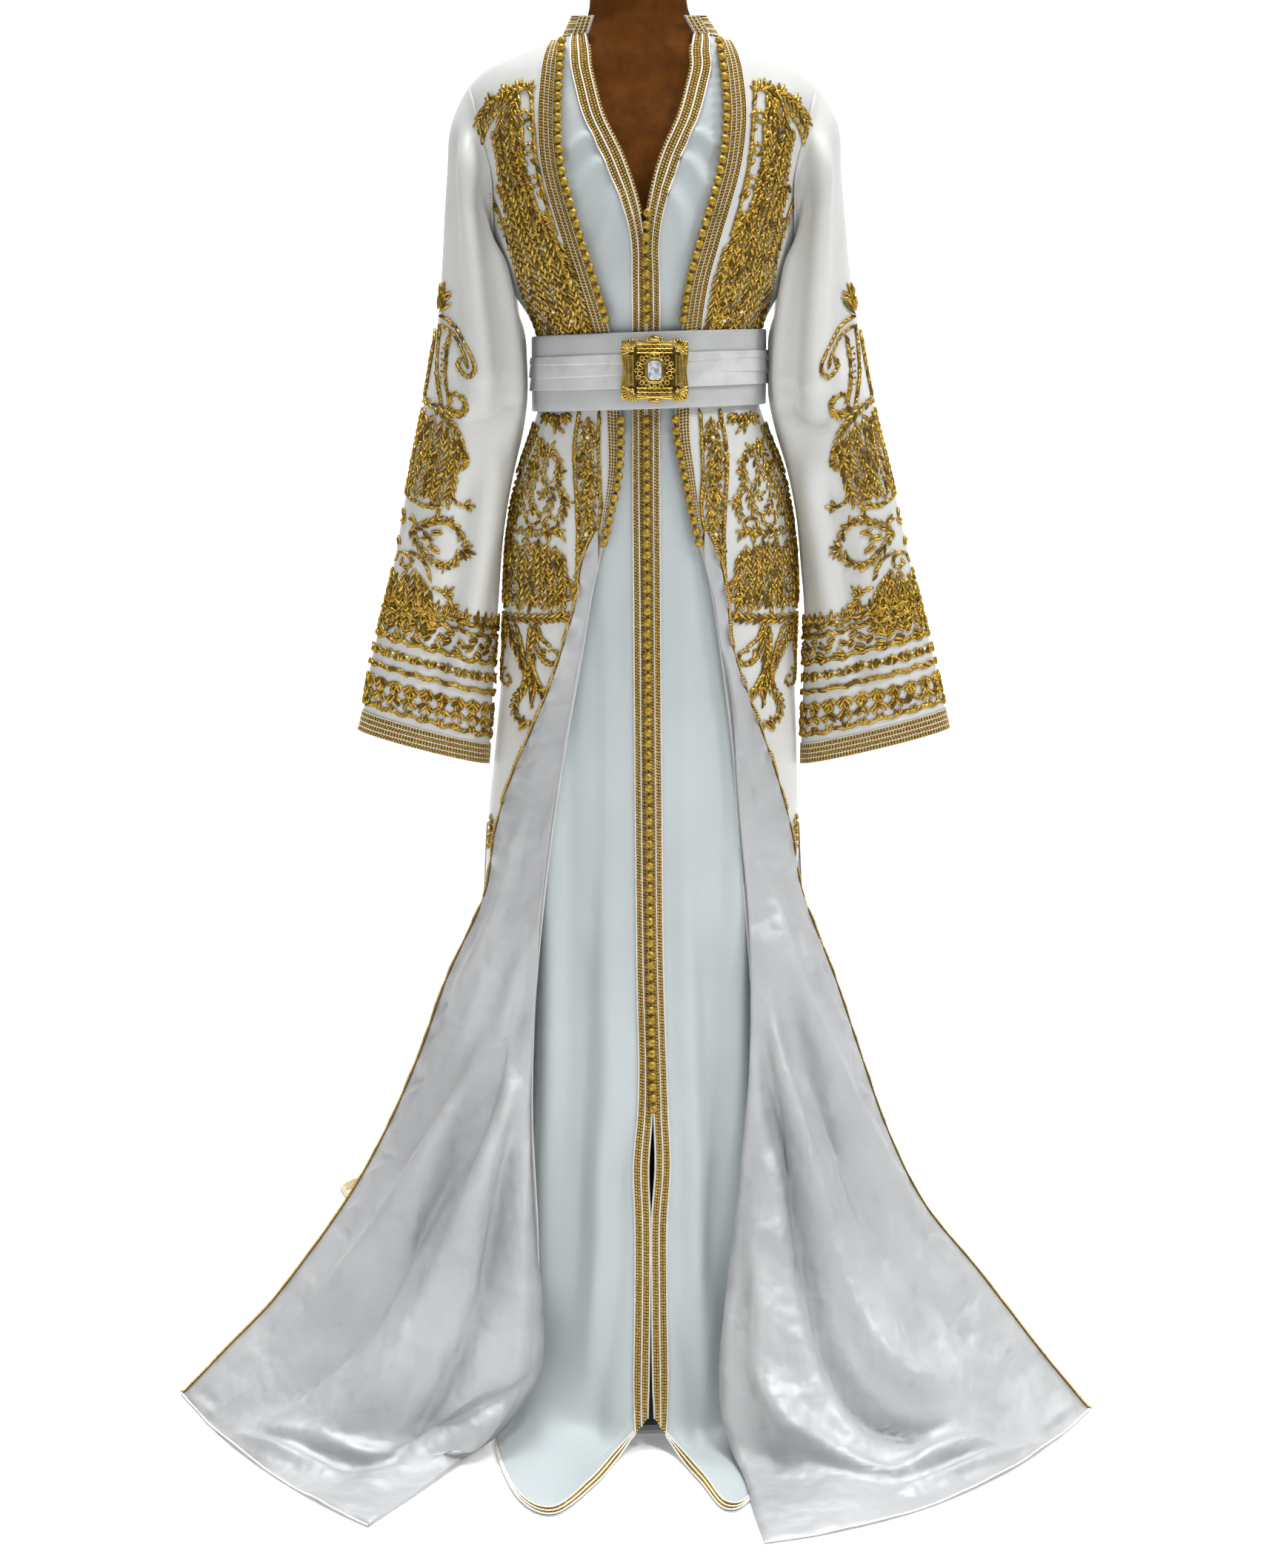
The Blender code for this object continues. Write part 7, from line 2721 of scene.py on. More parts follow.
TURN_FOLDS = {
    "left": (
        Crease(((0.16, 0.38), (0.34, 0.54), (0.52, 0.70), (0.66, 0.84)), 0.0300, -0.0210),
        Crease(((0.02, 0.60), (0.05, 0.72), (0.09, 0.84), (0.12, 0.95)), 0.0172, 0.0195),
        Crease(((0.06, 0.56), (0.16, 0.70), (0.27, 0.81), (0.34, 0.90)), 0.0129, -0.0299),
        Crease(((0.10, 0.44), (0.28, 0.64), (0.42, 0.77), (0.54, 0.90)), 0.0146, 0.0195),
        Crease(((0.04, 0.83), (0.20, 0.865), (0.36, 0.91)), 0.0077, -0.0143),
        Crease(((0.03, 0.44), (0.28, 0.57), (0.52, 0.70), (0.68, 0.83), (0.80, 0.93)), 0.0120,
               -0.0156),
        Crease(((0.14, 0.36), (0.40, 0.52), (0.64, 0.66), (0.86, 0.82)), 0.0155, 0.0130),
        Crease(((0.05, 0.30), (0.34, 0.44), (0.60, 0.56), (0.88, 0.70)), 0.0138, -0.0091),
        Crease(((0.40, 0.28), (0.58, 0.38), (0.84, 0.50)), 0.0112, 0.0065),
        Crease(((0.20, 0.12), (0.24, 0.24), (0.34, 0.36)), 0.0086, -0.0052),
        Crease(((0.30, 0.955), (0.50, 0.930), (0.74, 0.950)), 0.0095, 0.0104),
        Crease(((0.20, 0.90), (0.46, 0.885), (0.70, 0.905)), 0.0086, 0.0091),
    ),
    "right": (
        Crease(((0.30, 0.38), (0.46, 0.56), (0.60, 0.74), (0.70, 0.86)), 0.0300, -0.0210),
        Crease(((0.03, 0.47), (0.20, 0.61), (0.27, 0.74), (0.33, 0.82), (0.45, 0.87), (0.60, 0.89)),
               0.0112, -0.0312),
        Crease(((0.12, 0.42), (0.32, 0.60), (0.42, 0.74), (0.50, 0.81), (0.66, 0.85)), 0.0138,
               0.0182),
        Crease(((0.02, 0.62), (0.10, 0.74), (0.13, 0.84), (0.22, 0.92)), 0.0155, 0.0169),
        Crease(((0.05, 0.80), (0.20, 0.88), (0.38, 0.92), (0.54, 0.905), (0.74, 0.95)), 0.0095,
               0.0143),
        Crease(((0.28, 0.40), (0.52, 0.58), (0.70, 0.74), (0.88, 0.88)), 0.0129, -0.0130),
        Crease(((0.10, 0.28), (0.46, 0.44), (0.70, 0.58), (0.92, 0.74)), 0.0155, 0.0117),
        Crease(((0.06, 0.20), (0.40, 0.34), (0.78, 0.50)), 0.0129, -0.0078),
        Crease(((0.30, 0.10), (0.34, 0.22), (0.44, 0.34)), 0.0086, 0.0052),
        Crease(((0.34, 0.965), (0.56, 0.945), (0.80, 0.965)), 0.0086, 0.0104),
    ),
}
SLEEVE_FOLDS = (
    Crease(((0.60, 0.01), (0.55, 0.18), (0.46, 0.42)), 0.0110, 0.0117),
    Crease(((0.50, 0.02), (0.44, 0.20), (0.37, 0.44)), 0.0100, -0.0138),
    Crease(((0.40, 0.06), (0.36, 0.24), (0.33, 0.48)), 0.0100, 0.0086),
    Crease(((0.68, 0.04), (0.66, 0.22), (0.60, 0.40)), 0.0120, -0.0097),
    Crease(((0.34, 0.36), (0.42, 0.42), (0.52, 0.44)), 0.0070, -0.0080),
    Crease(((0.36, 0.30), (0.44, 0.36), (0.54, 0.37)), 0.0070, 0.0058),
    Crease(((0.40, 0.46), (0.38, 0.66), (0.41, 0.88)), 0.0120, 0.0109),
    Crease(((0.46, 0.50), (0.46, 0.70), (0.48, 0.92)), 0.0110, -0.0097),
    Crease(((0.06, 0.05), (0.10, 0.30), (0.04, 0.60)), 0.0130, 0.0130),
    Crease(((0.94, 0.04), (0.97, 0.35), (0.92, 0.75)), 0.0130, -0.0130),
    Crease(((0.14, 0.30), (0.12, 0.55), (0.15, 0.90)), 0.0120, -0.0097),
)
BACK_CREASES = (
    Crease(((0.50, 0.03), (0.49, 0.12), (0.50, 0.18)), 0.0120, -0.0012),
    Crease(((0.30, 0.17), (0.31, 0.25), (0.29, 0.34)), 0.0100, 0.0014),
    Crease(((0.43, 0.18), (0.44, 0.27), (0.42, 0.36)), 0.0090, -0.0014),
    Crease(((0.58, 0.18), (0.57, 0.26), (0.59, 0.35)), 0.0100, 0.0014),
    Crease(((0.71, 0.17), (0.70, 0.25), (0.73, 0.36)), 0.0090, -0.0014),
    Crease(((0.20, 0.34), (0.19, 0.50), (0.16, 0.66)), 0.0180, 0.0090),
    Crease(((0.35, 0.36), (0.34, 0.55), (0.31, 0.82)), 0.0200, -0.0105),
    Crease(((0.47, 0.34), (0.47, 0.56), (0.45, 0.88)), 0.0180, 0.0090),
    Crease(((0.60, 0.36), (0.61, 0.58), (0.64, 0.84)), 0.0200, -0.0097),
    Crease(((0.79, 0.34), (0.80, 0.52), (0.84, 0.68)), 0.0180, 0.0090),
    Crease(((0.12, 0.72), (0.24, 0.80), (0.40, 0.83)), 0.0160, 0.0060),
    Crease(((0.55, 0.86), (0.70, 0.83), (0.84, 0.78)), 0.0160, 0.0060),
)


@dataclass
class DressForm:
    """The limbless form with its neck, on a pole and a round base.

    Attributes:
        size: The size of the mesh's cells.
        sides: The coarse points round a section.
        middle: A height between its upper and its lower rim.
        top_steps: How its upper rim closes, as a share that is left and a rise for each step.
        low_steps: How its lower rim closes.
    """

    size: float = 0.009
    sides: int = FORM_SIDES
    middle: float = 1.0
    top_steps: Path = ((0.9, 0.0012), (0.7, 0.0))
    low_steps: Path = ((0.9, -0.018), (0.7, -0.010))

    def build(self) -> None:
        """Makes the torso."""
        rings = []
        for row in FORM:
            ease = read(FORM_EASE, "ease", "height", row.height)
            ring = [on_body(FORM, row.height, math.tau * n / self.sides - math.pi, -ease)
                    for n in range(self.sides + 1)]
            rings.append(ring)
        sheet = Sheet.through(rings, self.size, closed=True)
        shape = Shape.of_grid(sheet.points)
        mesh = bpy.data.meshes.new("form_torso_velvet")
        mesh.from_pydata(shape.points.tolist(), [], shape.faces)
        work = bmesh.new()
        work.from_mesh(mesh)
        bmesh.ops.remove_doubles(work, verts=work.verts, dist=WELD)
        rims = [edge for edge in work.edges if edge.is_boundary]
        top = [edge for edge in rims if edge.verts[0].co.z > self.middle]
        low = [edge for edge in rims if edge.verts[0].co.z < self.middle]
        for edges, steps in ((top, self.top_steps), (low, self.low_steps)):
            for share, rise in steps:
                edges = self.closer(work, edges, share, rise)
            bmesh.ops.holes_fill(work, edges=edges, sides=len(edges))
        bmesh.ops.recalc_face_normals(work, faces=work.faces)
        work.to_mesh(mesh)
        work.free()
        mesh.materials.append(VELVET.make())
        mesh.shade_smooth()
        item = link("form_torso_velvet", mesh)
        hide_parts("form_torso")

    @staticmethod
    def closer(work: bmesh.types.BMesh, edges: list[bmesh.types.BMEdge], share: float,
               rise: float) -> list[bmesh.types.BMEdge]:
        """Draws a rim in by one step.

        Args:
            work: The mesh.
            edges: The rim.
            share: How far it shrinks.
            rise: How far it moves up.

        Returns:
            The new rim.
        """
        made = bmesh.ops.extrude_edge_only(work, edges=edges)["geom"]
        points = [item for item in made if isinstance(item, bmesh.types.BMVert)]
        middle = sum((vert.co for vert in points), Vector()) / len(points)
        for vert in points:
            vert.co = middle + (vert.co - middle) * share + Vector((0, 0, rise))
        return [item for item in made if isinstance(item, bmesh.types.BMEdge)]


# The looped cord of the neckline: its ends, its pitch, how its loops slant and lift, their size.
PICOT_ENDS = (1.405, 1.240)
PICOT_PITCH = 0.0036
PICOT_SLANT = 0.5
PICOT_LIFT = 0.0012
PICOT_LOOP = (0.0062, 0.0022, 0.0024)


@dataclass
class InnerDress:
    """The closed inner dress of cool white satin with its braids and buttons.

    Attributes:
        size: The size of the cloth's cells.
        back_coarser: How much larger they are on the hidden back.
        front_cut: The width and length of each front as it was cut.
        back_cut: The width and length of the back.
        collar_cut: The width and length of the stand collar.
        fronts: The fronts, for what is sewn on them.
    """

    size: float = 0.0052
    back_coarser: float = 2.4
    front_cut: tuple[float, float] = (0.21, 1.58)
    back_cut: tuple[float, float] = (0.41, 1.48)
    collar_cut: tuple[float, float] = (0.32, 0.024)
    fronts: dict[str, Sheet] = field(default_factory=dict)

    def build(self) -> None:
        """Makes the dress, its braids and its buttons."""
        for side in SIDES:
            self.front(side)
        back = Sheet.through(inner_back(), self.size * self.back_coarser)
        back.creased((), False, rough=0.0006, seed=3.0, room=(0.001, 0.001))
        self.sheet("inner_back", back, self.back_cut, ["form_torso_velvet"])
        collar = Sheet.through(inner_collar(), self.size)
        self.sheet("inner_collar", collar, self.collar_cut, ["inner_back_satin"])
        piece = Joined("inner_collar_braid_worked", (BRAID_THREAD, DARK_GOLD_AND_SHADE, WHITE_PIPING))
        last = len(collar.columns) - 1
        Braid(3).lay(piece, collar.part(0, len(collar.rows) - 1, 1, last - 1), Way.ACROSS)
        for start in (0, last - 1):
            Braid(3).lay(piece, collar.part(0, len(collar.rows) - 1, start, start + 1), Way.DOWN)
        item = piece.finish()
        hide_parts("inner_collar_braid")
        balls = BallButtons()
        front = self.fronts["right"]
        balls.sew("inner_buttons_upper", front, 0, BUTTON_TOP, BELT_MIDDLE + BELT_CLEAR,
                  INNER_PITCH, 0.0)
        balls.sew("inner_buttons_lower", front, 0, BELT_MIDDLE - BELT_CLEAR, BUTTON_BOTTOM,
                  INNER_PITCH, 0.0)

    @staticmethod
    def sheet(name: str, sheet: Sheet, cut: tuple[float, float], rests_on: list[str]) -> None:
        """Makes one panel of the inner dress.

        Args:
            name: The node that it replaces.
            sheet: Its outer face.
            cut: Its width and length as it was cut; not used.
            rests_on: What it hangs from; not used.
        """
        item = cloth(name + "_satin", sheet, ICE_SATIN)
        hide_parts(name)

    def front(self, side: str) -> None:
        """Makes one front with its long braid and its hem trim.

        Args:
            side: Left or right.
        """
        left = side == "left"
        sheet = Sheet.through(inner_front(side), self.size)
        sheet.creased(INNER_FOLDS, left, rough=0.0007, seed=1.0 if left else 2.0,
                      room=(0.0013, 0.0028))
        self.fronts[side] = sheet
        self.sheet(f"inner_front_{side}", sheet, self.front_cut, ["form_torso_velvet"])
        rows, columns = len(sheet.rows) - 1, len(sheet.columns) - 1
        start, end = (columns - 1, columns) if left else (0, 1)
        piece = Joined(f"inner_braid_{side}_worked", (BRAID_THREAD, DARK_GOLD_AND_SHADE, WHITE_PIPING))
        Braid(2, line=0.0019).lay(piece, sheet.part(0, rows, start, end), Way.DOWN)
        self.picot(piece, sheet, columns if left else 0)
        item = piece.finish()
        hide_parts(f"inner_braid_{side}")
        start, end = (0, columns - 1) if left else (1, columns)
        # The hem braid's grains take the buttons' darker gold in place of the braid gold: painted
        # shade that tones down the strong top light on this braid, which faces up.
        piece = Joined(f"inner_hem_{side}_worked", (BALL_THREAD, DARK_GOLD_AND_SHADE, WHITE_PIPING))
        Braid(2, line=0.0016).lay(piece, sheet.part(rows - 1, rows, start, end), Way.ACROSS)
        item = piece.finish()
        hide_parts(f"inner_hem_{side}")

    @staticmethod
    def picot(piece: Joined, sheet: Sheet, edge: int) -> None:
        """Adds the thin looped cord along the neckline.

        Args:
            piece: The braid that it is part of.
            sheet: The front.
            edge: The coarse column of the edge.
        """
        column = sheet.columns[edge]
        line, out = between(sheet.points[:, column], sheet.normals()[:, column], *PICOT_ENDS)
        at, facing, along = spaced(line, out, PICOT_PITCH)
        side = np.cross(facing, along)
        for lean in (-1, 1):
            slant = unit(along * PICOT_SLANT + side * lean)
            piece.copies(GRAIN, at + facing * PICOT_LIFT, slant, facing, PICOT_LOOP)


# The lowest that the face of cloth on the floor may get.
CLOTH_FLOOR = LYING + 0.0004

# The turned back part starts in a tip: its width beside the first row, and its rise over it.
TIP_SHARE = 0.12
TIP_RISE = 0.030

# The gold cord: how far it lies outside the edge, its core, and the pitch, the slant, the place
# and the size of its twisted strands.
CORD_ASIDE = 0.0024
CORD_CORE = 0.0014
CORD_PITCH = 0.0028
STRAND_ALONG = 0.75
STRAND_ASIDE = 0.66
STRAND_OUT = 0.0011
STRAND_SIZE = (0.0058, 0.0025, 0.0025)

# The piping of a train's hem.
PIPING_RADIUS = 0.0009
PIPING_LIFT = (0.0, 0.0, 0.0004)

# The puckers along the cord: how many there are, where they start, how far apart and how unevenly
# they lie, how far they reach in and droop, and how wide and deep they are.
PUCKER_COUNT = 46
PUCKER_START = 0.03
PUCKER_PITCH = 0.0205
PUCKER_UNEVEN = 0.004
PUCKER_REACH = 0.13
PUCKER_CHANGE = 0.07
PUCKER_BEATS = (2.3, 1.7)
PUCKER_SHIFT = {"left": 0.8, "right": 0.0}
PUCKER_DROOP = (0.006, 0.014)
PUCKER_WIDTH = 0.0050
PUCKER_DEPTH = 0.0042


@dataclass
class OuterDress:
    """The open outer dress with its bands, turned back fronts and trains.

    Attributes:
        size: The size of the cloth's cells.
        back_coarser: How much larger they are on the hidden back.
        front_cut: The width and length of each front as it was cut.
        turn_cut: The width and length of each turned back part.
        back_cut: The width and length of the back with its train.
        back_area: The flat area of the back.
        band_low: The height at which the bands have run out to a point.
        fronts: The fronts, for what is sewn on them.
        turns: The turned back parts.
    """

    size: float = 0.0058
    back_coarser: float = 2.2
    front_cut: tuple[float, float] = (0.115, 1.38)
    turn_cut: tuple[float, float] = (0.215, 1.06)
    back_cut: tuple[float, float] = (0.98, 2.10)
    back_area: float = 1.13
    band_low: float = 0.898
    fronts: dict[str, Sheet] = field(default_factory=dict)
    turns: dict[str, Sheet] = field(default_factory=dict)

    def build(self) -> None:
        """Makes both fronts, the back and their braids, buttons and cords."""
        for side in SIDES:
            self.front(side)
            self.turned_back(side)
        self.back()

    def front(self, side: str) -> None:
        """Makes one front with its band and ball buttons.

        Args:
            side: Left or right.
        """
        left = side == "left"
        sheet = Sheet.through(outer_front(side), self.size)
        sheet.creased(OUTER_FOLDS, left, rough=0.0005, seed=4.0 if left else 5.0,
                      room=(0.0009, 0.0030))
        self.fronts[side] = sheet
        item = cloth(f"outer_front_{side}_satin", sheet, IVORY_SATIN)
        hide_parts(f"outer_front_{side}")
        columns = len(sheet.columns) - 1
        last = sum(1 for height in OUTER_HEIGHTS if height >= self.band_low)
        start, end = (columns - BAND_COLUMNS, columns) if left else (0, BAND_COLUMNS)
        piece = Joined(f"outer_braid_{side}_worked", (BRAID_THREAD, DARK_GOLD_AND_SHADE, WHITE_PIPING))
        strip = sheet.part(0, last, start, end).narrowed(left, self.band_low)
        Braid(4, line=0.0008).lay(piece, strip, Way.DOWN)
        item = piece.finish()
        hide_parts(f"outer_braid_{side}")
        balls = BallButtons()
        edge = sheet.points.shape[1] - 1 if left else 0
        spans = (("upper", OUTER_BUTTON_TOP, BELT_MIDDLE + BELT_CLEAR),
                 ("lower", BELT_MIDDLE - BELT_CLEAR, OUTER_BUTTON_BOTTOM))
        for label, top, bottom in spans:
            balls.sew(f"outer_buttons_{side}_{label}", sheet, edge, top, bottom, OUTER_PITCH,
                      BUTTON_PAST_EDGE)

    def turned_back(self, side: str) -> None:
        """Makes one turned back part with its train and its gold cord.

        Args:
            side: Left or right.
        """
        left = side == "left"
        grid = turned_back(side)
        corner = grid[0][-1 if left else 0]
        rise = Vector((0.0, 0.0, TIP_RISE))
        tip = [corner + (point - corner) * TIP_SHARE + rise for point in grid[0]]
        sheet = Sheet.through([tip] + grid, self.size)
        sheet.creased(TURN_FOLDS[side] + self.puckers(side), left, rough=0.0036,
                      seed=6.0 if left else 7.0, room=(0.0012, 0.0062))
        sheet.points[..., 2] = np.maximum(sheet.points[..., 2], CLOTH_FLOOR)
        self.turns[side] = sheet
        item = cloth(f"outer_turn_{side}_satin", sheet, SILVER_SATIN)
        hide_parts(f"outer_turn_{side}")
        column = 0 if left else sheet.points.shape[1] - 1
        beside = 1 if left else -2
        away = unit(sheet.points[:, column] - sheet.points[:, beside])
        line = sheet.points[:, column] + away * CORD_ASIDE
        line[:, 2] = np.maximum(line[:, 2], CORD_RADIUS + CORD_LIFT)
        piece = Joined(f"outer_cord_{side}_worked", (BRAID_THREAD, DARK_GOLD_AND_SHADE, WHITE_PIPING))
        self.cord(piece, line, sheet.normals()[:, column])
        piece.tube(sheet.points[-1] + PIPING_LIFT, PIPING_RADIUS, 2)
        item = piece.finish()
        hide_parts(f"outer_cord_{side}")

    @staticmethod
    def puckers(side: str) -> tuple[Crease, ...]:
        """The short puckers that the cord draws into the edge of the lining.

        Args:
            side: Left or right.

        Returns:
            The puckers.
        """
        made = []
        for step in range(PUCKER_COUNT):
            sway = math.sin(step * PUCKER_BEATS[0])
            beat = math.sin(step * PUCKER_BEATS[1] + PUCKER_SHIFT[side])
            down = PUCKER_START + PUCKER_PITCH * step + PUCKER_UNEVEN * sway
            reach = PUCKER_REACH + PUCKER_CHANGE * beat
            depth = PUCKER_DEPTH * (1 if step % 2 else -1) * min(1.0, 0.5 + down)
            path = ((1.0, down), (1.0 - reach / 2, down - PUCKER_DROOP[0]),
                    (1.0 - reach, down - PUCKER_DROOP[1]))
            made.append(Crease(path, PUCKER_WIDTH, depth))
        return tuple(made)

    @staticmethod
    def cord(piece: Joined, line: np.ndarray, out: np.ndarray) -> None:
        """Adds a twisted gold cord along a line.

        Args:
            piece: The piece that it is added to.
            line: The points of the line.
            out: The direction out at each point.
        """
        # The core takes the dark gold: painted shade between the strands.
        piece.tube(line, CORD_CORE, 1, 5)
        at, facing, along = spaced(line, out, CORD_PITCH)
        side = np.cross(facing, along)
        for hand in (1, -1):
            slant = unit(along * STRAND_ALONG + side * (hand * STRAND_ASIDE))
            piece.copies(GRAIN, at + facing * (hand * STRAND_OUT), slant, facing, STRAND_SIZE)

    def back(self) -> None:
        """Makes the back with its train and the braid round its slits and hem."""
        sheet = Sheet.through(outer_back(), self.size * self.back_coarser)
        sheet.creased(BACK_CREASES, False, rough=0.0010, seed=8.0, room=(0.0012, 0.0040))
        sheet.points[..., 2] = np.maximum(sheet.points[..., 2], CLOTH_FLOOR)
        item = cloth("outer_back_satin", sheet, IVORY_SATIN)
        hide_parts("outer_back")
        first = sum(1 for height in OUTER_HEIGHTS if height >= SLIT_TOP) - 1
        last, columns = len(sheet.rows) - 1, len(sheet.columns) - 1
        piece = Joined("outer_back_braid_worked", (BRAID_THREAD, DARK_GOLD_AND_SHADE, WHITE_PIPING))
        braid = Braid(3, pitch=0.0032)
        braid.lay(piece, sheet.part(first, last, 0, 1), Way.DOWN)
        braid.lay(piece, sheet.part(first, last, columns - 1, columns), Way.DOWN)
        braid.lay(piece, sheet.part(last - 1, last, 1, columns - 1), Way.ACROSS)
        item = piece.finish()
        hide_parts("outer_back_braid")


@dataclass
class Sleeves:
    """The two wide sleeves with their cuff braids.

    Attributes:
        size: The size of the cloth's cells.
        cut: The width and length of a sleeve as it was cut.
        lap: How much wider than the armhole the sleeve's seam is.
        lap_out: How far the seam lies out of the dress.
        tubes: The sleeves, for what is sewn on them.
    """

    size: float = 0.0062
    cut: tuple[float, float] = (0.32, 0.61)
    lap: float = 1.09
    lap_out: float = 0.0010
    tubes: dict[str, Sheet] = field(default_factory=dict)

    def build(self) -> None:
        """Makes both sleeves."""
        for side in SIDES:
            left = side == "left"
            seam = armhole_ring(-1 if left else 1, self.lap, self.lap_out)
            sheet = Sheet.through([seam] + sleeve(side), self.size, closed=True)
            sheet.creased(SLEEVE_FOLDS, left, rough=0.0008, seed=9.0 if left else 10.0,
                          room=(0.0085, 0.0130))
            self.tubes[side] = sheet
            item = cloth(f"sleeve_{side}_satin", sheet, IVORY_SATIN)
            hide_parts(f"sleeve_{side}")
            last = len(sheet.rows) - 1
            piece = Joined(f"cuff_braid_{side}_worked", (BRAID_THREAD, DARK_GOLD_AND_SHADE, WHITE_PIPING))
            strip = sheet.part(last - 1, last, 0, len(sheet.columns) - 1)
            strip.closed = False
            Braid(4, line=0.0009).lay(piece, strip, Way.ACROSS)
            item = piece.finish()
            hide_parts(f"cuff_braid_{side}")


# The sash: the shares of a pleat at which it has a row, the angle at which the buckle holds
# the pleats together, and how far round that reaches.
PLEAT_SHARES = (0.0, 0.12, 0.35, 0.62, 0.84, 0.95, 1.0)
GATHER_TURN = 0.05
GATHER_REACH = 0.42

# The openwork of the buckle: how far it lies out of the back, and half its domed part.
OPENWORK_OUT = 0.0036
DOME_HALF = (0.031, 0.029)

# The buckle's backing plates, dark as painted shade in the hollow behind the openwork: half their
# width and height, and how far out their faces lie.
BACKING_PLATES = ((0.0262, 0.0236, 0.0014), (0.0180, 0.0165, 0.0026))

# Its frame: half its size, how far its sides swell and how square its corners are, how far out
# it lies, and the share and the radius of its two wires.
FRAME_HALF = (0.0316, 0.0275)
FRAME_SWELL = 0.05
FRAME_SQUARE = 0.86
FRAME_OUT = 0.0030
FRAME_WIRES = ((1.0, 0.0016), (0.945, 0.0008))

# Its rails and the zigzags between them, upright at the sides and level above and below: how far
# from the middle they lie, how far a zigzag swings, and half the length of rail and zigzag.
UPRIGHT_RAILS = (0.0286, 0.0252, 0.0212)
UPRIGHT_ZIGZAGS = ((0.0269, 0.0013), (0.0232, 0.0016))
UPRIGHT_REACH = (0.0152, 0.0148)
LEVEL_RAILS = (0.0254, 0.0212, 0.0172)
LEVEL_ZIGZAGS = ((0.0233, 0.0018), (0.0192, 0.0017))
LEVEL_REACH = (0.0175, 0.0170)
RAIL_MARKS = 9
ZIGZAG_STROKES = 14

# The wire petals round the stone: how many there are in a ring, each ring's start, length and half
# width, how much narrower and lower than round the rings are, and how far they stand out.
PETAL_WIRES = 16
INNER_PETAL = (0.0120, 0.0062, 0.0021)
OUTER_PETAL = (0.0160, 0.0050, 0.0019)
PETAL_FLAT = (0.94, 0.90)
PETAL_RAISED = 0.0004

# The shells in the corners: their feet, how many ribs they have and how far these spread, how far
# from the foot and out a rib lies, and the sizes of a rib and of the knob on the foot.
SHELL_FOOT = (0.0222, 0.0198)
SHELL_RIBS = 8
SHELL_SPREAD = 1.15
RIB_FROM_FOOT = 0.0060
RIB_OUT = 0.0048
RIB_SIZE = (0.0116, 0.0033, 0.0040)
KNOB_OUT = 0.0056
KNOB_SIZE = (0.0050, 0.0050, 0.0044)

# The parts of both clasp tabs: across and up from the middle, out, and their size.
CLASP_TABS = (
    (0.0, 0.0312, 0.0030, (0.0110, 0.0062, 0.0050)),
    (0.0, 0.0288, 0.0026, (0.0150, 0.0030, 0.0040)),
    (-0.0075, 0.0300, 0.0026, (0.0028, 0.0060, 0.0040)),
    (0.0075, 0.0300, 0.0026, (0.0028, 0.0060, 0.0040)),
    (0.0, -0.0294, 0.0026, (0.0130, 0.0046, 0.0040)),
    (-0.0052, -0.0300, 0.0028, (0.0026, 0.0050, 0.0040)),
    (0.0052, -0.0300, 0.0028, (0.0026, 0.0050, 0.0040)),
)

# The stone: how far its foot lies out of the buckle's back, how large that is, and how each cut
# step grows in and up.
STONE_SEAT = 0.0062
STONE_FOOT = 0.9
STONE_STEPS = ((-0.0007, 0.0012), (0.0013, 0.0011), (0.0015, 0.0008), (0.0014, 0.0004))

# The wires of the bezel beside the stone's outline: their share, their radius and their place out.
BEZEL_OUTLINE = 1.05
BEZEL_WIRES = ((1.0, 0.0010, 0.0066), (1.12, 0.0007, 0.0060))

# Where on each stroke of a closed line a wire starts and ends its turn.
CORNER_SHARES = (0.12, 0.88)


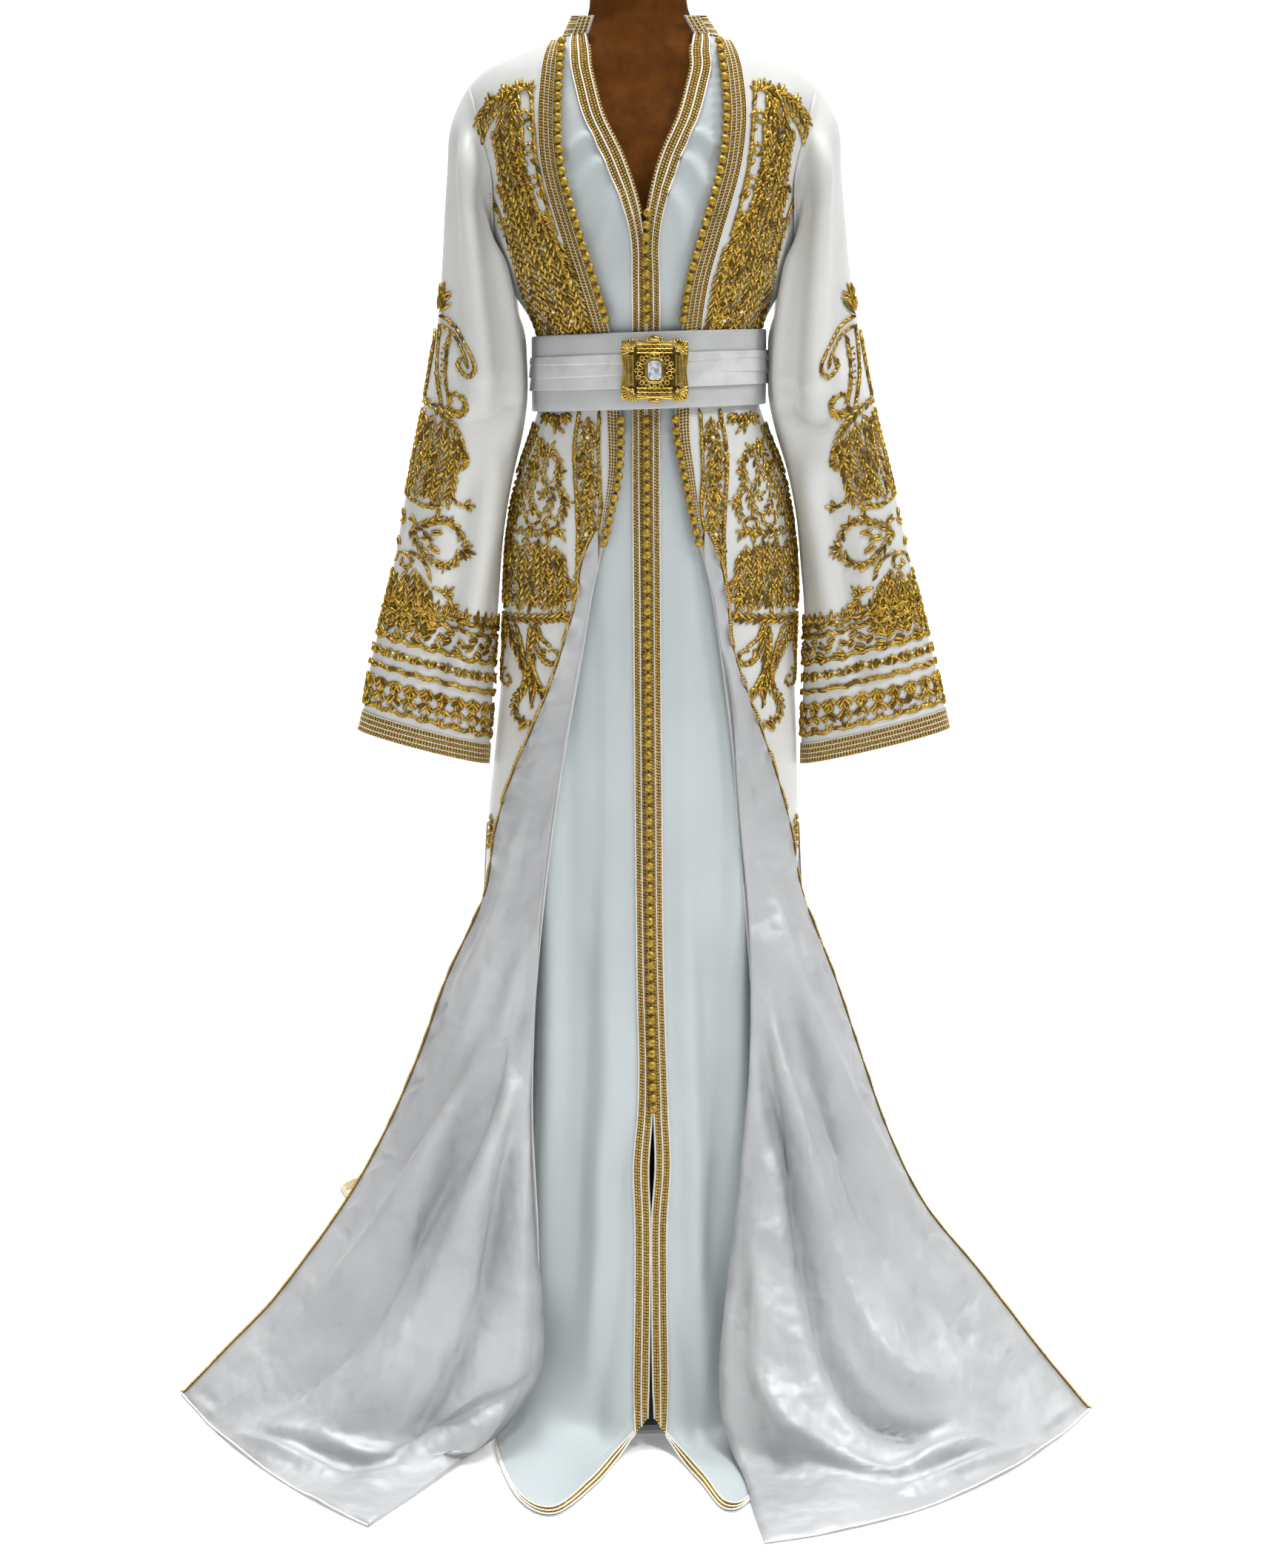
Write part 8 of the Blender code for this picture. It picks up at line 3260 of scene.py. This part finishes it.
@dataclass
class Belt:
    """The leather band, the pleated sash round its middle and the jewelled buckle.

    Attributes:
        sides: The points round the waist.
        rounding: How far the band's edges are rounded.
        edge: How high its rounded edges are.
        leather: The thickness of the band.
        satin: The thickness of the sash.
        pleats: Where the sash's pleats end, as shares from its top.
        pleat: How far a pleat stands out at its lower edge.
        lattice: The radius of the buckle's finest wires.
        rail: The radius of its rails.
        dome: How far its middle stands out of its edge.
    """

    sides: int = 144
    rounding: float = 0.0009
    edge: float = 0.0006
    leather: float = 0.0024
    satin: float = 0.0011
    pleats: tuple[float, ...] = (0.0, 0.24, 0.60, 1.0)
    pleat: float = 0.0017
    lattice: float = 0.00055
    rail: float = 0.0010
    dome: float = 0.0022

    def build(self) -> None:
        """Makes the belt."""
        half, soft, deep = BELT_HEIGHT / 2, -self.rounding * 0.5, -self.rounding * 1.4
        profile = [(half, deep), (half - self.edge, soft)]
        profile += [(half * share, 0.0) for share in np.linspace(0.96, -0.96, 13)]
        profile += [(-half + self.edge, soft), (-half, deep)]
        rows = [[(height, BELT_WALL + out)] * (self.sides + 1) for height, out in profile]
        item = cloth("belt_band_leather", self.loop(rows), BELT_LEATHER, self.leather)
        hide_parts("belt_band")
        item = cloth("belt_sash_satin", self.loop(self.sash_rows()), SASH_SATIN, self.satin)
        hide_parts("belt_sash")
        self.buckle()
        self.stone()

    def loop(self, rows: Sequence[Sequence[tuple[float, float]]]) -> Sheet:
        """Lays rows of heights and distances round the waist.

        Args:
            rows: The height and the distance out at each place of each row.

        Returns:
            The sheet.
        """
        turns = np.linspace(-math.pi, math.pi, self.sides + 1)
        points = np.array([[tuple(belt_point(turn, *place)) for turn, place in zip(turns, row)]
                           for row in rows])
        return Sheet(points, [0, len(rows) - 1], [0, self.sides], True)

    def sash_rows(self) -> list[list[tuple[float, float]]]:
        """The sash's rows: pleats that lie over each other like tiles.

        Returns:
            The height and the distance out at each place of each row.
        """
        rows = []
        ground = BELT_WALL + SEAM + self.satin
        turns = np.linspace(-math.pi, math.pi, self.sides + 1)
        for step, (top, low) in enumerate(zip(self.pleats, self.pleats[1:])):
            for share in PLEAT_SHARES:
                row = []
                for turn in turns:
                    away = min(1.0, abs(turn - GATHER_TURN) / GATHER_REACH)
                    sway = [0.022 * math.sin(turn * 2.6 + 2.0 * k) + 0.05 * (1 - away) * (k % 2)
                            for k in (step, step + 1)]
                    start = top + (sway[0] if 0 < step else 0.0)
                    end = low + (sway[1] if step + 2 < len(self.pleats) else 0.0)
                    down = start + (end - start) * share
                    swell = 0.75 + 0.25 * math.sin(turn * 5.0 + step * 2.2)
                    out = ground + self.pleat * share**0.8 * swell * (0.30 + 0.70 * away)
                    row.append((SASH_HEIGHT * (0.5 - down), out))
                rows.append(row)
        return rows

    @staticmethod
    def placed(points: np.ndarray) -> np.ndarray:
        """Puts points given across, up and out of the buckle's back in their place."""
        across, height = BUCKLE_PLACE
        back = BELT_FRONT + BELT_WALL + SEAM + SASH_WALL + PLEAT_RISE + SEAM
        x, y, z = across + points[..., 0], -back - points[..., 2], height + points[..., 1]
        return np.stack([x, y, z], axis=-1)

    def out_at(self, x: np.ndarray, z: np.ndarray) -> np.ndarray:
        """How far the openwork stands out of the buckle's back."""
        wide, tall = DOME_HALF
        return OPENWORK_OUT + self.dome * np.clip(1 - (x / wide) ** 2 - (z / tall) ** 2, 0, 1)

    def wire(self, piece: Joined, marks: Path, radius: float, raised: float = 0.0) -> None:
        """Adds a wire of the openwork.

        Args:
            piece: The buckle.
            marks: The marks it runs through, across and up from its middle.
            radius: Its radius.
            raised: How far it stands above the openwork.
        """
        flat = np.array(marks, float)
        out = self.out_at(flat[:, 0], flat[:, 1]) + raised
        piece.tube(self.placed(np.column_stack([flat, out])), radius, 0, 6)

    def buckle(self) -> None:
        """Makes the square openwork buckle with its four shells and two clasp tabs."""
        piece = Joined("buckle_plate_worked", (GOLD_METAL, BACKING_SHADE))
        turns = np.linspace(0, math.tau, 49)
        square = np.maximum(np.abs(np.cos(turns)), np.abs(np.sin(turns)))
        # The plates take the dark finish: painted shade behind the openwork.
        for wide, tall, out in BACKING_PLATES:
            self.plate(piece, wide, tall, out, 1)
        reach = (1 - FRAME_SWELL * np.cos(4 * turns)) / square**FRAME_SQUARE
        across, up = FRAME_HALF[0] * reach * np.cos(turns), FRAME_HALF[1] * reach * np.sin(turns)
        frame = np.column_stack([across, up])
        for share, radius in FRAME_WIRES:
            out = np.full(len(frame), FRAME_OUT)
            piece.tube(self.placed(np.column_stack([frame * share, out])), radius, 0, 8)
        for side in (-1, 1):
            ends, turned = UPRIGHT_REACH
            for x in UPRIGHT_RAILS:
                marks = [(side * x, z) for z in np.linspace(-ends, ends, RAIL_MARKS)]
                self.wire(piece, marks, self.rail)
            for x, wide in UPRIGHT_ZIGZAGS:
                for swing in (wide, -wide):
                    self.wire(piece, self.zigzag(side * x, turned, swing, False), self.lattice)
            ends, turned = LEVEL_REACH
            for z in LEVEL_RAILS:
                marks = [(x, side * z) for x in np.linspace(-ends, ends, RAIL_MARKS)]
                self.wire(piece, marks, self.rail)
            for z, tall in LEVEL_ZIGZAGS:
                self.wire(piece, self.zigzag(side * z, turned, tall, True), self.lattice)
        for step in range(PETAL_WIRES):
            turn = math.tau * (step + 0.5) / PETAL_WIRES
            self.petal(piece, turn, *INNER_PETAL)
            self.petal(piece, turn + math.pi / PETAL_WIRES, *OUTER_PETAL)
        for right in (-1, 1):
            for up in (-1, 1):
                self.shell(piece, right, up)
        self.tabs(piece)
        item = piece.finish()
        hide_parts("buckle_plate")

    def plate(self, piece: Joined, wide: float, tall: float, out: float, slot: int) -> None:
        """Adds a plate with rounded corners and a soft rim behind the openwork.

        Args:
            piece: The buckle.
            wide: Half its width.
            tall: Half its height.
            out: How far its front stands out.
            slot: Its finish.
        """
        work = bmesh.new()
        bmesh.ops.create_circle(work, cap_ends=True, segments=40, radius=1.0)
        for vert in work.verts:
            turn = math.atan2(vert.co.y, vert.co.x)
            reach = 1 / (abs(math.cos(turn)) ** 5 + abs(math.sin(turn)) ** 5) ** 0.2
            vert.co = (wide * reach * math.cos(turn), tall * reach * math.sin(turn), 0.0002)
        bmesh.ops.recalc_face_normals(work, faces=work.faces)
        face = work.faces[0]
        if face.normal.z < 0:
            face.normal_flip()
        for inset, depth in ((0.00005, out - 0.0006), (0.0005, 0.0004)):
            bmesh.ops.inset_region(work, faces=[face], thickness=inset, depth=depth)
        shape = Shape.of(work)
        piece.add(self.placed(shape.points), shape.faces, slot)

    @staticmethod
    def zigzag(at: float, reach: float, swing: float, level: bool) -> Path:
        """The marks of a zigzag wire.

        Args:
            at: Where it lies.
            reach: Half its length.
            swing: How far it swings.
            level: Whether it runs across.

        Returns:
            The marks.
        """
        along = np.linspace(-reach, reach, ZIGZAG_STROKES + 1)
        aside = at + swing * np.where(np.arange(ZIGZAG_STROKES + 1) % 2, 1, -1)
        return tuple(zip(along, aside)) if level else tuple(zip(aside, along))

    def petal(self, piece: Joined, turn: float, start: float, length: float, wide: float) -> None:
        """Adds a pointed wire loop that opens away from the stone.

        Args:
            piece: The buckle.
            turn: Its angle round the stone.
            start: Where it starts.
            length: Its length.
            wide: Half its width.
        """
        share = np.linspace(0, 1, 11)
        along = start + length * np.sin(share * math.pi)
        aside = wide * np.sin(share * math.tau)
        x = PETAL_FLAT[0] * (along * math.cos(turn) - aside * math.sin(turn))
        z = PETAL_FLAT[1] * (along * math.sin(turn) + aside * math.cos(turn))
        self.wire(piece, np.column_stack([x, z]), self.lattice, PETAL_RAISED)

    def shell(self, piece: Joined, right: int, up: int) -> None:
        """Adds a ribbed shell in a corner.

        Args:
            piece: The buckle.
            right: Plus one on the right.
            up: Plus one at the top.
        """
        turns = math.atan2(up, right) + np.linspace(-SHELL_SPREAD, SHELL_SPREAD, SHELL_RIBS)
        foot = np.array([right * SHELL_FOOT[0], up * SHELL_FOOT[1]])
        flat = foot + toward(turns) * RIB_FROM_FOOT
        at = self.placed(np.column_stack([flat, np.full(SHELL_RIBS, RIB_OUT)]))
        heads = np.column_stack([np.cos(turns), np.zeros(SHELL_RIBS), np.sin(turns)])
        away = np.tile((0.0, -1.0, 0.0), (SHELL_RIBS, 1))
        piece.copies(BEAD, at, heads, away, RIB_SIZE)
        knob = self.placed(np.column_stack([foot[None], [[KNOB_OUT]]]))
        piece.copies(BEAD, knob, heads[:1], away[:1], KNOB_SIZE)

    def tabs(self, piece: Joined) -> None:
        """Adds the domed tab above and the small one below.

        Args:
            piece: The buckle.
        """
        away = np.array([[0.0, -1.0, 0.0]])
        level = np.array([[1.0, 0.0, 0.0]])
        for x, z, out, size in CLASP_TABS:
            piece.copies(BEAD, self.placed(np.array([[x, z, out]])), level, away, size)

    def stone(self) -> None:
        """Makes the clear stone with its cut steps and the bezel that holds it."""
        work = bmesh.new()
        wide, tall = STONE_SIZE[0] / 2, STONE_SIZE[1] / 2
        corners = [(wide, STONE_CUT - tall), (wide, tall - STONE_CUT), (wide - STONE_CUT, tall),
                   (STONE_CUT - wide, tall), (-wide, tall - STONE_CUT), (-wide, STONE_CUT - tall),
                   (STONE_CUT - wide, -tall), (wide - STONE_CUT, -tall)]
        foot = [work.verts.new((x * STONE_FOOT, z * STONE_FOOT, STONE_SEAT)) for x, z in corners]
        face = work.faces.new(foot)
        for grow, rise in STONE_STEPS:
            bmesh.ops.inset_region(work, faces=[face], thickness=grow, depth=rise)
        shape = Shape.of(work)
        stone = Joined("buckle_stone_cut", (CutGem(),))
        stone.add(self.placed(shape.points), shape.faces)
        item = stone.finish(smooth=False)
        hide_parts("buckle_stone")
        rim = np.array(corners + corners[:1]) * BEZEL_OUTLINE
        setting = Joined("buckle_bezel", (GOLD_METAL,))
        for share, radius, out in BEZEL_WIRES:
            line = smooth_corners(np.column_stack([rim * share, np.full(len(rim), out)]))
            setting.tube(self.placed(line), radius, 0, 7)
        item = setting.finish()


def smooth_corners(line: np.ndarray) -> np.ndarray:
    """Puts points near the corners of a closed line, so that a wire turns them neatly."""
    steps = line[1:] - line[:-1]
    ends = np.concatenate([line[:-1] + steps * share for share in CORNER_SHARES], axis=1)
    ends = ends.reshape(-1, line.shape[1])
    return np.concatenate([ends, ends[:1]])


@dataclass
class Studio:
    """The pale floor, the soft lights and the camera at the photograph's view.

    Attributes:
        distance: How far the camera stands in front of the dress.
        height: How high it stands.
        pitch: How far it looks down, in degrees.
        lens: Its focal length in millimetres.
        daylight: How bright the white room round it is.
        room: Half the size of the paper sweep.
        wall: How far behind the dress the paper starts to rise.
        bend: The radius of its bend.
        lit_from: How far behind the dress the paper starts to be lit from behind.
        lit_half: Half the width of the lit part.
        lit_top: The height of the lit part.
    """

    distance: float = 2.959
    height: float = 1.0884
    pitch: float = 8.205
    lens: float = 65.84
    daylight: float = 0.22
    room: float = 12.0
    wall: float = 5.0
    bend: float = 2.0
    lit_from: float = 3.0
    lit_half: float = 3.8
    lit_top: float = 4.6

    def build(self) -> None:
        """Sets up the floor, the lights and the camera."""
        work = bmesh.new()
        bmesh.ops.create_grid(work, x_segments=20, y_segments=40, size=self.room)
        for vert in work.verts:
            past = vert.co.y - self.wall
            if past > 0:
                turn = min(past / self.bend, math.pi / 2)
                rise = self.bend * (1 - math.cos(turn)) + max(0.0, past - self.bend * math.pi / 2)
                vert.co = (vert.co.x, self.wall + self.bend * math.sin(turn), rise)
        mesh = bpy.data.meshes.new("paper_sweep")
        work.to_mesh(mesh)
        work.free()
        mesh.shade_smooth()
        mesh.materials.append(PAPER.make())
        mesh.materials.append(WALL_PAPER.make())
        for face in mesh.polygons:
            middle = face.center
            inside = abs(middle.x) < self.lit_half and middle.z < self.lit_top
            face.material_index = int(middle.y > self.lit_from and inside)
        sweep = bpy.data.objects.new("paper_sweep", mesh)
        bpy.context.scene.collection.objects.link(sweep)
        self.lamp("key", (3.1, -1.5, 3.9), (0.0, 0.0, 0.8), 1.0, 72.0)
        self.lamp("fill", (-2.6, -2.4, 1.6), (0.0, 0.0, 0.9), 1.6, 9.5)
        self.lamp("top", (-0.4, 0.4, 9.0), (0.0, 0.2, 0.6), 3.4, 800.0)
        self.lamp("rim", (2.6, 1.6, 1.8), (0.0, 0.1, 0.8), 1.2, 8.0)
        self.lamp("low", (0.9, -1.7, 3.4), (0.0, -0.55, 0.0), 0.8, 3.8, 40.0)
        world = bpy.data.worlds.new("studio")
        world.use_nodes = True
        world.node_tree.nodes["Background"].inputs["Color"].default_value = (1.0, 1.0, 1.0, 1.0)
        world.node_tree.nodes["Background"].inputs["Strength"].default_value = self.daylight
        bpy.context.scene.world = world
        bpy.context.scene.view_settings.view_transform = "Standard"
        camera = bpy.data.cameras.new("camera")
        camera.lens = self.lens
        camera.sensor_width = 36.0
        camera.clip_end = 60.0
        item = bpy.data.objects.new("camera", camera)
        item.location = (0.0, -self.distance, self.height)
        item.rotation_euler = (math.radians(90.0 - self.pitch), 0.0, 0.0)
        bpy.context.scene.collection.objects.link(item)
        bpy.context.scene.camera = item

    @staticmethod
    def lamp(name: str, at: tuple[float, float, float], aim: tuple[float, float, float],
             size: float, power: float, spread: float = 180.0) -> None:
        """Adds one soft lamp.

        Args:
            name: Its name.
            at: Where it stands.
            aim: Where it points.
            size: Its width.
            power: Its power in watts.
            spread: The angle of its beam in degrees.
        """
        light = bpy.data.lights.new(name, "AREA")
        light.spread = math.radians(spread)
        light.energy = power
        light.shape = "DISK"
        light.size = size
        item = bpy.data.objects.new(name, light)
        item.location = at
        item.rotation_euler = (Vector(aim) - Vector(at)).to_track_quat("-Z", "Y").to_euler()
        bpy.context.scene.collection.objects.link(item)


PLAIN_NODES = (
    ("form_pole", POLE_STEEL),
    ("form_base", BASE_ENAMEL),
)


def dress_node(frame: dict, name: str, finish: Finish) -> None:
    """Gives a node that stays its finish.

    Args:
        frame: The loaded frame.
        name: The node.
        finish: Its finish.
    """
    node = frame["nodes"][name]
    material = finish.make()
    node.data.materials.clear()
    node.data.materials.append(material)


def main() -> None:
    """Builds the whole scene."""
    logging.basicConfig(level=logging.INFO, format="%(name)s: %(message)s")
    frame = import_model()
    outer, sleeves = OuterDress(), Sleeves()
    for part in (DressForm(), InnerDress(), outer, sleeves, Belt(), Studio()):
        part.build()
        LOG.info("%s is done", type(part).__name__)
    Embroidery().build(outer.fronts, sleeves.tubes)
    for name, finish in PLAIN_NODES:
        dress_node(frame, name, finish)


if __name__ == "__main__":
    main()
